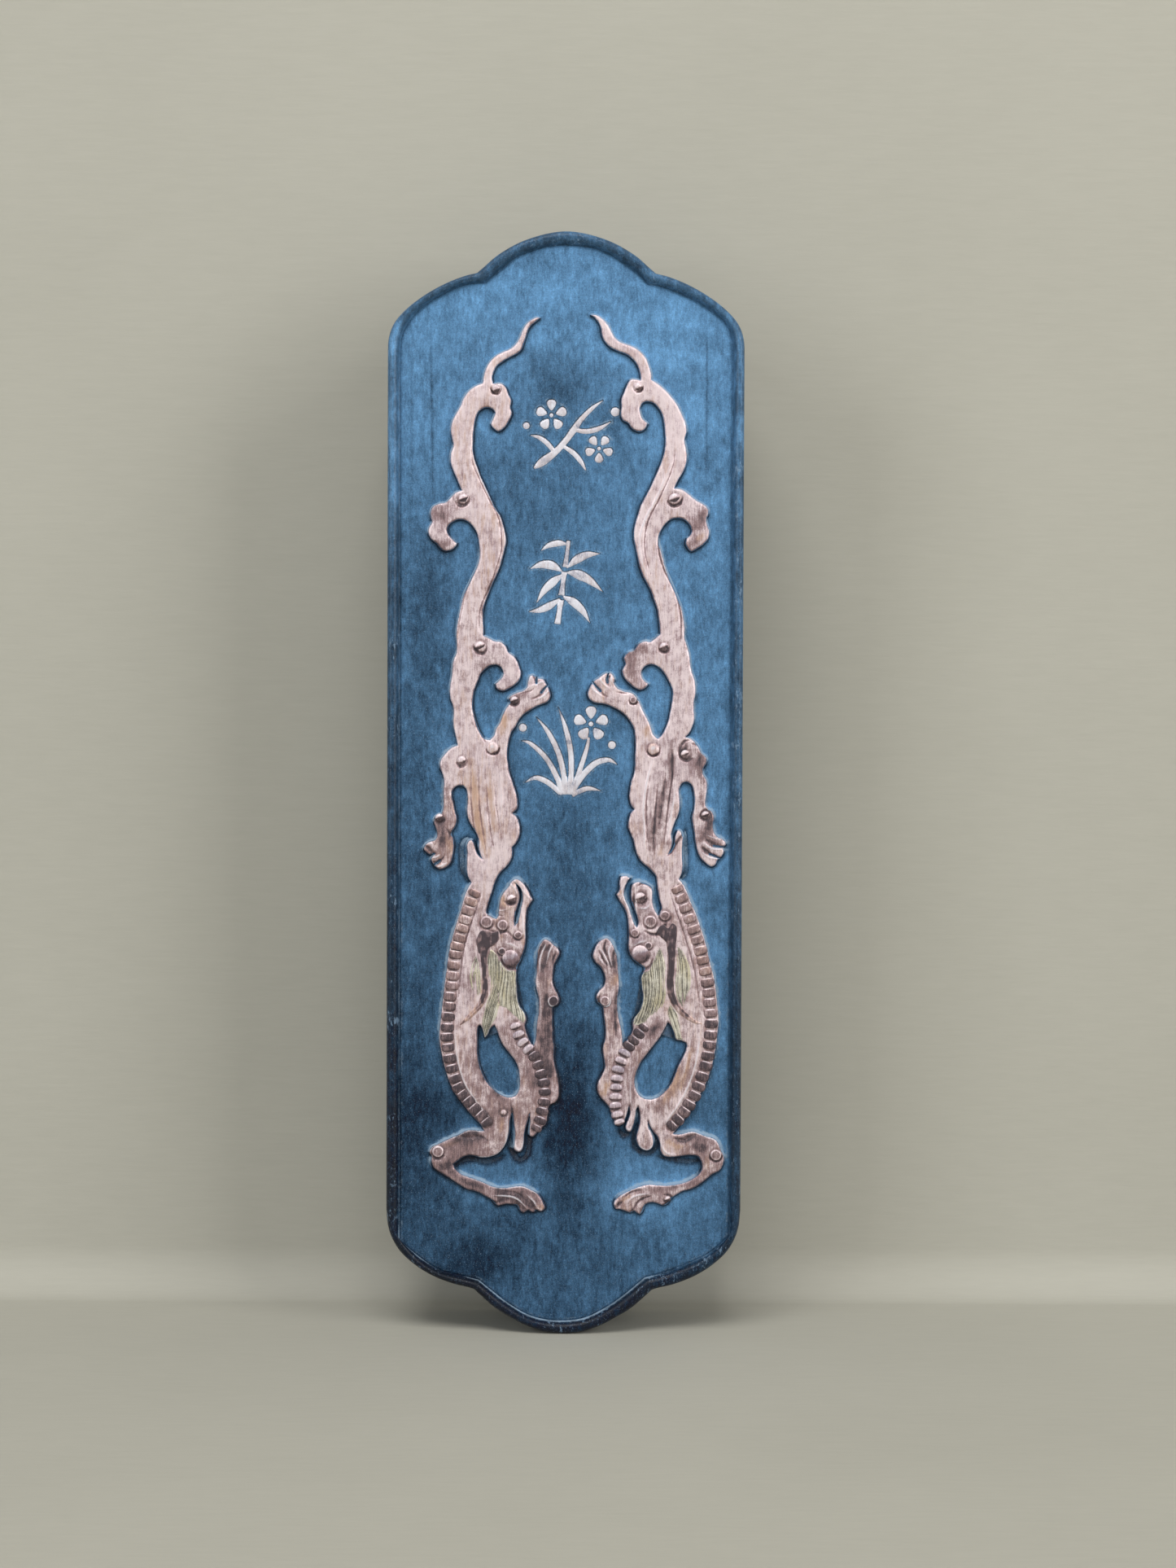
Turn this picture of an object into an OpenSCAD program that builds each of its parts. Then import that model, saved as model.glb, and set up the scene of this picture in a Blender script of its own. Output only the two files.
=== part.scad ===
// Moulded ink stick with two mirrored dragons, an upright ornament column and a bead rim.
// The stick stands on its rounded lower end: +Z runs to the upper end, the decorated face looks to -Y.
// All lengths are in millimetres.

/* [Slab] */
// Width of the stick across the long sides
width = 71; // [64:1:78]
// Length of the stick from lobe to lobe
length = 220; // [200:5:240]
// Thickness over both rims
thickness = 22; // [18:1:28]
// Depth of the sunken field below the crest of the rim
field_depth = 1.4; // [1.3:0.1:1.8]
// Radius of the worn outer edges, made in three steps
edge_round = 1; // [0.6:0.1:1.2]

/* [Relief] */
// Height of the dragons above the field
relief = 0.9; // [0.6:0.1:1]
// Extra height of beads, manes, horns and bosses above the dragons
detail = 0.3; // [0.2:0.1:0.3]
// Length of one back bead across the row
back_bead_length = 2.3; // [1.9:0.1:2.5]
// Width of one back bead along the row
back_bead_width = 1.3; // [1:0.1:1.4]
// Length of one belly plate across the row
belly_bead_length = 2.2; // [1.8:0.1:2.4]
// Width of one belly plate along the row
belly_bead_width = 1; // [0.8:0.1:1.1]

/* [Ornaments] */
// Depth of the sunk ornament strokes
ornament_depth = 0.6; // [0.5:0.1:0.9]
// Thickness of the pigment laid in the strokes
pigment = 0.4; // [0.3:0.1:0.5]

/* [Fineness] */
// Smoothing steps between outline points on the slab
slab_steps = 3; // [2:1:4]
// Smoothing steps between points on the ornament strokes
stroke_steps = 3; // [2:1:4]

/* [Hidden] */
half = thickness / 2;
field_y = -(half - field_depth);
top_y = field_y - relief;
kx = width / 71;
kz = length / 220;
ink = [0.22, 0.3, 0.4];
copper = [0.66, 0.5, 0.45];
gold = [0.68, 0.66, 0.5];
silver = [0.76, 0.72, 0.75];

// ---- hand-set outlines, in mm, for a 71 x 220 stick ----
// blossom sprig: brush strokes as [x, z, half width]
upper_strokes = [
  [[-6.4,173,0.3],[-4.7,174.3,0.9],[-2.2,176.2,0.75],[0,178.6,0.7],[1.6,180.8,0.75],[3.2,183,0.6],[5.2,185,0.5],[7.4,186.6,0.15]],
  [[-2.2,176.2,0.5],[-3.7,178,0.6],[-5.4,179.2,0.5],[-7.2,179.6,0.15]],
  [[1.6,180.8,0.45],[4,180.4,0.6],[6.6,181,0.55],[9,182.4,0.15]],
  [[-0.8,177.6,0.4],[1.4,176.2,0.6],[3,174.4,0.55],[4,172.6,0.2]]
];
// centre, outer radius and first petal angle
upper_blossoms = [[-2.9,183.6,3.2,90],[6.6,177,2.9,54]];
upper_buds = [[9.8,184.3,1],[-7.9,181.5,0.8]];
// bamboo: three stalk sections and seven leaves
middle_strokes = [
  [[-1.6,142,0.75],[-1.2,144.6,0.6],[-0.9,147,0.75]],
  [[-0.8,147.7,0.75],[-0.5,150.2,0.55],[-0.2,152.6,0.7]],
  [[-0.1,153.3,0.65],[0.3,156,0.5],[0.6,158.8,0.5]],
  [[-0.6,152.5,0.2],[-2.6,153.7,0.95],[-4.8,153.9,0.8],[-7.2,153,0.1]],
  [[-0.5,152,0.2],[-2.3,150.6,0.9],[-4.2,148.8,0.75],[-5.8,146.2,0.1]],
  [[0.2,152.4,0.2],[2.4,152,1],[4.8,150.8,0.85],[7.6,148.4,0.1]],
  [[0.2,153.2,0.2],[2.2,154.9,0.9],[4.4,155.9,0.75],[7,156.1,0.1]],
  [[-0.6,147.6,0.2],[1.4,146.6,0.9],[3.4,144.8,0.75],[5,142.2,0.1]],
  [[-1,147.2,0.2],[-3,145.8,0.8],[-5,144.9,0.7],[-7.4,144.5,0.1]],
  [[0.5,157.8,0.2],[-1.2,158.2,0.7],[-3.4,157.7,0.6],[-5,156.6,0.1]]
];
// orchid: leaf blades
lower_strokes = [
  [[-0.4,108,0.6],[-1.6,111.6,0.65],[-3.8,115.4,0.6],[-6.8,118.2,0.5],[-8.8,118.8,0.1]],
  [[0.2,108,0.6],[-0.2,112,0.65],[-1.3,116.4,0.65],[-3.4,120.6,0.55],[-5.8,123.6,0.1]],
  [[0.8,108,0.6],[1.3,112.6,0.65],[1.1,117,0.65],[0.1,121.4,0.55],[-1.4,125.6,0.1]],
  [[1.2,108.2,0.6],[3.6,111.9,0.7],[6.2,114.4,0.7],[8.8,115,0.55],[10.6,114,0.1]],
  [[1.4,108.8,0.4],[3.2,113.6,0.6],[4.4,117.4,0.5],[4.8,119.6,0.3]],
  [[-0.8,108.2,0.5],[-3.2,110.4,0.65],[-5.8,111.4,0.55],[-8,110.4,0.1]],
  [[1.4,107.9,0.5],[4.4,109.3,0.6],[7.4,108.8,0.1]]
];
lower_blossoms = [[5.2,122.2,3.6,90]];
lower_buds = [[-8.4,121.4,0.9],[9.4,118,0.9]];

// outer silhouette, right half, top then bottom
outer_half = [
  [0,220],[4,219.5],[8,218.3],[11,216.9],[14,215],[16.4,212.9],[17.8,211.7,1],[20.5,211],[24,209.6],
  [27.5,207.7],[30.5,205.6],[33,203.3],[34.6,201],[35.4,198.2],[35.5,195,1],
  [35.5,25,1],[35.2,21.8],[34.4,19.2],[33,16.8],[31.2,14.9],[28.6,12.9],[25.5,11.2],[22,9.9],[19,9.2],
  [17.8,8.8,1],[16.2,7.3],[13.5,5],[10.5,3.2],[7.5,1.6],[4,0.4],[0,0]
];
// edge of the sunken field, clockwise from the top
field_edge = [
  [0,217.2],[5,216.7],[8.5,215.4],[11,213.9],[13.8,211.9],[16.3,209.5,1],[19,209],[22,207.9],[25,206.6],
  [28,204.9],[31,202.6],[32.7,200.2],[33.2,197],[33.2,194,1],[33.2,19.7,1],[31,17.5],[28,15.5],[24,13.7],[20,12.2],
  [16.3,11.2,1],[13,8.4],[10,6.1],[7,4.3],[4,3],[0,2.5],[-4,2.8],[-7.5,3.9],[-11,6],[-14,8.3],
  [-17,10.7,1],[-20,11.4],[-24,12.3],[-27,13.9],[-30.5,16.5],[-32.8,18.5,1],[-33.1,194,1],[-33,197.5],[-32.3,200.2],[-30.5,203],
  [-28.2,205.1],[-25,207.1],[-21,209],[-18.5,209.5],[-16.3,209.6,1],[-14.3,211.2],[-12,213.2],[-9.7,214.9],[-7,215.9],[-4,216.8]
];

left_outline = [
  // whip tip and its lower edge
  [-5.2,202.8,1],[-5.9,202.2],[-6.9,201.4],[-7.6,200.4],[-8.1,198.8],[-8.6,197.4],[-9,196.4],
  [-10,195.6],[-11.4,194.9],[-12.8,194],[-13.8,193.2],[-14.4,192.1],[-14.7,190.9],[-14.5,189.7,1],
  // hooked end of the tail
  [-13.5,189.8],[-12.6,189.6],[-11.9,188.8],[-11.4,187.5],[-10.9,186.4],[-11.1,185.1],[-10.8,183.8],
  [-11.3,182.5],[-12.2,181.1],[-13.4,180.3],[-14.4,180.9],[-14.9,181.8],[-14.4,183],[-14.1,184],
  [-14.8,184.8],[-16,185],[-17.3,184.3],[-17.9,183.1],[-18.2,181.7],
  // inner edge of the tail
  [-18.4,180],[-18.5,178],[-18.5,176.4],[-18.2,174.8],[-17.6,173.1],[-17,171.4],[-16.1,169.5],
  [-15.2,167.5],[-14.1,165.2],[-13,163.4],[-12.4,161.6],[-12,159.9],[-11.8,158.3],[-12.2,156.6],
  [-12.6,155],[-13.1,153.3],[-13.8,151.6],[-14.6,149.9],[-15.3,148.1],[-16,146.3],[-16.4,144.6],
  [-16.4,142.8],[-16.3,141.1],[-16.3,139.7,1],
  // inner cloud scroll
  [-15.2,139.2],[-14,138.6],[-12.9,138.5],[-11.9,137.7],[-11.3,136.4],[-10.2,135.6],[-9.5,134.5],
  [-9.1,133.4],[-8.8,132.3],[-9,131.2],[-9.7,130.2],[-11,129.3],[-12.3,128.7],[-13.5,129.1],
  [-13.9,130.1,1],[-12.8,131.1],[-12.3,132.2],[-12.8,133.4],[-13.8,133.9],[-15,133.7],[-16.1,132.9],
  [-16.9,132],[-17.3,130.9],
  // gap between the waist and the raised arm
  [-17.8,129.7],[-18.2,128.4],[-18.4,126.7],[-18.4,125],[-18,123.4],[-17.5,121.8],[-16.8,120.3],
  [-16,119.2],[-15,118.9,1],
  // raised arm and claw
  [-14.1,119.9],[-13.8,121.1],[-13,122.3],[-12.5,123.7],[-11.9,125],[-11.1,126.3],[-11.3,127.2],
  [-10.6,127.9],[-9.5,128.4],[-8.3,128.8],[-7.6,129.5],[-7.4,130.6],[-7.1,131.6],[-6.4,131.9],
  [-5.5,131.3],[-4.4,131.1],[-3.8,130.2],[-3.2,129],[-2.9,127.7],[-3.5,126.6],[-4.6,126.1],
  [-5.8,125.6],[-7.1,124.8],[-8.3,124],[-9.2,122.9],[-9.9,121.6],[-10.7,120.5],[-11.1,119.1],
  // flank
  [-11.4,117.4],[-11.5,115.8],[-11.3,114.1],[-11,112.3],[-10.5,110.8],[-10,109.3],[-9.6,107.9],
  [-9.4,106.5],[-9.5,105.3],[-10.4,104.3,1],[-9.6,103.6],[-9.1,102.4],[-8.9,101],[-9.1,99.6],
  [-9.7,98.4],[-10.5,97.5,1],[-10.4,96.1],[-10.8,94.8],[-11.6,93.7],[-12.8,92.5],[-13.5,91.4],
  [-14,90.2],[-14.4,88.8],[-14.9,87.3],[-15.3,85.9],[-15.6,84.7],
  // ear, snout and jaw
  [-15.3,84.1],[-14.8,83.8],[-14.2,83.4,1],[-13.5,83.3],[-13.2,84],[-13.1,85],[-12.9,86.6],
  [-12.6,87.7],[-12.1,88.6],[-11.3,89.5],[-10.8,90.4],[-10.2,91],[-9.5,91.2],[-8.7,90.8],
  [-8,90.1],[-7.3,89],[-6.8,88],[-6.3,87.1,1],[-6.9,86.2],[-7.4,85.2],[-7.6,84],[-7.7,82.3],
  [-7.7,80.7],[-7.7,79],[-7.9,77.3],[-8.4,75.9],[-8.8,74.7],[-9.3,73.8],
  // mane and chest
  [-9.5,72.6],[-9.5,71],[-9.4,69],[-9.2,67.3],[-8.8,65.8],[-7.9,64.5],[-7.5,63.1],[-7.8,62],
  [-7.6,60.9],[-7.2,59.7],[-6.6,58.4],[-6.1,57.7,1],
  // foreleg and claw
  [-5.7,58.9],[-5.5,60.7],[-5.4,62.3],[-5.1,64.2],[-5,65.9],[-5.1,67.6],[-5.5,69.2],[-5.7,70.9],
  [-5.5,72.6],[-5.6,74.2],[-5.5,75.9],[-5.2,77.2],[-4.6,78.5],[-3.8,79.2],[-2.9,78.8],[-2.1,78.1],
  [-1.3,77.4],[-0.9,76.4],[-1.4,75.2],[-2,74],[-2.2,72.6],[-2.3,71.2],[-2.1,69.9],[-1.6,68.8],
  [-1.1,67.8],[-0.9,66.8],[-1.4,66],[-2.2,65.6],[-2.3,64.5],[-2.3,63],[-2.2,61.1],[-2.2,59.4],
  // belly
  [-1.9,57.6],[-2,56],[-1.9,54.6],[-1.5,53],[-1.1,51.1],[-0.9,49.2],[-1,47.6],[-1.7,46.5],
  [-2.7,46],[-3.1,45.1],[-3.2,43.7],[-3.5,42.3],[-4.3,41.4],[-5.2,40.5],[-6.1,39.6],[-6.8,39.9],
  [-6.8,41.2],[-6.7,42.6],[-6.8,44.2,1],
  // hanging tuft
  [-7.1,43],[-7.6,41.5],[-7.9,39.9],[-8,38.2],[-8.3,36.9],[-9.1,36.5],[-9.9,37.1],[-9.8,38.6],
  [-9.7,40.3],[-9.9,42.2],[-10.3,44.3,1],
  // haunch, shin and hind claw
  [-10.7,43],[-10.8,42.2],[-10.9,40.6],[-11.3,38.9],[-12.1,37.3],[-13.3,36.1],[-14.9,35.5],
  [-16.6,35.4],[-18.4,35.8],[-20,35.5],[-21.2,34.7],[-22.1,34,1],[-21.6,33],[-20.4,32],
  [-18.8,31.4],[-17.3,30.9],[-15.8,30.3],[-14.2,29.6],[-12.6,29.3],[-10.9,29.4],[-9.2,29.7],
  [-7.8,29.6],[-6.6,29],[-5.4,28.4],[-4.6,27.5],[-4,26.3],[-3.7,25.2],[-4.5,24.6],[-5.3,24.9,1],
  [-6.1,24.4],[-7,24.9,1],[-8,24.3],[-8.8,24.9],[-9.3,25.8],[-10.4,26],[-11.9,26],[-13,25.7],
  [-13.9,26.3],[-14.5,27],[-15.7,27.6],[-17.3,28.5],[-19,28.9],[-20.4,29.6],[-21.9,30.6],
  [-23.3,31.5],[-24.9,32.5],[-25.9,33.3],[-26.4,34.4],[-26.4,35.5],[-26.8,36.5],[-26.3,37.5],
  [-25.2,38],[-23.8,38.7],[-22.3,39.4],[-20.9,40],[-19.5,40.7],[-18.3,40.9],[-17,40.8],[-15.9,40.7,1],
  // outer edge of the back
  [-16.6,42],[-17.8,43.2],[-19.2,44.8],[-20.3,46.3],[-21.5,47.8],[-22.4,49.5],[-23.1,51.1],
  [-23.6,52.8],[-24.1,54.6],[-24.5,56.4],[-24.8,58.2],[-24.9,60],[-24.8,61.8],[-24.6,63.6],
  [-24.4,65.4],[-24.2,67.2],[-24,69],[-23.8,70.9],[-23.5,72.8],[-23.3,74.7],[-23,76.6],[-22.6,78.5],
  [-22.2,80.2],[-21.7,81.9],[-21.2,83.5],[-20.7,85],[-20.3,86.5],[-19.9,87.9],[-19.3,89.3],[-18.6,90.5,1],
  // flap of the coat
  [-19.2,91.5],[-19.5,93],[-19.5,94.6],[-19.4,96.4],[-19.5,97.9],[-19.1,98.8],[-18.5,98.9],[-18,98],
  [-17.7,96.8],[-17.1,95.8],[-16.4,95.1,1],[-16.8,96.1],[-17.1,97.5],[-17.1,98.9],[-17.6,100.3],
  [-18.5,101.7],[-19.2,103.1],[-19.5,104.6],[-19.4,106.3],[-19.4,107.9],[-19.7,109.2],[-20.7,109.8],
  // lowered arm and claw
  [-21.7,109.6],[-22.4,108.8],[-22.5,107.6],[-22.2,106.2],[-21.9,104.8],[-21.5,103.2],[-21.8,101.7],
  [-22.6,100.4],[-22.2,99.1],[-22.1,97.4],[-22.3,95.9],[-22.8,94.3],[-23.8,93.4],[-25,93.1],
  [-26,93.9],[-26.6,95],[-26.3,95.8,1],[-27.2,96.2],[-28,97],[-27.9,97.9],[-26.9,98.6],[-25.8,99],
  [-25.4,100.1],[-25.7,101.4],[-26.1,102.6],[-25.9,103.5],[-25.1,104.1],[-24.5,104.3],[-24.2,105.7],
  [-24.2,107.4],[-24.2,109.1],[-24.1,110.8],[-24.4,112.2],[-24.9,113.5],[-24.8,114.8],[-24,116],
  [-23.1,117],[-22.2,117.6],[-21.4,117.8,1],
  // waist and outer edge of the tail
  [-21.7,119.3],[-22.1,121],[-22.3,122.7],[-22.2,124],[-22.3,125.5],[-22.8,127],[-23,128.5],
  [-22.9,129.9],[-22.6,131.6],[-22.5,133.1],[-22.3,134.7],[-21.7,136.2],[-21.6,137.8],[-21.7,139.5],
  [-21.6,141.3],[-21.3,143.2],[-20.9,145.1],[-20.5,147],[-20,148.5],[-19.2,150.1],[-18.4,151.8],
  [-17.5,153.7],[-17.1,155.4],[-17.1,157],[-17.3,158.5],[-17.6,160],[-18.3,161.2],[-19.4,162.3],
  [-20.8,162.8],[-22.1,162.5],[-23.2,161.7],[-23.6,160.7],[-23.3,159.7],[-22.4,158.7],[-21.6,158,1],
  // outer cloud scroll
  [-21.9,157.4],[-22.8,156.7],[-24,156.5],[-24.9,157],[-25.7,158],[-26.7,158.8],[-27.3,160],
  [-27.2,161.1],[-26.6,162.2],[-26.8,163.1],[-26.9,164.2],[-26.4,165.3],[-25.2,165.9],[-23.8,166.2],
  [-22.9,167.1],[-21.9,168.1],[-20.7,168.5,1],
  // outer edge of the upper tail and the whip
  [-21.5,170.4],[-22.3,172.3],[-22.9,174],[-22.9,175.8],[-22.4,177.4],[-22.6,178.7],[-22.9,180.3],
  [-22.7,182],[-21.9,183.7],[-21,185.3],[-20.4,186.8],[-19.3,188.3],[-17.9,189.3],[-16.6,189.8,1],
  [-16.4,191.2],[-16,192.6],[-15.2,194],[-14,195.2],[-12.6,196],[-11,196.7],[-9.8,197.9],
  [-9.1,199.3],[-8.5,200.7],[-7.6,201.9],[-6.1,202.8]
];

left_opening = [
  [-17.3,60.4],[-17.3,58.3],[-17.3,56.5],[-17.1,55.2],[-16.8,53.8],[-16.2,52.2],[-15.4,50.6],
  [-14.4,49.4],[-13.2,48.4],[-11.9,47.7],[-10.7,47.5],[-9.6,47.9],[-9,48.9],[-8.8,50.3],[-8.9,52],
  [-9.1,53.4],[-9.8,54.9],[-10.8,56.2],[-11.6,57.2],[-12.4,58.4],[-13,59.8],[-13.4,61],[-13.9,62,1],
  [-14.7,61.2],[-15.2,60],[-15.8,59.3,1],[-16.1,60.5],[-16.6,61.8],[-17.1,61.7]
];

left_mouth = [
  [-9.7,90.3,1],[-9.3,89.2],[-9,88.2],[-9,87],[-9.4,85.7],[-9.8,84.3],[-10,83],[-9.9,81.8,1],
  [-9.3,82.8],[-8.9,84.2],[-8.6,85.8],[-8.3,87.2],[-8.4,88.5],[-8.9,89.6]
];

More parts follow.
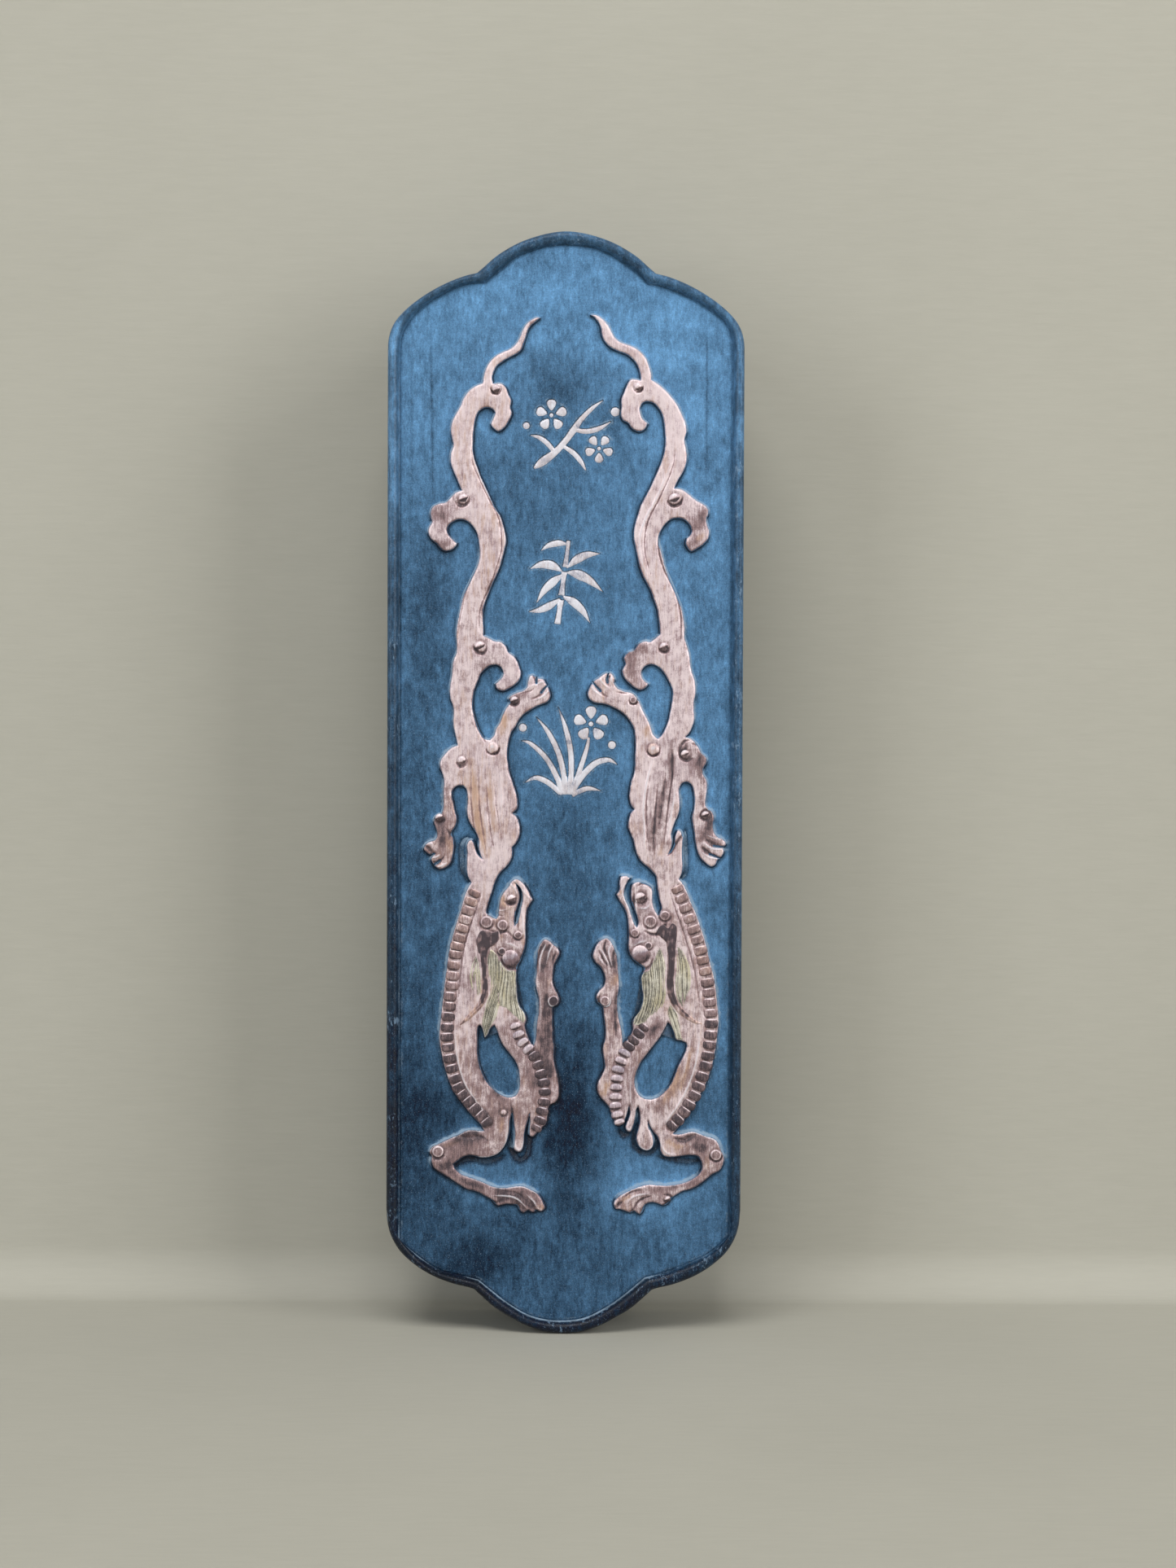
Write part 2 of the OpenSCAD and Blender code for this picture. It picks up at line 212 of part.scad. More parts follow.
right_outline = [
  // whip tip and its lower edge
  [-4.6,203.5,1],[-5.5,203],[-6.4,201.9],[-6.9,200.7],[-7.1,199.3],[-7.7,198.1],[-8.8,197],
  [-10.2,196.3],[-11.9,195.7],[-13,194.9],[-13.9,193.9],[-14.5,192.6],[-14.8,191.4],[-14.8,190.5,1],
  // hooked end of the tail
  [-13.8,190.7],[-12.8,190.6],[-12.1,189.5],[-11.5,188],[-11,186.7],[-11,185],[-10.9,183.6],
  [-11.4,182.5],[-12.4,182],[-13.2,180.9],[-14.6,180.3],[-15.7,180.9],[-16.2,182,1],[-15.2,182.9],
  [-14.8,184],[-14.7,185],[-15.2,186],[-16.2,186.3],[-17.4,186],[-18.4,185],[-19.1,183.8],
  // inner edge of the tail
  [-19.5,182.2],[-19.7,180.2],[-19.8,178.3],[-19.6,176.4],[-19.1,174.6],[-18.4,172.8],[-17.6,171],
  [-16.8,169.2],[-16.1,167.9],[-15.6,166.9],[-14.9,165.5],[-14.4,163.9],[-13.9,162.3],[-13.6,160.6],
  [-13.6,159],[-14,157.1],[-14.4,155.2],[-14.8,153.5],[-15.4,151.8],[-16.3,150.1],[-17.1,148.5],
  [-17.7,146.8],[-18.3,145.1],[-18.6,143.2],[-18.8,141.6],[-18.9,140.1,1],
  // inner cloud scroll
  [-17.8,139.2],[-16.9,138.6],[-15.8,138.7],[-14.6,138.1],[-13.7,136.9],[-12.6,136.5],[-11.7,135.4],
  [-12,134.1],[-11.4,132.9],[-11.7,131.6],[-12.7,130.4],[-13.8,129.5],[-15.1,129],[-16.2,129.6],
  [-16.6,130.2,1],[-15.5,131.2],[-15.2,132.5],[-15.8,133.6],[-17.2,134.1],[-18.7,133.5],
  [-19.8,132.3],[-20.7,130.7],
  // gap between the waist and the raised arm
  [-21.3,129.4],[-21.5,128.2],[-21.3,126.6],[-21,124.8],[-20.6,122.9],[-20,121.3],[-19.3,120],
  [-18.6,119.3,1],
  // raised arm and claw
  [-17.6,120.2],[-17.1,121.7],[-16.5,123.1],[-15.7,124.6],[-15,126.2],[-14.3,127.5],[-13.3,128.4],
  [-11.9,128.7],[-10.5,129.3],[-9.8,130.3],[-9.9,131.2],[-9.2,132.3],[-8.1,132.3],[-6.7,131.4],
  [-5.6,130.5],[-4.8,129.2],[-4.5,128.1],[-5,127],[-6.1,126.4],[-7.8,126.2],[-9.2,125.7],
  [-10.8,124.9],[-12.1,123.9],[-13,122.7],[-13.8,121.2],[-14,119.6],
  // flank
  [-14.1,117.7],[-14,115.8],[-14,114],[-13.8,112.3],[-13.3,110.8],[-13,109],[-12.9,107.4],
  [-13.3,106],[-13.9,105.2,1],[-13.2,104.4],[-12.8,103],[-12.7,101.7],[-13.2,100.3],[-13.8,98.9],
  [-14.1,97.4],[-14.6,95.9],[-15.5,94.6],[-16.7,93.6],[-17.6,92.7],[-18.3,91.8],[-18.5,90.4],
  [-18.7,88.8],[-19,87.2],[-19.4,85.9],
  // ear, snout and open jaw
  [-19.4,85.2],[-19.1,84.6],[-18.8,83.9,1],[-18.2,84.9],[-17.7,86.2],[-17.6,87.6],[-17.6,88.8],
  [-17.4,89.7],[-16.4,90.3],[-15.2,90.7],[-14.2,90.6],[-13.5,90],[-13.3,88.6],[-13.4,87],
  [-13.9,85.4],[-14.5,84],[-14.8,82.6],[-14.5,81.6,1],[-13.9,82.6],[-13.4,84.1],[-12.9,85.7],
  [-12.2,87.1],[-11.9,88.4],[-12.1,89.6],[-12.6,90.8],[-13.1,91.5,1],[-12.3,91.9],[-11.3,91.7],
  [-11,90.5],[-11,89.2],[-10.4,88.1,1],[-11.1,86.8],[-12,85.4],[-12.6,83.8],[-12.8,82.1],
  [-12.9,80.2],[-12.8,78.3],[-13,76.7],[-13.8,75.2],[-14.9,74.3],[-15.9,73.6],
  // mane and chest
  [-15.9,72.7],[-15.4,71.6],[-15.5,69.7],[-15.8,67.8],[-15.5,66],[-14.9,64.6],[-14,63.4],
  [-13.7,62.3],[-13.8,61.1],[-13.2,59.8],[-12.3,58.5],[-11.8,57.8,1],
  // foreleg and claw
  [-11.7,59.4],[-11.5,61.1],[-11,63.3],[-10.7,65.4],[-10.7,67.6],[-11,69.7],[-10.9,71.9],
  [-10.7,73.8],[-10.6,75.7],[-10.2,77.1],[-9.5,78.5],[-8.7,79.4],[-7.6,79.2],[-6.6,78.3],
  [-6.1,77.3],[-5.7,75.9],[-6.2,74.7],[-7.1,73.8],[-7.8,72.8],[-8.2,71.4],[-8,70],[-7.1,69],
  [-6.5,67.9],[-6.7,66.6],[-7.7,65.8],[-7.9,64.5],[-8.1,62.8],[-8.3,61.1],[-8.2,59.2],
  // belly
  [-7.8,57.4],[-7.9,56],[-8.1,54.8],[-8.2,53.4],[-7.6,52],[-6.9,50.6],[-6.7,49.2],[-7.2,47.8],
  [-8.3,46.5],[-9.1,45.5],[-9.6,44.1],[-10.2,42.8],[-10.8,41.9],[-11.8,42.2],[-12.4,43.5],
  [-12.8,44.8],[-13.1,45.9,1],
  // two hanging tufts
  [-13.3,44.4],[-12.9,43],[-12.4,41.7],[-12.7,40.8],[-13.4,40.7],[-13.9,41.8],[-14.3,43.4],
  [-14.5,45],[-14.9,45.8,1],[-15.2,44.7],[-15.3,43.3],[-15.1,41.8],[-14.7,40.3],[-14.6,38.8],
  [-15.4,37.4],[-16.7,36.9],[-17.7,37.5],[-18,38.9],[-17.6,40.4],[-17,41.6],[-16.9,42.8,1],
  // haunch, shin and hind claw
  [-17.3,41.8],[-17.9,40.8],[-18.8,39.7],[-19.3,38.3],[-19.4,36.9],[-20.2,35.8],[-21.6,35.6],
  [-23.4,35.8],[-25.2,36],[-26.6,35.9],[-27.3,35.3],[-27.7,34.3],[-27.7,33.2],[-27.1,32.2],
  [-25.9,31.3],[-24.5,30.6],[-22.6,30.1],[-20.7,29.9],[-18.8,30],[-16.9,30.1],[-15.2,29.7],
  [-13.8,29.1],[-12.1,28.3],[-10.9,27.5],[-10.1,26.3],[-10.5,25.2],[-11.4,25.1,1],[-12.5,24.7],
  [-13.4,24.4],[-14.2,24.8,1],[-15.3,24.1],[-16,24.9],[-16.4,26],[-17.6,26.5],[-18.8,26.3],
  [-20,25.9],[-21,26.3],[-21.6,27.2],[-22.3,27.8],[-23.8,28.7],[-25.6,29.2],[-27.1,30],
  [-28.5,31.1],[-29.9,32.2],[-31.3,33],[-32,34.4],[-32.1,35.8],[-31.5,37],[-31.1,38.2],
  [-30.2,39.3],[-28.6,39.8],[-27.1,40.4],[-25.7,40.8],[-24.2,40.4],[-22.9,40.2],[-21.9,40.3,1],
  // outer edge of the back
  [-22.7,41.3],[-23.9,42.8],[-25.1,44.4],[-26.2,46.3],[-27.3,48.2],[-28.3,50.1],[-29.1,52.2],
  [-29.7,54.2],[-30.1,56.2],[-30.5,58.3],[-30.7,60.2],[-30.9,62.1],[-30.9,64],[-30.7,65.9],
  [-30.5,67.8],[-30.3,69.7],[-30,71.6],[-29.5,73.5],[-29,75.4],[-28.6,77.3],[-28.1,79.2],
  [-27.5,81.1],[-26.9,82.8],[-26.3,84.5],[-25.5,86.2],[-24.9,87.8],[-24.4,89],[-23.8,90.2],[-22.9,91.3,1],
  // flap of the coat
  [-23.4,92.5],[-23.6,94],[-23.5,95.8],[-23.5,97.8],[-23.6,99.7],[-23.2,100.8],[-22.6,101],
  [-22.1,99.9],[-21.9,98.4],[-21.4,97.1],[-20.7,96.3,1],[-21.3,97.5],[-21.5,98.8],[-21.3,100.1],
  [-21.6,101.5],[-22.1,102.9],[-22.7,104.3],[-23,106],[-22.9,107.7],[-22.8,109.1],[-23.3,110.3],
  // lowered arm and claw
  [-24.3,110.7],[-25.3,110.1],[-25.7,108.9],[-25.9,107.2],[-25.8,105.4],[-25.4,103.7],[-25.6,102.2],
  [-25.9,100.5],[-26.1,98.9],[-26.5,97],[-27.1,95.6],[-28.1,94.6],[-29.2,93.8],[-30.1,94.2],
  [-30.5,95.1,1],[-31.3,95.8],[-31.8,96.8],[-31.6,97.5,1],[-32.2,98.4],[-31.6,99.3],[-30.5,99.8],
  [-29.8,100.8],[-29.6,102.3],[-29.8,103.6],[-29.4,104.8],[-28.6,105.4],[-28.1,106.2],
  [-28.2,107.7],[-28.4,109.3],[-28.3,111],[-27.6,112.3],[-27.6,113.4],[-28.2,114.5],[-28.2,115.6],
  [-27.2,116.6],[-26.5,118],[-25.2,119.3],[-24,119.6,1],
  // waist and outer edge of the tail
  [-24.8,120.5],[-25.4,121.7],[-25.8,123.2],[-25.7,125],[-25.7,126.7],[-26,128.2],[-26,129.7],
  [-25.8,131.1],[-25.3,132.6],[-25,134],[-24.8,135.9],[-24.3,137.8],[-23.8,139.5],[-23.8,141.5],
  [-23.5,143.5],[-23.1,145.4],[-22.4,147.3],[-21.6,149.2],[-20.7,151.3],[-19.9,153.3],
  [-19.4,155.2],[-18.9,157],[-18.5,158.5],[-18.7,160],[-19.5,161.6],[-20.7,162.8],[-22,163.2],
  [-23.4,163],[-24.6,162],[-25.1,160.7],[-24.8,159.8],[-24.1,159.1,1],
  // outer cloud scroll
  [-23.9,158.1],[-24.4,157.1],[-25.1,156.6],[-26.4,157.3],[-27.5,158.1],[-28.4,159.2],
  [-28.6,160.6],[-28.2,161.8],[-28,163],[-28.4,164.1],[-28.3,165.1],[-27.5,165.9],[-25.9,166.8],
  [-24.8,167.7],[-23.8,168.5],[-22.7,169],[-21.6,169.1,1],
  // outer edge of the upper tail and the whip
  [-22.2,170.5],[-23.1,172],[-23.8,173.5],[-24.1,175.3],[-23.9,177.1],[-23.6,178.7],[-24,180.3],
  [-23.8,182],[-23,183.9],[-22.1,185.7],[-20.9,187.3],[-19.7,188.6],[-18.3,189.8],[-17,190.6,1],
  [-16.9,191.9],[-16.5,193.3],[-15.9,194.8],[-15,195.9],[-13.9,196.8],[-12.6,197.4],[-10.9,198],
  [-9.7,198.9],[-9,200.1],[-8.3,201.4],[-7.3,202.5],[-6.1,203.3]
];

right_opening = [
  [-24.5,58.4],[-24.4,57],[-23.8,55.7],[-22.9,53.9],[-22.2,52],[-21.4,50.2],[-20.2,48.7],
  [-18.8,47.6],[-17.1,47.2],[-15.5,47.7],[-14.6,48.9],[-14.2,50.6],[-14.5,52.5],[-15.3,54.4],
  [-16.4,56],[-17.7,57.7],[-19.1,59.5],[-20,61.1],[-20.8,62.7,1],[-21.5,61.7],[-22,60.5],
  [-22.4,59.2],[-23.4,59,1]
];

left_mane_main = [
  [-14.6,77.2],[-15.3,76.2],[-15.4,74.8],[-15.2,72.8],[-15,70.8],[-14.9,69],[-15.2,67.5],
  [-15.7,66],[-16.1,64.3],[-16.4,62.3],[-16.1,60.7],[-15.8,59.5,1],[-15.2,60.2],[-14.8,61.3],
  [-14.1,62.5],[-13.4,63.6],[-13.1,64.8],[-12.9,65.8,1],[-11.6,65.3],[-10.3,64.1],[-9,63.1],
  [-8.1,62.4,1],[-7.7,63.2],[-8,64.5],[-8.9,65.8],[-9.3,67.3],[-9.5,69],[-9.6,71],[-9.7,72.7],
  [-11.1,73],[-12.1,73.8],[-12.9,75.2],[-13.6,76.4]
];

left_mane_lobe = [
  [-17.5,76.4,1],[-18.3,75],[-18.9,73.1],[-19.2,71.2],[-18.9,69.5],[-18.1,68.2],[-17,67.5,1],
  [-16.4,68.8],[-16.3,70.4],[-16.5,72.6],[-16.9,74.4]
];

right_mane_main = [
  [-19.4,77.8],[-20.1,76],[-20.4,74],[-20.4,72.2],[-20.4,70.2],[-20.5,68],[-20,66],[-18.9,64.8],
  [-17.4,63.6],[-15.9,62.5],[-14.6,62],[-13.8,62.4,1],[-14.1,63.5],[-15,64.7],[-15.6,66],
  [-15.9,67.8],[-15.6,69.7],[-15.5,71.6],[-16.1,72.7],[-17,73.1],[-17.6,74.4],[-18.1,76],[-18.7,77.4]
];

right_mane_lobe = [
  [-22.5,78.4,1],[-24,76.9],[-24.8,75.2],[-25.4,73.1],[-25.5,70.8],[-24.9,68.3],[-24.1,65.9,1],
  [-23.2,65.9],[-22.3,67.3],[-21.8,69],[-22,71.4],[-22.2,73.8],[-22.3,76.2]
];

right_mane_wisp = [
  [-21.2,66.5,1],[-22.5,64.8],[-23.2,63],[-23.5,60.8],[-23.8,59.1,1],[-22.5,59.3],[-22.1,60.6],
  [-21.5,62],[-20.8,63.8],[-20.7,65.2]
];

left_horn_cap = [
  [-17.7,78.6],[-17.3,79.9],[-16.7,80.8],[-15.6,81],[-14.3,80.6],[-13.1,80.8],[-12.9,79.4],
  [-13.6,78.1],[-14.9,77.4],[-15.5,76.1],[-16.9,76.2],[-17.4,77.3]
];
right_horn_cap = [
  [-22.6,80.6],[-22.4,82],[-21.5,82.6],[-20.7,81.6],[-19.8,82.2],[-18.9,81.7],[-18.4,80.6],
  [-19.3,79.6],[-20.3,78.6],[-20.6,77],[-22,77],[-22.4,78.8]
];
left_horn_stem = [
  [-16.2,77,0.9],[-16.1,75.5,0.65],[-15.9,73,0.55],[-15.8,71,0.55],[-15.7,69.2,0.65],[-15.9,67.8,0.7],
  [-16.8,66,0.65],[-18,64.6,0.55],[-19.3,63.3,0.45],[-20.8,62,0.15]
];
right_horn_stem = [
  [-21.4,78.5,0.95],[-21.4,76,0.85],[-21.3,73,0.8],[-21.2,70.5,0.8],[-21.4,68.4,0.75],[-22.2,66.4,0.7],
  [-23.4,64.9,0.65],[-24.8,63.7,0.55],[-26.2,62.8,0.4],[-27.6,62.4,0.15]
];

left_back_row = [
  [-17.9,88.3],[-18.7,86.6],[-19.2,84.8],[-19.8,83],[-20.3,81.3],[-20.9,79.4],[-21.4,77.7],[-21.7,76],
  [-22,73.9],[-22.2,71.8],[-22.4,69.8],[-22.7,67.7],[-22.9,65.7],[-23.1,63.6],[-23.3,61.5],[-23.3,59.5],
  [-23.1,57.4],[-22.8,55.3],[-22.3,53.2],[-21.7,51.2],[-21,49.5],[-20,48],[-18.9,46.6],[-17.7,45.2],
  [-16.4,43.8],[-15.3,42.4]
];
right_back_row = [
  [-22.6,89.2],[-23.4,87.5],[-24.2,85.5],[-25.1,83.4],[-25.9,81.2],[-26.6,79.1],[-27.3,77.1],[-27.7,75.1],
  [-28.2,72.9],[-28.7,70.6],[-28.9,68.6],[-29.1,66.6],[-29.3,64.5],[-29.4,62.4],[-29.3,60.2],[-29.1,58.1],
  [-28.8,56],[-28.4,53.9],[-27.7,51.8],[-27,49.8],[-26.1,48],[-25.1,46.2],[-24.1,44.6],[-22.9,43.2],
  [-21.6,41.9]
];
left_belly_row = [
  [-9.7,61.8],[-9.1,60.1],[-8.2,58.5],[-7.1,57.1],[-5.9,55.8],[-5.1,54.1],[-4.5,52.3],[-4,50.5],
  [-3.8,48.6],[-3.9,46.6],[-4.3,44.7],[-4.7,42.9],[-5.5,41.3]
];
right_belly_row = [
  [-16,61.7],[-15,60.4],[-14,59.1],[-13,57.8],[-12.1,56.4],[-11.4,54.8],[-10.9,53.1],[-10.6,51.3],
  [-10.5,49.5],[-10.4,47.7],[-10.4,45.9],[-10.7,44.1],[-11.1,42.7]
];

// boss centre and radius
left_boss_set = [
  [-13.9,188.7,0.8],[-20.3,166.8,1],[-16.9,137.5,1.1],[-14.4,117.4,1.15],[-20.5,114.9,0.8],
  [-10.1,126.8,0.8],[-25,103.4,0.8],[-15.5,82.6,1.2],[-12.3,82,1.05],[-9.2,80,0.8],[-12.4,76.8,0.75],
  [-10.7,75.4,1.7],[-10.5,87.2,0.9],[-2.1,66.9,1],[-25.1,36.6,1.15],[-12,44.5,0.6]
];
right_boss_set = [
  [-14.3,189.2,0.8],[-21.7,166.9,1.2],[-19.7,137.5,0.9],[-17.7,117.2,1.15],[-24,116.2,0.9],
  [-13.6,127,0.65],[-28.1,104.1,0.8],[-20.1,84,1],[-17.2,82.8,1.25],[-14.1,80.5,0.8],[-16.8,78,0.75],
  [-15.2,76.4,1.7],[-15.2,87.5,1.1],[-8.2,66.9,1],[-30.5,36.1,1.1],[-20.9,27.2,0.6]
];

// ---- curve functions ----
function cr(a, b, c, d, t) = 0.5 * ((2*b) + (c - a)*t + (2*a - 5*b + 4*c - d)*t*t + (3*b - a - 3*c + d)*t*t*t);
function xy(p) = [p[0], p[1]];
function before(p, i) = len(p[i]) > 2 ? 2*xy(p[i]) - xy(p[(i+1) % len(p)]) : xy(p[(i - 1 + len(p)) % len(p)]);
function after(p, i) = let(n = len(p), c = p[(i+1) % n]) len(c) > 2 ? 2*xy(c) - xy(p[i]) : xy(p[(i+2) % n]);
// closed smooth curve; a third entry of 1 marks a sharp corner
function smooth(p, k) = [for (i = [0:len(p)-1]) for (j = [0:k-1])
    cr(before(p, i), xy(p[i]), xy(p[(i+1) % len(p)]), after(p, i), j/k)];
function flip(p) = [for (i = [len(p)-1:-1:0]) len(p[i]) > 2 ? [-p[i][0], p[i][1], p[i][2]] : [-p[i][0], p[i][1]]];
function fit(p) = [for (q = p) [q[0]*kx, q[1]*kz]];
function unit(v) = v / max(0.0001, norm(v));
// point and half width along an open brush stroke
function pick(s, i) = s[max(0, min(len(s)-1, i))];
function along(s, k) = [for (i = [0:len(s)-2]) for (j = [0:k-1])
    cr(pick(s, i-1), pick(s, i), pick(s, i+1), pick(s, i+2), j/k), s[len(s)-1]];
function side(a, m, w) = [for (i = [0:len(a)-1])
    let(t = unit(xy(pick(a, i+1)) - xy(pick(a, i-1)))) xy(a[i]) + m * max(0.08, a[i][2]) * [-t[1], t[0]] * w];
function brush(s, k) = let(a = along(s, k), l = side(a, 1, 1), r = side(a, -1, 1))
    concat(l, [for (i = [len(r)-1:-1:0]) r[i]]);
// closed outline moved inwards by d, for a clockwise list
function inset(p, d) = [for (i = [0:len(p)-1])
    let(n = len(p), t = unit(p[(i+1) % n] - p[(i-1+n) % n])) p[i] + d*[t[1], -t[0]]];
function petal(b, i) = let(a = b[3] + 72*i, u = [cos(a), sin(a)], v = [-sin(a), cos(a)], r = b[2])
    [for (q = [[0.24, 0], [0.5, 0.24], [0.78, 0.33], [0.96, 0.2], [1, 0], [0.96, -0.2], [0.78, -0.33], [0.5, -0.24]])
        [b[0], b[1]] + r*q[0]*u + r*q[1]*v];
function ring(c, r, n) = [for (i = [0:n-1]) [c[0] + r*cos(360*i/n), c[1] + r*sin(360*i/n)]];
// rounded pillow laid across a row at step i
function pillow(row, i, l, w) = let(t = unit(xy(pick(row, i+1)) - xy(pick(row, i-1))), s = [-t[1], t[0]], c = xy(row[i]))
    [for (q = [[-0.5, -0.2], [-0.38, -0.44], [-0.15, -0.5], [0.15, -0.5], [0.38, -0.44], [0.5, -0.2],
               [0.5, 0.2], [0.38, 0.44], [0.15, 0.5], [-0.15, 0.5], [-0.38, 0.44], [-0.5, 0.2]])
        c + l*q[0]*s + w*q[1]*t];

// prism standing on the plane y = y0 and rising towards the viewer by h
module slab(p, y0, h) { translate([0, y0, 0]) rotate([90, 0, 0]) linear_extrude(h) polygon(fit(p)); }

outer_all = concat([for (q = outer_half) q], [for (i = [len(outer_half)-2:-1:1]) let(q = outer_half[i]) len(q) > 2 ? [-q[0], q[1], 1] : [-q[0], q[1]]]);
outer_curve = smooth(outer_all, slab_steps);
field_curve = smooth(field_edge, slab_steps);

module motif_shapes(strokes, blossoms, buds, y0, h) {
    for (s = strokes) slab(brush(s, stroke_steps), y0, h);
    for (b = blossoms) { for (i = [0:4]) slab(petal(b, i), y0, h); slab(ring(b, b[2]*0.17, 10), y0, h); }
    for (b = buds) slab(ring(b, b[2], 10), y0, h);
}

// ---- sub-parts ----
module ink_body() color(ink) difference() {
    union() {
        slab(outer_curve, half - edge_round, thickness - 2*edge_round);
        // worn edge steps towards both faces
        for (s = [[0.12, 0.45], [0.35, 0.75], [0.75, 1]])
            slab(inset(outer_curve, s[0]*edge_round), half - edge_round*(1 - s[1]), thickness - 2*edge_round*(1 - s[1]));
    }
    // front field with a rolled inner edge of the rim
    slab(field_curve, field_y, field_depth + 1);
    slab(inset(field_curve, -0.25), field_y - 0.45*field_depth, field_depth + 1);
    // back field
    slab(field_curve, half + 1, field_depth + 1);
    slab(inset(field_curve, -0.25), half + 1, 0.55*field_depth + 1);
    // pockets for the pigment
    motif_shapes(upper_strokes, upper_blossoms, upper_buds, field_y + ornament_depth, ornament_depth + 0.2);
    motif_shapes(middle_strokes, [], [], field_y + ornament_depth, ornament_depth + 0.2);
    motif_shapes(lower_strokes, lower_blossoms, lower_buds, field_y + ornament_depth, ornament_depth + 0.2);
}

module left_dragon() color(copper) difference() {
    slab(smooth(left_outline, 1), field_y, relief);
    slab(smooth(left_opening, 2), field_y + 1, relief + 2);
    slab(smooth(left_mouth, 2), field_y + 1, relief + 2);
}
module right_dragon() color(copper) difference() {
    slab(flip(smooth(right_outline, 1)), field_y, relief);
    slab(flip(smooth(right_opening, 2)), field_y + 1, relief + 2);
}

module back_beads(row, mirrored) for (i = [0:len(row)-1])
    let(p = pillow(row, i, back_bead_length, back_bead_width)) slab(mirrored ? flip(p) : p, top_y, detail);
module belly_beads(row, mirrored) for (i = [0:len(row)-1])
    let(p = pillow(row, i, belly_bead_length, belly_bead_width)) slab(mirrored ? flip(p) : p, top_y, detail);

module left_back_beads() color(copper) back_beads(left_back_row, false);
module right_back_beads() color(copper) back_beads(right_back_row, true);
module left_belly_beads() color(copper) difference() {
    belly_beads(left_belly_row, false);
    slab(smooth(left_mane_main, 2), top_y + 1, 3);
}
module right_belly_beads() color(copper) difference() {
    belly_beads(right_belly_row, true);
    slab(flip(smooth(right_mane_main, 2)), top_y + 1, 3);
}

module left_mane() color(gold) difference() {
    union() {
        slab(smooth(left_mane_main, 2), top_y, detail);
        slab(smooth(left_mane_lobe, 2), top_y, detail);
    }
    slab(brush(left_horn_stem, 3), top_y + 1, 3);
    slab(smooth(left_horn_cap, 2), top_y + 1, 3);
}
module right_mane() color(gold) difference() {
    union() {
        slab(flip(smooth(right_mane_main, 2)), top_y, detail);
        slab(flip(smooth(right_mane_lobe, 2)), top_y, detail);
        slab(flip(smooth(right_mane_wisp, 2)), top_y, detail);
    }
    slab(flip(brush(right_horn_stem, 3)), top_y + 1, 3);
    slab(flip(smooth(right_horn_cap, 2)), top_y + 1, 3);
}
module left_horn() color(copper) union() {
    slab(brush(left_horn_stem, 3), top_y, detail);
    slab(smooth(left_horn_cap, 2), top_y, detail);
}
module right_horn() color(copper) union() {
    slab(flip(brush(right_horn_stem, 3)), top_y, detail);
    slab(flip(smooth(right_horn_cap, 2)), top_y, detail);
}
module left_bosses() color(copper) for (b = left_boss_set) slab(ring(b, b[2], 16), top_y, detail);
module right_bosses() color(copper) for (b = right_boss_set) slab(ring([-b[0], b[1]], b[2], 16), top_y, detail);

module upper_motif() color(silver) motif_shapes(upper_strokes, upper_blossoms, upper_buds, field_y + ornament_depth, pigment);
module middle_motif() color(silver) motif_shapes(middle_strokes, [], [], field_y + ornament_depth, pigment);
module lower_motif() color(silver) motif_shapes(lower_strokes, lower_blossoms, lower_buds, field_y + ornament_depth, pigment);

ink_body();
left_dragon();
right_dragon();
left_back_beads();
right_back_beads();
left_belly_beads();
right_belly_beads();
left_mane();
right_mane();
left_horn();
right_horn();
left_bosses();
right_bosses();
upper_motif();
middle_motif();
lower_motif();
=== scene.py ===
"""Looks of the ink stick: bloomed slate ink with two rubbed copper dragons, golden manes and a silvered plant column."""

import math

import bmesh
import bpy
import numpy as np
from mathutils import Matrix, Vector
from mathutils.geometry import delaunay_2d_cdt


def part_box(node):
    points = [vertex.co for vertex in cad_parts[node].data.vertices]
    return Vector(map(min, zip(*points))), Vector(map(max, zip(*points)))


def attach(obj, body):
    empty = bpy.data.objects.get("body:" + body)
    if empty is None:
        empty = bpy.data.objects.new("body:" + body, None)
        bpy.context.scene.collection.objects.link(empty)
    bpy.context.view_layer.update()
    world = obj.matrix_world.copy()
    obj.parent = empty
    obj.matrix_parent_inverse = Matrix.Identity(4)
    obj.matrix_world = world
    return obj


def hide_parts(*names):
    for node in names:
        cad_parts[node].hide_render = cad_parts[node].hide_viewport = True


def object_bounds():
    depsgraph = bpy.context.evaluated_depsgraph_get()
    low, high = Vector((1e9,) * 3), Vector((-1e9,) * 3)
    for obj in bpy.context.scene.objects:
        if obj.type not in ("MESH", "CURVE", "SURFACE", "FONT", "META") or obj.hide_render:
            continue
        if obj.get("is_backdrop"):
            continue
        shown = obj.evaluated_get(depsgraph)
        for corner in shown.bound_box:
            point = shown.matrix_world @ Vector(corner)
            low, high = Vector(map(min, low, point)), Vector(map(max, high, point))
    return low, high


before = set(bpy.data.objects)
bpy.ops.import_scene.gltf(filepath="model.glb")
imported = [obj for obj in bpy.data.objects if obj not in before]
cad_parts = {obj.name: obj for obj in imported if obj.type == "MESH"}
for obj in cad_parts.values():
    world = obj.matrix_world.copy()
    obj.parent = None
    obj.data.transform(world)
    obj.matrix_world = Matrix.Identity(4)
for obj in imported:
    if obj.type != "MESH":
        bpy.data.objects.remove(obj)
cad_lo, cad_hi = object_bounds()
MM = 0.001

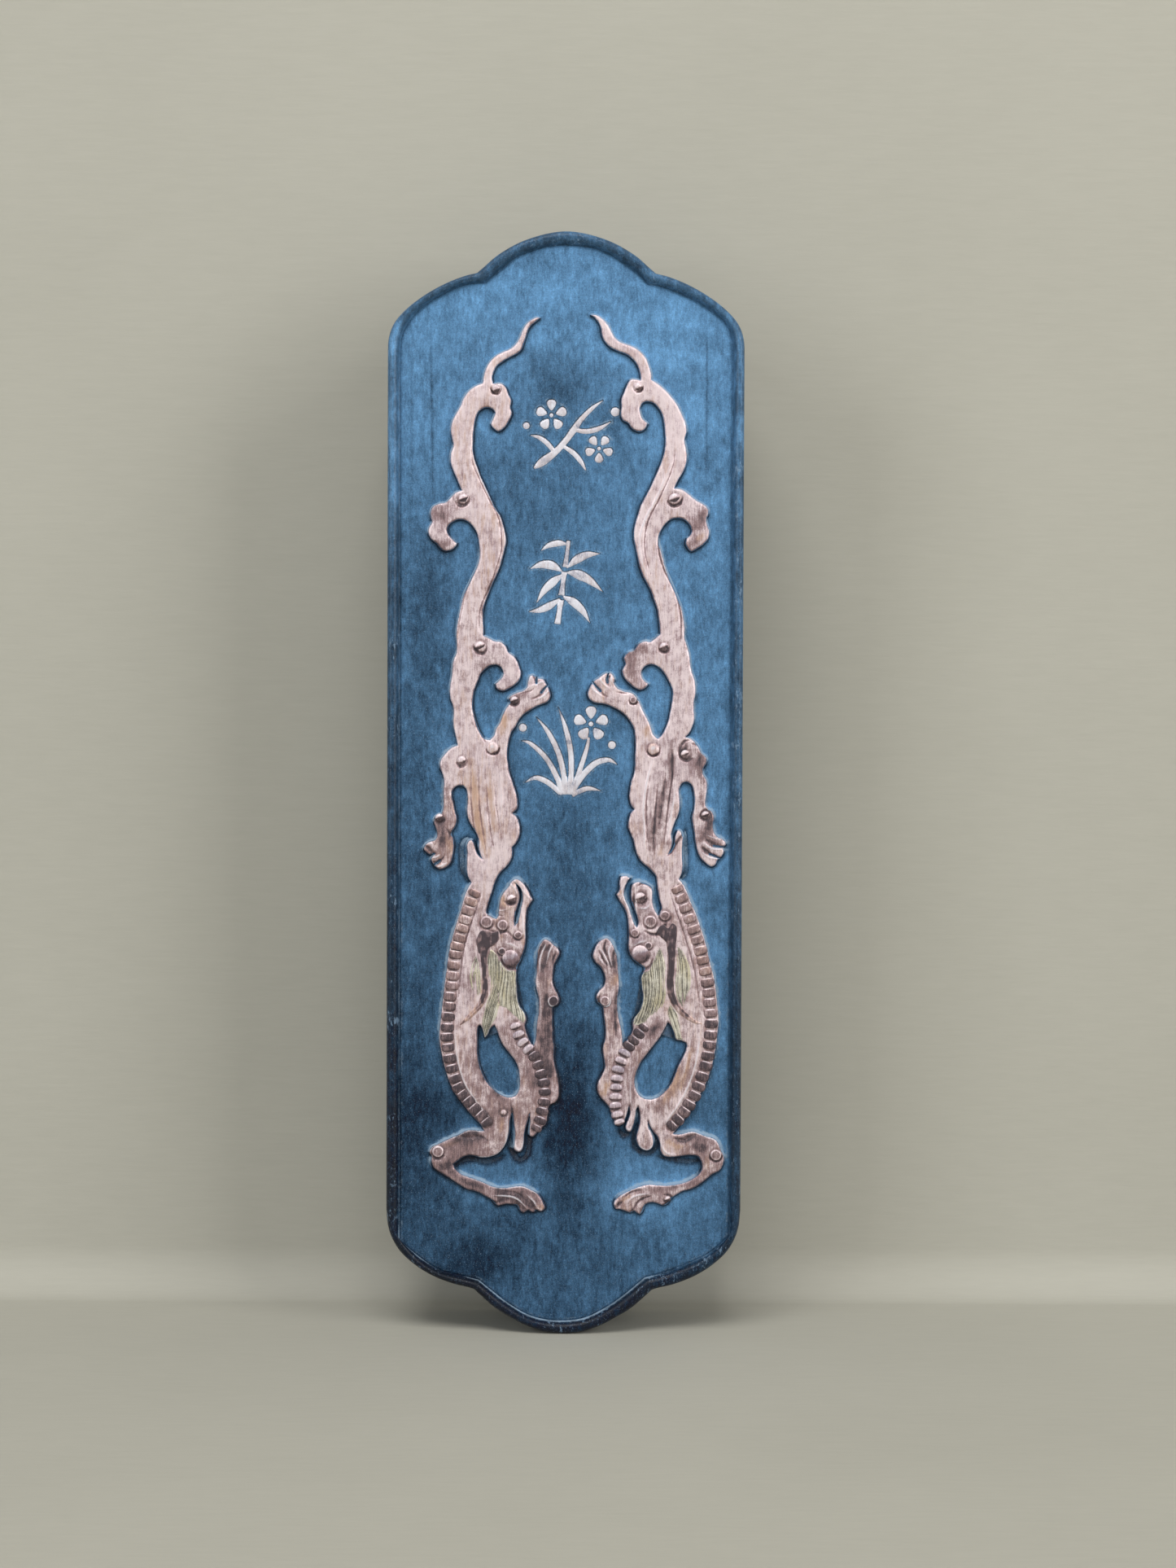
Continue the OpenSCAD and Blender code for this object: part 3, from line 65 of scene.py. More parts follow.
# ------------------------------------------------------------------ outlines, mm: x to the right, z up
# right_... lists are drawn mirrored, on the left; a third entry of 1 is a sharp corner
left_outline = [
  # whip tip and its lower edge
  [-5.2,202.8,1],[-5.9,202.2],[-6.9,201.4],[-7.6,200.4],[-8.1,198.8],[-8.6,197.4],[-9,196.4],
  [-10,195.6],[-11.4,194.9],[-12.8,194],[-13.8,193.2],[-14.4,192.1],[-14.7,190.9],[-14.5,189.7,1],
  # hooked end of the tail
  [-13.5,189.8],[-12.6,189.6],[-11.9,188.8],[-11.4,187.5],[-10.9,186.4],[-11.1,185.1],[-10.8,183.8],
  [-11.3,182.5],[-12.2,181.1],[-13.4,180.3],[-14.4,180.9],[-14.9,181.8],[-14.4,183],[-14.1,184],
  [-14.8,184.8],[-16,185],[-17.3,184.3],[-17.9,183.1],[-18.2,181.7],
  # inner edge of the tail
  [-18.4,180],[-18.5,178],[-18.5,176.4],[-18.2,174.8],[-17.6,173.1],[-17,171.4],[-16.1,169.5],
  [-15.2,167.5],[-14.1,165.2],[-13,163.4],[-12.4,161.6],[-12,159.9],[-11.8,158.3],[-12.2,156.6],
  [-12.6,155],[-13.1,153.3],[-13.8,151.6],[-14.6,149.9],[-15.3,148.1],[-16,146.3],[-16.4,144.6],
  [-16.4,142.8],[-16.3,141.1],[-16.3,139.7,1],
  # inner cloud scroll
  [-15.2,139.2],[-14,138.6],[-12.9,138.5],[-11.9,137.7],[-11.3,136.4],[-10.2,135.6],[-9.5,134.5],
  [-9.1,133.4],[-8.8,132.3],[-9,131.2],[-9.7,130.2],[-11,129.3],[-12.3,128.7],[-13.5,129.1],
  [-13.9,130.1,1],[-12.8,131.1],[-12.3,132.2],[-12.8,133.4],[-13.8,133.9],[-15,133.7],[-16.1,132.9],
  [-16.9,132],[-17.3,130.9],
  # gap between the waist and the raised arm
  [-17.8,129.7],[-18.2,128.4],[-18.4,126.7],[-18.4,125],[-18,123.4],[-17.5,121.8],[-16.8,120.3],
  [-16,119.2],[-15,118.9,1],
  # raised arm and claw
  [-14.1,119.9],[-13.8,121.1],[-13,122.3],[-12.5,123.7],[-11.9,125],[-11.1,126.3],[-11.3,127.2],
  [-10.6,127.9],[-9.5,128.4],[-8.3,128.8],[-7.6,129.5],[-7.4,130.6],[-7.1,131.6],[-6.4,131.9],
  [-5.5,131.3],[-4.4,131.1],[-3.8,130.2],[-3.2,129],[-2.9,127.7],[-3.5,126.6],[-4.6,126.1],
  [-5.8,125.6],[-7.1,124.8],[-8.3,124],[-9.2,122.9],[-9.9,121.6],[-10.7,120.5],[-11.1,119.1],
  # flank
  [-11.4,117.4],[-11.5,115.8],[-11.3,114.1],[-11,112.3],[-10.5,110.8],[-10,109.3],[-9.6,107.9],
  [-9.4,106.5],[-9.5,105.3],[-10.4,104.3,1],[-9.6,103.6],[-9.1,102.4],[-8.9,101],[-9.1,99.6],
  [-9.7,98.4],[-10.5,97.5,1],[-10.4,96.1],[-10.8,94.8],[-11.6,93.7],[-12.8,92.5],[-13.5,91.4],
  [-14,90.2],[-14.4,88.8],[-14.9,87.3],[-15.3,85.9],[-15.6,84.7],
  # ear, snout and jaw
  [-15.3,84.1],[-14.8,83.8],[-14.2,83.4,1],[-13.5,83.3],[-13.2,84],[-13.1,85],[-12.9,86.6],
  [-12.6,87.7],[-12.1,88.6],[-11.3,89.5],[-10.8,90.4],[-10.2,91],[-9.5,91.2],[-8.7,90.8],
  [-8,90.1],[-7.3,89],[-6.8,88],[-6.3,87.1,1],[-6.9,86.2],[-7.4,85.2],[-7.6,84],[-7.7,82.3],
  [-7.7,80.7],[-7.7,79],[-7.9,77.3],[-8.4,75.9],[-8.8,74.7],[-9.3,73.8],
  # mane and chest
  [-9.5,72.6],[-9.5,71],[-9.4,69],[-9.2,67.3],[-8.8,65.8],[-7.9,64.5],[-7.5,63.1],[-7.8,62],
  [-7.6,60.9],[-7.2,59.7],[-6.6,58.4],[-6.1,57.7,1],
  # foreleg and claw
  [-5.7,58.9],[-5.5,60.7],[-5.4,62.3],[-5.1,64.2],[-5,65.9],[-5.1,67.6],[-5.5,69.2],[-5.7,70.9],
  [-5.5,72.6],[-5.6,74.2],[-5.5,75.9],[-5.2,77.2],[-4.6,78.5],[-3.8,79.2],[-2.9,78.8],[-2.1,78.1],
  [-1.3,77.4],[-0.9,76.4],[-1.4,75.2],[-2,74],[-2.2,72.6],[-2.3,71.2],[-2.1,69.9],[-1.6,68.8],
  [-1.1,67.8],[-0.9,66.8],[-1.4,66],[-2.2,65.6],[-2.3,64.5],[-2.3,63],[-2.2,61.1],[-2.2,59.4],
  # belly
  [-1.9,57.6],[-2,56],[-1.9,54.6],[-1.5,53],[-1.1,51.1],[-0.9,49.2],[-1,47.6],[-1.7,46.5],
  [-2.7,46],[-3.1,45.1],[-3.2,43.7],[-3.5,42.3],[-4.3,41.4],[-5.2,40.5],[-6.1,39.6],[-6.8,39.9],
  [-6.8,41.2],[-6.7,42.6],[-6.8,44.2,1],
  # hanging tuft
  [-7.1,43],[-7.6,41.5],[-7.9,39.9],[-8,38.2],[-8.3,36.9],[-9.1,36.5],[-9.9,37.1],[-9.8,38.6],
  [-9.7,40.3],[-9.9,42.2],[-10.3,44.3,1],
  # haunch, shin and hind claw
  [-10.7,43],[-10.8,42.2],[-10.9,40.6],[-11.3,38.9],[-12.1,37.3],[-13.3,36.1],[-14.9,35.5],
  [-16.6,35.4],[-18.4,35.8],[-20,35.5],[-21.2,34.7],[-22.1,34,1],[-21.6,33],[-20.4,32],
  [-18.8,31.4],[-17.3,30.9],[-15.8,30.3],[-14.2,29.6],[-12.6,29.3],[-10.9,29.4],[-9.2,29.7],
  [-7.8,29.6],[-6.6,29],[-5.4,28.4],[-4.6,27.5],[-4,26.3],[-3.7,25.2],[-4.5,24.6],[-5.3,24.9,1],
  [-6.1,24.4],[-7,24.9,1],[-8,24.3],[-8.8,24.9],[-9.3,25.8],[-10.4,26],[-11.9,26],[-13,25.7],
  [-13.9,26.3],[-14.5,27],[-15.7,27.6],[-17.3,28.5],[-19,28.9],[-20.4,29.6],[-21.9,30.6],
  [-23.3,31.5],[-24.9,32.5],[-25.9,33.3],[-26.4,34.4],[-26.4,35.5],[-26.8,36.5],[-26.3,37.5],
  [-25.2,38],[-23.8,38.7],[-22.3,39.4],[-20.9,40],[-19.5,40.7],[-18.3,40.9],[-17,40.8],[-15.9,40.7,1],
  # outer edge of the back
  [-16.6,42],[-17.8,43.2],[-19.2,44.8],[-20.3,46.3],[-21.5,47.8],[-22.4,49.5],[-23.1,51.1],
  [-23.6,52.8],[-24.1,54.6],[-24.5,56.4],[-24.8,58.2],[-24.9,60],[-24.8,61.8],[-24.6,63.6],
  [-24.4,65.4],[-24.2,67.2],[-24,69],[-23.8,70.9],[-23.5,72.8],[-23.3,74.7],[-23,76.6],[-22.6,78.5],
  [-22.2,80.2],[-21.7,81.9],[-21.2,83.5],[-20.7,85],[-20.3,86.5],[-19.9,87.9],[-19.3,89.3],[-18.6,90.5,1],
  # flap of the coat
  [-19.2,91.5],[-19.5,93],[-19.5,94.6],[-19.4,96.4],[-19.5,97.9],[-19.1,98.8],[-18.5,98.9],[-18,98],
  [-17.7,96.8],[-17.1,95.8],[-16.4,95.1,1],[-16.8,96.1],[-17.1,97.5],[-17.1,98.9],[-17.6,100.3],
  [-18.5,101.7],[-19.2,103.1],[-19.5,104.6],[-19.4,106.3],[-19.4,107.9],[-19.7,109.2],[-20.7,109.8],
  # lowered arm and claw
  [-21.7,109.6],[-22.4,108.8],[-22.5,107.6],[-22.2,106.2],[-21.9,104.8],[-21.5,103.2],[-21.8,101.7],
  [-22.6,100.4],[-22.2,99.1],[-22.1,97.4],[-22.3,95.9],[-22.8,94.3],[-23.8,93.4],[-25,93.1],
  [-26,93.9],[-26.6,95],[-26.3,95.8,1],[-27.2,96.2],[-28,97],[-27.9,97.9],[-26.9,98.6],[-25.8,99],
  [-25.4,100.1],[-25.7,101.4],[-26.1,102.6],[-25.9,103.5],[-25.1,104.1],[-24.5,104.3],[-24.2,105.7],
  [-24.2,107.4],[-24.2,109.1],[-24.1,110.8],[-24.4,112.2],[-24.9,113.5],[-24.8,114.8],[-24,116],
  [-23.1,117],[-22.2,117.6],[-21.4,117.8,1],
  # waist and outer edge of the tail
  [-21.7,119.3],[-22.1,121],[-22.3,122.7],[-22.2,124],[-22.3,125.5],[-22.8,127],[-23,128.5],
  [-22.9,129.9],[-22.6,131.6],[-22.5,133.1],[-22.3,134.7],[-21.7,136.2],[-21.6,137.8],[-21.7,139.5],
  [-21.6,141.3],[-21.3,143.2],[-20.9,145.1],[-20.5,147],[-20,148.5],[-19.2,150.1],[-18.4,151.8],
  [-17.5,153.7],[-17.1,155.4],[-17.1,157],[-17.3,158.5],[-17.6,160],[-18.3,161.2],[-19.4,162.3],
  [-20.8,162.8],[-22.1,162.5],[-23.2,161.7],[-23.6,160.7],[-23.3,159.7],[-22.4,158.7],[-21.6,158,1],
  # outer cloud scroll
  [-21.9,157.4],[-22.8,156.7],[-24,156.5],[-24.9,157],[-25.7,158],[-26.7,158.8],[-27.3,160],
  [-27.2,161.1],[-26.6,162.2],[-26.8,163.1],[-26.9,164.2],[-26.4,165.3],[-25.2,165.9],[-23.8,166.2],
  [-22.9,167.1],[-21.9,168.1],[-20.7,168.5,1],
  # outer edge of the upper tail and the whip
  [-21.5,170.4],[-22.3,172.3],[-22.9,174],[-22.9,175.8],[-22.4,177.4],[-22.6,178.7],[-22.9,180.3],
  [-22.7,182],[-21.9,183.7],[-21,185.3],[-20.4,186.8],[-19.3,188.3],[-17.9,189.3],[-16.6,189.8,1],
  [-16.4,191.2],[-16,192.6],[-15.2,194],[-14,195.2],[-12.6,196],[-11,196.7],[-9.8,197.9],
  [-9.1,199.3],[-8.5,200.7],[-7.6,201.9],[-6.1,202.8]
]
left_opening = [
  [-17.3,60.4],[-17.3,58.3],[-17.3,56.5],[-17.1,55.2],[-16.8,53.8],[-16.2,52.2],[-15.4,50.6],
  [-14.4,49.4],[-13.2,48.4],[-11.9,47.7],[-10.7,47.5],[-9.6,47.9],[-9,48.9],[-8.8,50.3],[-8.9,52],
  [-9.1,53.4],[-9.8,54.9],[-10.8,56.2],[-11.6,57.2],[-12.4,58.4],[-13,59.8],[-13.4,61],[-13.9,62,1],
  [-14.7,61.2],[-15.2,60],[-15.8,59.3,1],[-16.1,60.5],[-16.6,61.8],[-17.1,61.7]
]
left_mouth = [
  [-9.7,90.3,1],[-9.3,89.2],[-9,88.2],[-9,87],[-9.4,85.7],[-9.8,84.3],[-10,83],[-9.9,81.8,1],
  [-9.3,82.8],[-8.9,84.2],[-8.6,85.8],[-8.3,87.2],[-8.4,88.5],[-8.9,89.6]
]
right_outline = [
  # whip tip and its lower edge
  [-4.6,203.5,1],[-5.5,203],[-6.4,201.9],[-6.9,200.7],[-7.1,199.3],[-7.7,198.1],[-8.8,197],
  [-10.2,196.3],[-11.9,195.7],[-13,194.9],[-13.9,193.9],[-14.5,192.6],[-14.8,191.4],[-14.8,190.5,1],
  # hooked end of the tail
  [-13.8,190.7],[-12.8,190.6],[-12.1,189.5],[-11.5,188],[-11,186.7],[-11,185],[-10.9,183.6],
  [-11.4,182.5],[-12.4,182],[-13.2,180.9],[-14.6,180.3],[-15.7,180.9],[-16.2,182,1],[-15.2,182.9],
  [-14.8,184],[-14.7,185],[-15.2,186],[-16.2,186.3],[-17.4,186],[-18.4,185],[-19.1,183.8],
  # inner edge of the tail
  [-19.5,182.2],[-19.7,180.2],[-19.8,178.3],[-19.6,176.4],[-19.1,174.6],[-18.4,172.8],[-17.6,171],
  [-16.8,169.2],[-16.1,167.9],[-15.6,166.9],[-14.9,165.5],[-14.4,163.9],[-13.9,162.3],[-13.6,160.6],
  [-13.6,159],[-14,157.1],[-14.4,155.2],[-14.8,153.5],[-15.4,151.8],[-16.3,150.1],[-17.1,148.5],
  [-17.7,146.8],[-18.3,145.1],[-18.6,143.2],[-18.8,141.6],[-18.9,140.1,1],
  # inner cloud scroll
  [-17.8,139.2],[-16.9,138.6],[-15.8,138.7],[-14.6,138.1],[-13.7,136.9],[-12.6,136.5],[-11.7,135.4],
  [-12,134.1],[-11.4,132.9],[-11.7,131.6],[-12.7,130.4],[-13.8,129.5],[-15.1,129],[-16.2,129.6],
  [-16.6,130.2,1],[-15.5,131.2],[-15.2,132.5],[-15.8,133.6],[-17.2,134.1],[-18.7,133.5],
  [-19.8,132.3],[-20.7,130.7],
  # gap between the waist and the raised arm
  [-21.3,129.4],[-21.5,128.2],[-21.3,126.6],[-21,124.8],[-20.6,122.9],[-20,121.3],[-19.3,120],
  [-18.6,119.3,1],
  # raised arm and claw
  [-17.6,120.2],[-17.1,121.7],[-16.5,123.1],[-15.7,124.6],[-15,126.2],[-14.3,127.5],[-13.3,128.4],
  [-11.9,128.7],[-10.5,129.3],[-9.8,130.3],[-9.9,131.2],[-9.2,132.3],[-8.1,132.3],[-6.7,131.4],
  [-5.6,130.5],[-4.8,129.2],[-4.5,128.1],[-5,127],[-6.1,126.4],[-7.8,126.2],[-9.2,125.7],
  [-10.8,124.9],[-12.1,123.9],[-13,122.7],[-13.8,121.2],[-14,119.6],
  # flank
  [-14.1,117.7],[-14,115.8],[-14,114],[-13.8,112.3],[-13.3,110.8],[-13,109],[-12.9,107.4],
  [-13.3,106],[-13.9,105.2,1],[-13.2,104.4],[-12.8,103],[-12.7,101.7],[-13.2,100.3],[-13.8,98.9],
  [-14.1,97.4],[-14.6,95.9],[-15.5,94.6],[-16.7,93.6],[-17.6,92.7],[-18.3,91.8],[-18.5,90.4],
  [-18.7,88.8],[-19,87.2],[-19.4,85.9],
  # ear, snout and open jaw
  [-19.4,85.2],[-19.1,84.6],[-18.8,83.9,1],[-18.2,84.9],[-17.7,86.2],[-17.6,87.6],[-17.6,88.8],
  [-17.4,89.7],[-16.4,90.3],[-15.2,90.7],[-14.2,90.6],[-13.5,90],[-13.3,88.6],[-13.4,87],
  [-13.9,85.4],[-14.5,84],[-14.8,82.6],[-14.5,81.6,1],[-13.9,82.6],[-13.4,84.1],[-12.9,85.7],
  [-12.2,87.1],[-11.9,88.4],[-12.1,89.6],[-12.6,90.8],[-13.1,91.5,1],[-12.3,91.9],[-11.3,91.7],
  [-11,90.5],[-11,89.2],[-10.4,88.1,1],[-11.1,86.8],[-12,85.4],[-12.6,83.8],[-12.8,82.1],
  [-12.9,80.2],[-12.8,78.3],[-13,76.7],[-13.8,75.2],[-14.9,74.3],[-15.9,73.6],
  # mane and chest
  [-15.9,72.7],[-15.4,71.6],[-15.5,69.7],[-15.8,67.8],[-15.5,66],[-14.9,64.6],[-14,63.4],
  [-13.7,62.3],[-13.8,61.1],[-13.2,59.8],[-12.3,58.5],[-11.8,57.8,1],
  # foreleg and claw
  [-11.7,59.4],[-11.5,61.1],[-11,63.3],[-10.7,65.4],[-10.7,67.6],[-11,69.7],[-10.9,71.9],
  [-10.7,73.8],[-10.6,75.7],[-10.2,77.1],[-9.5,78.5],[-8.7,79.4],[-7.6,79.2],[-6.6,78.3],
  [-6.1,77.3],[-5.7,75.9],[-6.2,74.7],[-7.1,73.8],[-7.8,72.8],[-8.2,71.4],[-8,70],[-7.1,69],
  [-6.5,67.9],[-6.7,66.6],[-7.7,65.8],[-7.9,64.5],[-8.1,62.8],[-8.3,61.1],[-8.2,59.2],
  # belly
  [-7.8,57.4],[-7.9,56],[-8.1,54.8],[-8.2,53.4],[-7.6,52],[-6.9,50.6],[-6.7,49.2],[-7.2,47.8],
  [-8.3,46.5],[-9.1,45.5],[-9.6,44.1],[-10.2,42.8],[-10.8,41.9],[-11.8,42.2],[-12.4,43.5],
  [-12.8,44.8],[-13.1,45.9,1],
  # two hanging tufts
  [-13.3,44.4],[-12.9,43],[-12.4,41.7],[-12.7,40.8],[-13.4,40.7],[-13.9,41.8],[-14.3,43.4],
  [-14.5,45],[-14.9,45.8,1],[-15.2,44.7],[-15.3,43.3],[-15.1,41.8],[-14.7,40.3],[-14.6,38.8],
  [-15.4,37.4],[-16.7,36.9],[-17.7,37.5],[-18,38.9],[-17.6,40.4],[-17,41.6],[-16.9,42.8,1],
  # haunch, shin and hind claw
  [-17.3,41.8],[-17.9,40.8],[-18.8,39.7],[-19.3,38.3],[-19.4,36.9],[-20.2,35.8],[-21.6,35.6],
  [-23.4,35.8],[-25.2,36],[-26.6,35.9],[-27.3,35.3],[-27.7,34.3],[-27.7,33.2],[-27.1,32.2],
  [-25.9,31.3],[-24.5,30.6],[-22.6,30.1],[-20.7,29.9],[-18.8,30],[-16.9,30.1],[-15.2,29.7],
  [-13.8,29.1],[-12.1,28.3],[-10.9,27.5],[-10.1,26.3],[-10.5,25.2],[-11.4,25.1,1],[-12.5,24.7],
  [-13.4,24.4],[-14.2,24.8,1],[-15.3,24.1],[-16,24.9],[-16.4,26],[-17.6,26.5],[-18.8,26.3],
  [-20,25.9],[-21,26.3],[-21.6,27.2],[-22.3,27.8],[-23.8,28.7],[-25.6,29.2],[-27.1,30],
  [-28.5,31.1],[-29.9,32.2],[-31.3,33],[-32,34.4],[-32.1,35.8],[-31.5,37],[-31.1,38.2],
  [-30.2,39.3],[-28.6,39.8],[-27.1,40.4],[-25.7,40.8],[-24.2,40.4],[-22.9,40.2],[-21.9,40.3,1],
  # outer edge of the back
  [-22.7,41.3],[-23.9,42.8],[-25.1,44.4],[-26.2,46.3],[-27.3,48.2],[-28.3,50.1],[-29.1,52.2],
  [-29.7,54.2],[-30.1,56.2],[-30.5,58.3],[-30.7,60.2],[-30.9,62.1],[-30.9,64],[-30.7,65.9],
  [-30.5,67.8],[-30.3,69.7],[-30,71.6],[-29.5,73.5],[-29,75.4],[-28.6,77.3],[-28.1,79.2],
  [-27.5,81.1],[-26.9,82.8],[-26.3,84.5],[-25.5,86.2],[-24.9,87.8],[-24.4,89],[-23.8,90.2],[-22.9,91.3,1],
  # flap of the coat
  [-23.4,92.5],[-23.6,94],[-23.5,95.8],[-23.5,97.8],[-23.6,99.7],[-23.2,100.8],[-22.6,101],
  [-22.1,99.9],[-21.9,98.4],[-21.4,97.1],[-20.7,96.3,1],[-21.3,97.5],[-21.5,98.8],[-21.3,100.1],
  [-21.6,101.5],[-22.1,102.9],[-22.7,104.3],[-23,106],[-22.9,107.7],[-22.8,109.1],[-23.3,110.3],
  # lowered arm and claw
  [-24.3,110.7],[-25.3,110.1],[-25.7,108.9],[-25.9,107.2],[-25.8,105.4],[-25.4,103.7],[-25.6,102.2],
  [-25.9,100.5],[-26.1,98.9],[-26.5,97],[-27.1,95.6],[-28.1,94.6],[-29.2,93.8],[-30.1,94.2],
  [-30.5,95.1,1],[-31.3,95.8],[-31.8,96.8],[-31.6,97.5,1],[-32.2,98.4],[-31.6,99.3],[-30.5,99.8],
  [-29.8,100.8],[-29.6,102.3],[-29.8,103.6],[-29.4,104.8],[-28.6,105.4],[-28.1,106.2],
  [-28.2,107.7],[-28.4,109.3],[-28.3,111],[-27.6,112.3],[-27.6,113.4],[-28.2,114.5],[-28.2,115.6],
  [-27.2,116.6],[-26.5,118],[-25.2,119.3],[-24,119.6,1],
  # waist and outer edge of the tail
  [-24.8,120.5],[-25.4,121.7],[-25.8,123.2],[-25.7,125],[-25.7,126.7],[-26,128.2],[-26,129.7],
  [-25.8,131.1],[-25.3,132.6],[-25,134],[-24.8,135.9],[-24.3,137.8],[-23.8,139.5],[-23.8,141.5],
  [-23.5,143.5],[-23.1,145.4],[-22.4,147.3],[-21.6,149.2],[-20.7,151.3],[-19.9,153.3],
  [-19.4,155.2],[-18.9,157],[-18.5,158.5],[-18.7,160],[-19.5,161.6],[-20.7,162.8],[-22,163.2],
  [-23.4,163],[-24.6,162],[-25.1,160.7],[-24.8,159.8],[-24.1,159.1,1],
  # outer cloud scroll
  [-23.9,158.1],[-24.4,157.1],[-25.1,156.6],[-26.4,157.3],[-27.5,158.1],[-28.4,159.2],
  [-28.6,160.6],[-28.2,161.8],[-28,163],[-28.4,164.1],[-28.3,165.1],[-27.5,165.9],[-25.9,166.8],
  [-24.8,167.7],[-23.8,168.5],[-22.7,169],[-21.6,169.1,1],
  # outer edge of the upper tail and the whip
  [-22.2,170.5],[-23.1,172],[-23.8,173.5],[-24.1,175.3],[-23.9,177.1],[-23.6,178.7],[-24,180.3],
  [-23.8,182],[-23,183.9],[-22.1,185.7],[-20.9,187.3],[-19.7,188.6],[-18.3,189.8],[-17,190.6,1],
  [-16.9,191.9],[-16.5,193.3],[-15.9,194.8],[-15,195.9],[-13.9,196.8],[-12.6,197.4],[-10.9,198],
  [-9.7,198.9],[-9,200.1],[-8.3,201.4],[-7.3,202.5],[-6.1,203.3]
]
right_opening = [
  [-24.5,58.4],[-24.4,57],[-23.8,55.7],[-22.9,53.9],[-22.2,52],[-21.4,50.2],[-20.2,48.7],
  [-18.8,47.6],[-17.1,47.2],[-15.5,47.7],[-14.6,48.9],[-14.2,50.6],[-14.5,52.5],[-15.3,54.4],
  [-16.4,56],[-17.7,57.7],[-19.1,59.5],[-20,61.1],[-20.8,62.7,1],[-21.5,61.7],[-22,60.5],
  [-22.4,59.2],[-23.4,59,1]
]
left_mane_main = [
  [-14.6,77.2],[-15.3,76.2],[-15.4,74.8],[-15.2,72.8],[-15,70.8],[-14.9,69],[-15.2,67.5],
  [-15.7,66],[-16.1,64.3],[-16.4,62.3],[-16.1,60.7],[-15.8,59.5,1],[-15.2,60.2],[-14.8,61.3],
  [-14.1,62.5],[-13.4,63.6],[-13.1,64.8],[-12.9,65.8,1],[-11.6,65.3],[-10.3,64.1],[-9,63.1],
  [-8.1,62.4,1],[-7.7,63.2],[-8,64.5],[-8.9,65.8],[-9.3,67.3],[-9.5,69],[-9.6,71],[-9.7,72.7],
  [-11.1,73],[-12.1,73.8],[-12.9,75.2],[-13.6,76.4]
]
left_mane_lobe = [
  [-17.5,76.4,1],[-18.3,75],[-18.9,73.1],[-19.2,71.2],[-18.9,69.5],[-18.1,68.2],[-17,67.5,1],
  [-16.4,68.8],[-16.3,70.4],[-16.5,72.6],[-16.9,74.4]
]
right_mane_main = [
  [-19.4,77.8],[-20.1,76],[-20.4,74],[-20.4,72.2],[-20.4,70.2],[-20.5,68],[-20,66],[-18.9,64.8],
  [-17.4,63.6],[-15.9,62.5],[-14.6,62],[-13.8,62.4,1],[-14.1,63.5],[-15,64.7],[-15.6,66],
  [-15.9,67.8],[-15.6,69.7],[-15.5,71.6],[-16.1,72.7],[-17,73.1],[-17.6,74.4],[-18.1,76],[-18.7,77.4]
]
right_mane_lobe = [
  [-22.5,78.4,1],[-24,76.9],[-24.8,75.2],[-25.4,73.1],[-25.5,70.8],[-24.9,68.3],[-24.1,65.9,1],
  [-23.2,65.9],[-22.3,67.3],[-21.8,69],[-22,71.4],[-22.2,73.8],[-22.3,76.2]
]
right_mane_wisp = [
  [-21.2,66.5,1],[-22.5,64.8],[-23.2,63],[-23.5,60.8],[-23.8,59.1,1],[-22.5,59.3],[-22.1,60.6],
  [-21.5,62],[-20.8,63.8],[-20.7,65.2]
]
left_horn_cap = [
  [-17.7,78.6],[-17.3,79.9],[-16.7,80.8],[-15.6,81],[-14.3,80.6],[-13.1,80.8],[-12.9,79.4],
  [-13.6,78.1],[-14.9,77.4],[-15.5,76.1],[-16.9,76.2],[-17.4,77.3]
]
right_horn_cap = [
  [-22.6,80.6],[-22.4,82],[-21.5,82.6],[-20.7,81.6],[-19.8,82.2],[-18.9,81.7],[-18.4,80.6],
  [-19.3,79.6],[-20.3,78.6],[-20.6,77],[-22,77],[-22.4,78.8]
]
left_horn_stem = [
  [-16.2,77,0.9],[-16.1,75.5,0.65],[-15.9,73,0.55],[-15.8,71,0.55],[-15.7,69.2,0.65],[-15.9,67.8,0.7],
  [-16.8,66,0.65],[-18,64.6,0.55],[-19.3,63.3,0.45],[-20.8,62,0.15]
]
right_horn_stem = [
  [-21.4,78.5,0.95],[-21.4,76,0.85],[-21.3,73,0.8],[-21.2,70.5,0.8],[-21.4,68.4,0.75],[-22.2,66.4,0.7],
  [-23.4,64.9,0.65],[-24.8,63.7,0.55],[-26.2,62.8,0.4],[-27.6,62.4,0.15]
]
left_back_row = [
  [-17.9,88.3],[-18.7,86.6],[-19.2,84.8],[-19.8,83],[-20.3,81.3],[-20.9,79.4],[-21.4,77.7],[-21.7,76],
  [-22,73.9],[-22.2,71.8],[-22.4,69.8],[-22.7,67.7],[-22.9,65.7],[-23.1,63.6],[-23.3,61.5],[-23.3,59.5],
  [-23.1,57.4],[-22.8,55.3],[-22.3,53.2],[-21.7,51.2],[-21,49.5],[-20,48],[-18.9,46.6],[-17.7,45.2],
  [-16.4,43.8],[-15.3,42.4]
]
right_back_row = [
  [-22.6,89.2],[-23.4,87.5],[-24.2,85.5],[-25.1,83.4],[-25.9,81.2],[-26.6,79.1],[-27.3,77.1],[-27.7,75.1],
  [-28.2,72.9],[-28.7,70.6],[-28.9,68.6],[-29.1,66.6],[-29.3,64.5],[-29.4,62.4],[-29.3,60.2],[-29.1,58.1],
  [-28.8,56],[-28.4,53.9],[-27.7,51.8],[-27,49.8],[-26.1,48],[-25.1,46.2],[-24.1,44.6],[-22.9,43.2],
  [-21.6,41.9]
]
left_belly_row = [
  [-9.7,61.8],[-9.1,60.1],[-8.2,58.5],[-7.1,57.1],[-5.9,55.8],[-5.1,54.1],[-4.5,52.3],[-4,50.5],
  [-3.8,48.6],[-3.9,46.6],[-4.3,44.7],[-4.7,42.9],[-5.5,41.3]
]
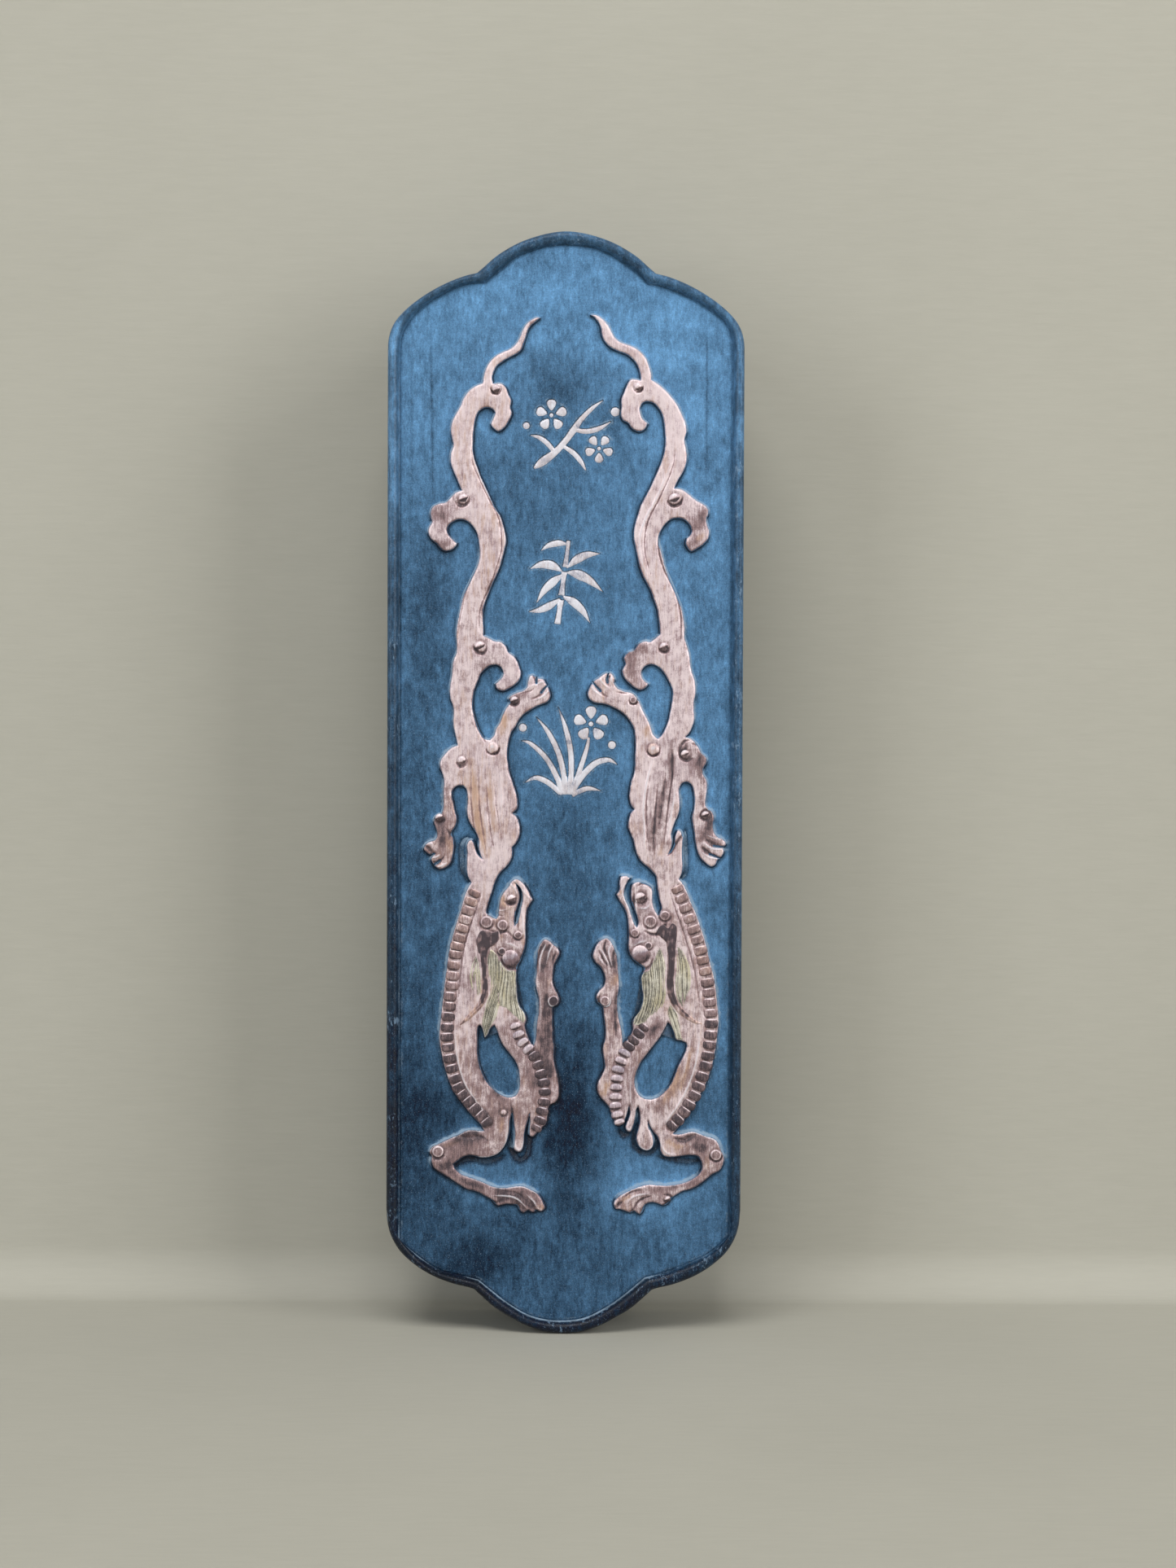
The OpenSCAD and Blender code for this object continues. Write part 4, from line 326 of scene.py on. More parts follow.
right_belly_row = [
  [-16,61.7],[-15,60.4],[-14,59.1],[-13,57.8],[-12.1,56.4],[-11.4,54.8],[-10.9,53.1],[-10.6,51.3],
  [-10.5,49.5],[-10.4,47.7],[-10.4,45.9],[-10.7,44.1],[-11.1,42.7]
]
# boss centre and radius
left_boss_set = [
  [-13.9,188.7,0.8],[-20.3,166.8,1],[-16.9,137.5,1.1],[-14.4,117.4,1.15],[-20.5,114.9,0.8],
  [-10.1,126.8,0.8],[-25,103.4,0.8],[-15.5,82.6,1.2],[-12.3,82,1.05],[-9.2,80,0.8],[-12.4,76.8,0.75],
  [-10.7,75.4,1.7],[-10.5,87.2,0.9],[-2.1,66.9,1],[-25.1,36.6,1.15],[-12,44.5,0.6]
]
right_boss_set = [
  [-14.3,189.2,0.8],[-21.7,166.9,1.2],[-19.7,137.5,0.9],[-17.7,117.2,1.15],[-24,116.2,0.9],
  [-13.6,127,0.65],[-28.1,104.1,0.8],[-20.1,84,1],[-17.2,82.8,1.25],[-14.1,80.5,0.8],[-16.8,78,0.75],
  [-15.2,76.4,1.7],[-15.2,87.5,1.1],[-8.2,66.9,1],[-30.5,36.1,1.1],[-20.9,27.2,0.6]
]
# blossom sprig: brush strokes as [x, z, half width]
upper_strokes = [
  [[-6.4,173,0.3],[-4.7,174.3,0.9],[-2.2,176.2,0.75],[0,178.6,0.7],[1.6,180.8,0.75],[3.2,183,0.6],[5.2,185,0.5],[7.4,186.6,0.15]],
  [[-2.2,176.2,0.5],[-3.7,178,0.6],[-5.4,179.2,0.5],[-7.2,179.6,0.15]],
  [[1.6,180.8,0.45],[4,180.4,0.6],[6.6,181,0.55],[9,182.4,0.15]],
  [[-0.8,177.6,0.4],[1.4,176.2,0.6],[3,174.4,0.55],[4,172.6,0.2]]
]
# centre, outer radius and first petal angle
upper_blossoms = [[-2.9,183.6,3.2,90],[6.6,177,2.9,54]]
upper_buds = [[9.8,184.3,1],[-7.9,181.5,0.8]]
# bamboo: three stalk sections and seven leaves
middle_strokes = [
  [[-1.6,142,0.75],[-1.2,144.6,0.6],[-0.9,147,0.75]],
  [[-0.8,147.7,0.75],[-0.5,150.2,0.55],[-0.2,152.6,0.7]],
  [[-0.1,153.3,0.65],[0.3,156,0.5],[0.6,158.8,0.5]],
  [[-0.6,152.5,0.2],[-2.6,153.7,0.95],[-4.8,153.9,0.8],[-7.2,153,0.1]],
  [[-0.5,152,0.2],[-2.3,150.6,0.9],[-4.2,148.8,0.75],[-5.8,146.2,0.1]],
  [[0.2,152.4,0.2],[2.4,152,1],[4.8,150.8,0.85],[7.6,148.4,0.1]],
  [[0.2,153.2,0.2],[2.2,154.9,0.9],[4.4,155.9,0.75],[7,156.1,0.1]],
  [[-0.6,147.6,0.2],[1.4,146.6,0.9],[3.4,144.8,0.75],[5,142.2,0.1]],
  [[-1,147.2,0.2],[-3,145.8,0.8],[-5,144.9,0.7],[-7.4,144.5,0.1]],
  [[0.5,157.8,0.2],[-1.2,158.2,0.7],[-3.4,157.7,0.6],[-5,156.6,0.1]]
]
# orchid: leaf blades
lower_strokes = [
  [[-0.4,108,0.6],[-1.6,111.6,0.65],[-3.8,115.4,0.6],[-6.8,118.2,0.5],[-8.8,118.8,0.1]],
  [[0.2,108,0.6],[-0.2,112,0.65],[-1.3,116.4,0.65],[-3.4,120.6,0.55],[-5.8,123.6,0.1]],
  [[0.8,108,0.6],[1.3,112.6,0.65],[1.1,117,0.65],[0.1,121.4,0.55],[-1.4,125.6,0.1]],
  [[1.2,108.2,0.6],[3.6,111.9,0.7],[6.2,114.4,0.7],[8.8,115,0.55],[10.6,114,0.1]],
  [[1.4,108.8,0.4],[3.2,113.6,0.6],[4.4,117.4,0.5],[4.8,119.6,0.3]],
  [[-0.8,108.2,0.5],[-3.2,110.4,0.65],[-5.8,111.4,0.55],[-8,110.4,0.1]],
  [[1.4,107.9,0.5],[4.4,109.3,0.6],[7.4,108.8,0.1]]
]
lower_blossoms = [[5.2,122.2,3.6,90]]
lower_buds = [[-8.4,121.4,0.9],[9.4,118,0.9]]
# outer silhouette, right half, top then bottom
outer_half = [
  [0,220],[4,219.5],[8,218.3],[11,216.9],[14,215],[16.4,212.9],[17.8,211.7,1],[20.5,211],[24,209.6],
  [27.5,207.7],[30.5,205.6],[33,203.3],[34.6,201],[35.4,198.2],[35.5,195,1],
  [35.5,25,1],[35.2,21.8],[34.4,19.2],[33,16.8],[31.2,14.9],[28.6,12.9],[25.5,11.2],[22,9.9],[19,9.2],
  [17.8,8.8,1],[16.2,7.3],[13.5,5],[10.5,3.2],[7.5,1.6],[4,0.4],[0,0]
]
# edge of the sunken field, clockwise from the top
field_edge = [
  [0,217.2],[5,216.7],[8.5,215.4],[11,213.9],[13.8,211.9],[16.3,209.5,1],[19,209],[22,207.9],[25,206.6],
  [28,204.9],[31,202.6],[32.7,200.2],[33.2,197],[33.2,194,1],[33.2,19.7,1],[31,17.5],[28,15.5],[24,13.7],[20,12.2],
  [16.3,11.2,1],[13,8.4],[10,6.1],[7,4.3],[4,3],[0,2.5],[-4,2.8],[-7.5,3.9],[-11,6],[-14,8.3],
  [-17,10.7,1],[-20,11.4],[-24,12.3],[-27,13.9],[-30.5,16.5],[-32.8,18.5,1],[-33.1,194,1],[-33,197.5],[-32.3,200.2],[-30.5,203],
  [-28.2,205.1],[-25,207.1],[-21,209],[-18.5,209.5],[-16.3,209.6,1],[-14.3,211.2],[-12,213.2],[-9.7,214.9],[-7,215.9],[-4,216.8]
]
# ------------------------------------------------------------------ curves
def xy(p):
    return np.array(p[:2], float)


def cr(a, b, c, d, t):
    return 0.5 * ((2 * b) + (c - a) * t + (2 * a - 5 * b + 4 * c - d) * t * t + (3 * b - a - 3 * c + d) * t ** 3)


def smooth(p, k):
    """Closed smooth curve through p; a third entry of 1 marks a sharp corner."""
    n, out = len(p), []
    for i in range(n):
        b, c = xy(p[i]), xy(p[(i + 1) % n])
        a = 2 * b - c if len(p[i]) > 2 else xy(p[i - 1])
        d = 2 * c - b if len(p[(i + 1) % n]) > 2 else xy(p[(i + 2) % n])
        for j in range(k):
            out.append(cr(a, b, c, d, j / k))
    return np.array(out)


def along(s, k):
    """Open smooth curve; every entry of a point is carried along."""
    s = [np.array(q, float) for q in s]
    pick = lambda i: s[max(0, min(len(s) - 1, i))]
    out = []
    for i in range(len(s) - 1):
        for j in range(k):
            out.append(cr(pick(i - 1), pick(i), pick(i + 1), pick(i + 2), j / k))
    out.append(s[-1])
    return np.array(out)


def brush(s, k):
    a = along(s, k)
    t = np.gradient(a[:, :2], axis=0)
    t /= np.maximum(np.hypot(t[:, 0], t[:, 1]), 1e-6)[:, None]
    nrm = np.c_[-t[:, 1], t[:, 0]]
    w = np.maximum(0.08, a[:, 2])[:, None]
    return np.vstack([a[:, :2] + nrm * w, (a[:, :2] - nrm * w)[::-1]])


def flip(p):
    return [[-q[0]] + list(q[1:]) for q in p[::-1]]


def flip_x(p):
    return [[-q[0]] + list(q[1:]) for q in p]


def ring(c, r, n):
    a = np.arange(n) * 2 * np.pi / n
    return np.c_[c[0] + r * np.cos(a), c[1] + r * np.sin(a)]


def petal(b, i):
    a = math.radians(b[3] + 72 * i)
    u, v, r = np.array([math.cos(a), math.sin(a)]), np.array([-math.sin(a), math.cos(a)]), b[2]
    q = [[0.24, 0], [0.5, 0.24], [0.78, 0.33], [0.96, 0.2], [1, 0], [0.96, -0.2], [0.78, -0.33], [0.5, -0.24]]
    c = np.array([b[0], b[1]])
    return smooth([list(c + r * k[0] * u + r * k[1] * v) for k in q], 3)


# ------------------------------------------------------------------ lattices and distances
class Lattice:
    def __init__(self, x0, x1, z0, z1, s, multiple=1):
        nx = int(math.ceil((x1 - x0) / s / multiple)) * multiple + 1
        nz = int(math.ceil((z1 - z0) / s / multiple)) * multiple + 1
        self.s, self.xs, self.zs = s, x0 + np.arange(nx) * s, z0 + np.arange(nz) * s
        self.X, self.Z = np.meshgrid(self.xs, self.zs)

    def window(self, lo, hi, reach):
        i0 = max(int((lo[0] - reach - self.xs[0]) / self.s), 0)
        i1 = min(int((hi[0] + reach - self.xs[0]) / self.s) + 2, len(self.xs))
        j0 = max(int((lo[1] - reach - self.zs[0]) / self.s), 0)
        j1 = min(int((hi[1] + reach - self.zs[0]) / self.s) + 2, len(self.zs))
        return i0, i1, j0, j1

    def inside(self, loops):
        T = np.zeros((len(self.zs), len(self.xs) + 1), np.int32)
        for P in loops:
            Q = np.roll(P, -1, 0)
            for (ax, az), (bx, bz) in zip(P, Q):
                if az == bz:
                    continue
                lo, hi = min(az, bz), max(az, bz)
                j0, j1 = np.searchsorted(self.zs, lo, "right"), np.searchsorted(self.zs, hi, "right")
                if j0 >= j1:
                    continue
                zz = self.zs[j0:j1]
                T[np.arange(j0, j1), np.searchsorted(self.xs, ax + (zz - az) / (bz - az) * (bx - ax))] += 1
        return (np.cumsum(T[:, :-1], axis=1) % 2).astype(bool)

    def distance(self, loops, reach, closed=True):
        D = np.full(self.X.shape, float(reach))
        for P in loops:
            Q = np.roll(P, -1, 0) if closed else P[1:]
            for (ax, az), (bx, bz) in zip(P, Q):
                i0, i1, j0, j1 = self.window((min(ax, bx), min(az, bz)), (max(ax, bx), max(az, bz)), reach)
                if i0 >= i1 or j0 >= j1:
                    continue
                X, Z = self.xs[i0:i1][None, :], self.zs[j0:j1][:, None]
                dx, dz = bx - ax, bz - az
                t = np.clip(((X - ax) * dx + (Z - az) * dz) / max(dx * dx + dz * dz, 1e-12), 0, 1)
                d = np.hypot(X - ax - t * dx, Z - az - t * dz)
                np.minimum(D[j0:j1, i0:i1], d, out=D[j0:j1, i0:i1])
        return D

    def signed(self, loops, reach):
        D = self.distance(loops, reach)
        return np.where(self.inside(loops), D, -D)

    def union(self, shapes, reach):
        D = np.full(self.X.shape, -float(reach))
        for P in shapes:
            i0, i1, j0, j1 = self.window(P.min(0), P.max(0), reach)
            if i0 >= i1 or j0 >= j1:
                continue
            sub = Lattice.__new__(Lattice)
            sub.s, sub.xs, sub.zs = self.s, self.xs[i0:i1], self.zs[j0:j1]
            sub.X, sub.Z = self.X[j0:j1, i0:i1], self.Z[j0:j1, i0:i1]
            D[j0:j1, i0:i1] = np.maximum(D[j0:j1, i0:i1], sub.signed([P], reach))
        return D

    def strokes(self, lines, k=5):
        """Soft lines [x, z, half width, strength]: 1 on the centre line, falling off over the half width, times the strength."""
        G = np.zeros(self.X.shape)
        for line in lines:
            a = along(line, k)
            for (ax, az, aw, ag), (bx, bz, bw, bg) in zip(a[:-1], a[1:]):
                w = max(aw, bw, 0.05)
                i0, i1, j0, j1 = self.window((min(ax, bx), min(az, bz)), (max(ax, bx), max(az, bz)), 2.4 * w)
                if i0 >= i1 or j0 >= j1:
                    continue
                X, Z = self.xs[i0:i1][None, :], self.zs[j0:j1][:, None]
                dx, dz = bx - ax, bz - az
                t = np.clip(((X - ax) * dx + (Z - az) * dz) / max(dx * dx + dz * dz, 1e-12), 0, 1)
                d = np.hypot(X - ax - t * dx, Z - az - t * dz)
                w, g = np.maximum(aw + (bw - aw) * t, 0.03), ag + (bg - ag) * t
                np.maximum(G[j0:j1, i0:i1], g * np.exp(-((d / w) ** 2)), out=G[j0:j1, i0:i1])
        return G


def noise(x, z, size, seed):
    """Smooth value noise, 0 to 1."""
    g = np.random.RandomState(seed).rand(97, 97)
    u, v = x / size + 31.7, z / size + 17.3
    i, j = np.floor(u).astype(int), np.floor(v).astype(int)
    fu, fv = u - i, v - j
    fu, fv = fu * fu * (3 - 2 * fu), fv * fv * (3 - 2 * fv)
    a, b, c, d = g[j % 97, i % 97], g[j % 97, (i + 1) % 97], g[(j + 1) % 97, i % 97], g[(j + 1) % 97, (i + 1) % 97]
    return (a * (1 - fu) + b * fu) * (1 - fv) + (c * (1 - fu) + d * fu) * fv


def step(a, b, v):
    t = np.clip((v - a) / (b - a), 0, 1)
    return t * t * (3 - 2 * t)


def blob(x, z, cx, cz, rx, rz):
    return np.exp(-(((x - cx) / rx) ** 2) - (((z - cz) / rz) ** 2))


# ------------------------------------------------------------------ meshes
def march(D, lat, mark=None):
    """Polygons that cover D > 0 exactly up to its outline. mark gives the size of the leaf cells, in lattice steps."""
    s = lat.s
    D = np.where(np.abs(D) < 0.05 * s, np.where(D >= 0, 0.05 * s, -0.05 * s), D)
    IN = D > 0
    nz, nx = D.shape
    n_cells = np.ones((nz - 1, nx - 1), bool)
    big = []
    used = IN.copy()
    if mark is not None:
        used = np.zeros_like(IN)
        taken = np.zeros((nz - 1, nx - 1), bool)
        for size in (8, 4, 2):
            bj, bi = (nz - 1) // size, (nx - 1) // size
            low = np.full((bj, bi), 99)
            all_in = np.ones((bj, bi), bool)
            any_in = np.zeros((bj, bi), bool)
            for dj in range(size + 1):
                for di in range(size + 1):
                    low = np.minimum(low, mark[dj:dj + bj * size:size, di:di + bi * size:size][:bj, :bi])
                    block = IN[dj:dj + bj * size:size, di:di + bi * size:size][:bj, :bi]
                    all_in &= block
                    any_in |= block
            free = ~taken[0:bj * size:size, 0:bi * size:size]
            leaf = free & (low >= size) & all_in
            empty = free & ~any_in
            for j, i in zip(*np.nonzero(leaf)):
                big.append((j * size, i * size, size))
            for grid, done in ((leaf, True), (empty, True)):
                for dj in range(size):
                    for di in range(size):
                        taken[dj:bj * size:size, di:bi * size:size] |= grid
        n_cells = ~taken
        jj, ii = np.nonzero(n_cells)
        for dj in (0, 1):
            for di in (0, 1):
                used[jj + dj, ii + di] = True
        for j, i, size in big:
            used[j, i] = used[j + size, i] = used[j, i + size] = used[j + size, i + size] = True
        used &= IN
    J, I = np.nonzero(used)
    vid = -np.ones((nz, nx), np.int64)
    vid[J, I] = np.arange(len(J))
    count = len(J)
    cell_any = n_cells
    # crossings on the lattice lines of the small cells
    hx = IN[:, :-1] != IN[:, 1:]
    Jh, Ih = np.nonzero(hx)
    hid = -np.ones((nz, nx - 1), np.int64)
    hid[Jh, Ih] = count + np.arange(len(Jh))
    th = D[Jh, Ih] / (D[Jh, Ih] - D[Jh, Ih + 1])
    count += len(Jh)
    vx = IN[:-1, :] != IN[1:, :]
    Jv, Iv = np.nonzero(vx)
    wid = -np.ones((nz - 1, nx), np.int64)
    wid[Jv, Iv] = count + np.arange(len(Jv))
    tv = D[Jv, Iv] / (D[Jv, Iv] - D[Jv + 1, Iv])
    count += len(Jv)
    A = np.r_[J, Jh, Jv], np.r_[I, Ih, Iv]
    B = np.r_[J, Jh, Jv + 1], np.r_[I, Ih + 1, Iv]
    T = np.r_[np.zeros(len(J)), th, tv]
    sample = lambda F: F[A] * (1 - T) + F[B] * T
    P = np.c_[sample(lat.X), sample(lat.Z)]
    c = IN[:-1, :-1].astype(int) + IN[:-1, 1:] + IN[1:, 1:] + IN[1:, :-1]
    jf, i_f = np.nonzero((c == 4) & cell_any)
    faces = np.c_[vid[jf, i_f], vid[jf, i_f + 1], vid[jf + 1, i_f + 1], vid[jf + 1, i_f]].tolist()
    edges = []
    for j, i in zip(*np.nonzero((c > 0) & (c < 4) & cell_any)):
        ring4 = ((j, i), (j, i + 1), (j + 1, i + 1), (j + 1, i))
        cross = (hid[j, i], wid[j, i + 1], hid[j + 1, i], wid[j, i])
        poly, leave = [], None
        marks = []
        for k in range(4):
            if IN[ring4[k]]:
                poly.append(int(vid[ring4[k]]))
                marks.append("c")
            if cross[k] >= 0:
                poly.append(int(cross[k]))
                marks.append("out" if IN[ring4[k]] else "in")
        faces.append(poly)
        n = len(poly)
        for k in range(n):
            if marks[k] == "out":
                edges.append((poly[k], poly[(k + 1) % n]))
    for j, i, size in big:
        poly = [vid[j, q] for q in range(i, i + size) if vid[j, q] >= 0]
        poly += [vid[q, i + size] for q in range(j, j + size) if vid[q, i + size] >= 0]
        poly += [vid[j + size, q] for q in range(i + size, i, -1) if vid[j + size, q] >= 0]
        poly += [vid[q, i] for q in range(j + size, j, -1) if vid[q, i] >= 0]
        faces.append([int(q) for q in poly])
    # drop crossings no face uses
    seen = np.zeros(count, bool)
    for f in faces:
        seen[f] = True
    if not seen.all():
        new = np.cumsum(seen) - 1
        faces = [[int(new[v]) for v in f] for f in faces]
        edges = [(int(new[a]), int(new[b])) for a, b in edges]
        keep = np.nonzero(seen)[0]
        P = P[keep]
        full = sample
        sample = lambda F: full(F)[keep]
    return P, faces, edges, sample


def solid(P, Y, faces, edges, rows):
    """Closes a top surface with walls and a flat underside. rows are (outward, y) below the top edge."""
    n = len(P)
    nxt = dict(edges)
    rim = np.array(sorted(nxt))
    out = np.zeros((n, 2))
    for a, b in edges:
        d = P[b] - P[a]
        m = np.array([d[1], -d[0]])
        L = math.hypot(*m)
        if L > 1e-9:
            out[a] += m / L
            out[b] += m / L
    ln = np.maximum(np.hypot(out[:, 0], out[:, 1]), 1e-9)
    out /= ln[:, None]
    V = [np.c_[P[:, 0], Y, P[:, 1]]]
    F = [list(f) for f in faces]
    low = np.full(n, -1)
    prev = np.arange(n)
    base = n
    for off, y in rows:
        cur = np.full(n, -1)
        cur[rim] = base + np.arange(len(rim))
        base += len(rim)
        q = P[rim] + out[rim] * off
        V.append(np.c_[q[:, 0], np.full(len(rim), y), q[:, 1]])
        for a, b in edges:
            F.append([int(prev[b]), int(prev[a]), int(cur[a]), int(cur[b])])
        prev = cur
    # underside
    idx = {int(v): k for k, v in enumerate(rim)}
    q = P[rim] + out[rim] * rows[-1][0]
    tri = fill_loops(q, [(idx[a], idx[b]) for a, b in edges])
    first = base - len(rim)
    for t in tri:
        F.append([first + t[0], first + t[2], first + t[1]])
    return np.vstack(V), F, n, rim


def fill_loops(q, edges, extra=None):
    """Triangles of the region bounded by the edges, holes left open; indices into q, then into extra."""
    pts = [Vector((float(a), float(b))) for a, b in q]
    n = len(pts)
    if extra is not None:
        pts += [Vector((float(a), float(b))) for a, b in extra]
    got = delaunay_2d_cdt(pts, [(int(a), int(b)) for a, b in edges], [], 2, 1e-7, True)
    back = [o[0] if o else -1 for o in got[3]]
    tri = []
    for f in got[2]:
        t = [back[v] for v in f]
        if min(t) < 0 or len(set(t)) < 3:
            continue
        a, b, c = (pts[k] for k in t)
        if (b.x - a.x) * (c.y - a.y) - (b.y - a.y) * (c.x - a.x) < 0:
            t = [t[0], t[2], t[1]]
        tri.append(t)
    return tri


def emit(name, V, F, mats, attrs=None, fmat=None, smooth_shade=True, outward=False):
    me = bpy.data.meshes.new(name)
    me.from_pydata((np.asarray(V) * MM).tolist(), [], [list(map(int, f)) for f in F])
    me.update()
    if outward:
        bm = bmesh.new()
        bm.from_mesh(me)
        bmesh.ops.recalc_face_normals(bm, faces=bm.faces)
        bm.to_mesh(me)
        bm.free()
    for k, v in (attrs or {}).items():
        a = me.attributes.new(k, "FLOAT", "POINT")
        a.data.foreach_set("value", np.asarray(v, np.float32))
    for m in mats:
        me.materials.append(m)
    if fmat is not None:
        me.polygons.foreach_set("material_index", np.asarray(fmat, np.int32))
    me.polygons.foreach_set("use_smooth", np.full(len(me.polygons), smooth_shade))
    me.update()
    o = bpy.data.objects.new(name, me)
    bpy.context.scene.collection.objects.link(o)
    return o


class Pile:
    """Collects several closed shapes in one piece."""

    def __init__(self):
        self.V, self.F, self.A, self.n = [], [], {}, 0

    def add(self, V, F, **attrs):
        for k, v in attrs.items():
            self.A.setdefault(k, []).append(np.broadcast_to(np.asarray(v, float), (len(V),)))
        self.V.append(np.asarray(V, float))
        self.F += [[v + self.n for v in f] for f in F]
        self.n += len(V)

    def emit(self, name, mats, **kw):
        return emit(name, np.vstack(self.V), self.F, mats, {k: np.concatenate(v) for k, v in self.A.items()}, **kw)


def dome(c, s, t, a, b, y_low, y_edge, y_top, power=2.6, bulge=2.2, n=24, rings=7, lean=0.0):
    """A rounded pillow with its own flat underside: half lengths a along s and b along t (mm), standing up to y_top."""
    V, F, R = [], [], []
    ang = np.arange(n) * 2 * np.pi / n
    ca, sa = np.cos(ang), np.sin(ang)
    ex = np.sign(ca) * np.abs(ca) ** (2 / power), np.sign(sa) * np.abs(sa) ** (2 / power)
    rows = [(1.0, y_low), (1.0, y_edge)]
    for k in range(1, rings):
        r = math.cos(k / rings * math.pi / 2)
        h = (1 - r ** bulge) ** (1 / bulge)
        rows.append((r, y_edge + (y_top - y_edge) * h))
    for r, y in rows:
        px = c[0] + s[0] * a * r * ex[0] + t[0] * b * r * ex[1]
        pz = c[1] + s[1] * a * r * ex[0] + t[1] * b * r * ex[1]
        V.append(np.c_[px, np.full(n, y), pz])
        R.append(np.full(n, r))
    V.append(np.array([[c[0], y_top, c[1]]]))
    R.append(np.zeros(1))
    m = len(rows)
    for k in range(m - 1):
        for i in range(n):
            j = (i + 1) % n
            F.append([k * n + i, k * n + j, (k + 1) * n + j, (k + 1) * n + i])
    for i in range(n):
        F.append([(m - 1) * n + i, (m - 1) * n + (i + 1) % n, m * n])
    F.append([i for i in range(n)][::-1])
    V = np.vstack(V)
    if s[0] * t[1] - s[1] * t[0] < 0:
        F = [f[::-1] for f in F]
    return V, F, np.concatenate(R)

# ------------------------------------------------------------------ materials
class Tree:
    """Small helper round a node tree; mm is the position in millimetres."""

    def __init__(self, name):
        self.m = bpy.data.materials.new(name)
        self.m.use_nodes = True
        self.t = self.m.node_tree
        self.t.nodes.clear()
        self.out = self.t.nodes.new("ShaderNodeOutputMaterial")
        self.b = self.t.nodes.new("ShaderNodeBsdfPrincipled")
        self.t.links.new(self.b.outputs[0], self.out.inputs[0])
        tc = self.t.nodes.new("ShaderNodeTexCoord")
        v = self.t.nodes.new("ShaderNodeVectorMath")
        v.operation = "SCALE"
        v.inputs["Scale"].default_value = 1000.0
        self.t.links.new(tc.outputs["Object"], v.inputs[0])
        self.mm = v.outputs[0]

    def put(self, socket, value):
        if isinstance(value, bpy.types.NodeSocket):
            self.t.links.new(value, socket)
        elif value is not None:
            if hasattr(socket.default_value, "__len__") and not hasattr(value, "__len__"):
                value = [value] * len(socket.default_value)
            elif hasattr(socket.default_value, "__len__") and len(socket.default_value) == 4 and len(value) == 3:
                value = list(value) + [1.0]
            socket.default_value = value

    def math(self, op, a, b=None, c=None, clamp=False):
        n = self.t.nodes.new("ShaderNodeMath")
        n.operation, n.use_clamp = op, clamp
        for s, v in zip(n.inputs, (a, b, c)):
            self.put(s, v)
        return n.outputs[0]

    def add(self, *v):
        r = v[0]
        for k in v[1:]:
            r = self.math("ADD", r, k)
        return r

    def mul(self, a, b):
        return self.math("MULTIPLY", a, b)

    def clamp(self, a):
        return self.math("ADD", a, 0.0, clamp=True)

    def vec(self, op, a, b=None, scale=None):
        n = self.t.nodes.new("ShaderNodeVectorMath")
        n.operation = op
        self.put(n.inputs[0], a)
        if b is not None:
            self.put(n.inputs[1], b)
        if scale is not None:
            self.put(n.inputs["Scale"], scale)
        return n.outputs[0]

    def attr(self, name):
        n = self.t.nodes.new("ShaderNodeAttribute")
        n.attribute_type, n.attribute_name = "GEOMETRY", name
        return n.outputs["Fac"]

    def noise(self, size, detail=3.0, rough=0.55, stretch=(1, 1, 1), shift=0.0, distort=0.0, vector=None):
        """Noise with features of about size mm, stretched along the axes."""
        v = self.vec("MULTIPLY", vector or self.mm, [1.0 / (size * k) for k in stretch])
        if shift:
            v = self.vec("ADD", v, [shift, shift * 1.7, shift * 0.6])
        n = self.t.nodes.new("ShaderNodeTexNoise")
        self.put(n.inputs["Vector"], v)
        n.inputs["Scale"].default_value = 1.0
        n.inputs["Detail"].default_value = detail
        n.inputs["Roughness"].default_value = rough
        n.inputs["Distortion"].default_value = distort
        return n.outputs["Fac"]

    def around(self, f, gain):
        """Noise centred on zero, times gain."""
        return self.mul(self.math("SUBTRACT", f, 0.5), gain)

    def rise(self, f, lo, hi, to_lo=0.0, to_hi=1.0):
        n = self.t.nodes.new("ShaderNodeMapRange")
        n.interpolation_type = "SMOOTHSTEP"
        for k, v in zip(("Value", "From Min", "From Max", "To Min", "To Max"), (f, lo, hi, to_lo, to_hi)):
            self.put(n.inputs[k], v)
        return n.outputs["Result"]

    def mix(self, f, a, b, kind="RGBA", blend="MIX"):
        n = self.t.nodes.new("ShaderNodeMix")
        n.data_type, n.clamp_factor = kind, True
        if kind == "RGBA":
            n.blend_type = blend
        ins = [s for s in n.inputs if s.enabled and s.type in ({"RGBA": "RGBA", "FLOAT": "VALUE"}[kind],) and s.name in ("A", "B")]
        fac = [s for s in n.inputs if s.enabled and s.name == "Factor"][0]
        self.put(fac, f)
        self.put(ins[0], a)
        self.put(ins[1], b)
        return [s for s in n.outputs if s.enabled][0]

    def bump(self, height, distance, strength=1.0, normal=None):
        n = self.t.nodes.new("ShaderNodeBump")
        n.inputs["Strength"].default_value = strength
        n.inputs["Distance"].default_value = distance * MM
        self.put(n.inputs["Height"], height)
        if normal is not None:
            self.put(n.inputs["Normal"], normal)
        return n.outputs[0]

    def finish(self, color, rough, normal, metallic=0.0, spec=0.5, coat=0.0, coat_rough=0.3):
        self.put(self.b.inputs["Base Color"], color)
        self.put(self.b.inputs["Roughness"], rough)
        self.put(self.b.inputs["Normal"], normal)
        self.put(self.b.inputs["Metallic"], metallic)
        self.b.inputs["Specular IOR Level"].default_value = spec
        self.b.inputs["Coat Weight"].default_value = coat
        self.b.inputs["Coat Roughness"].default_value = coat_rough
        return self.m


def srgb(r, g, b):
    return [((c / 255 + 0.055) / 1.055) ** 2.4 if c > 10 else c / 255 / 12.92 for c in (r, g, b)]


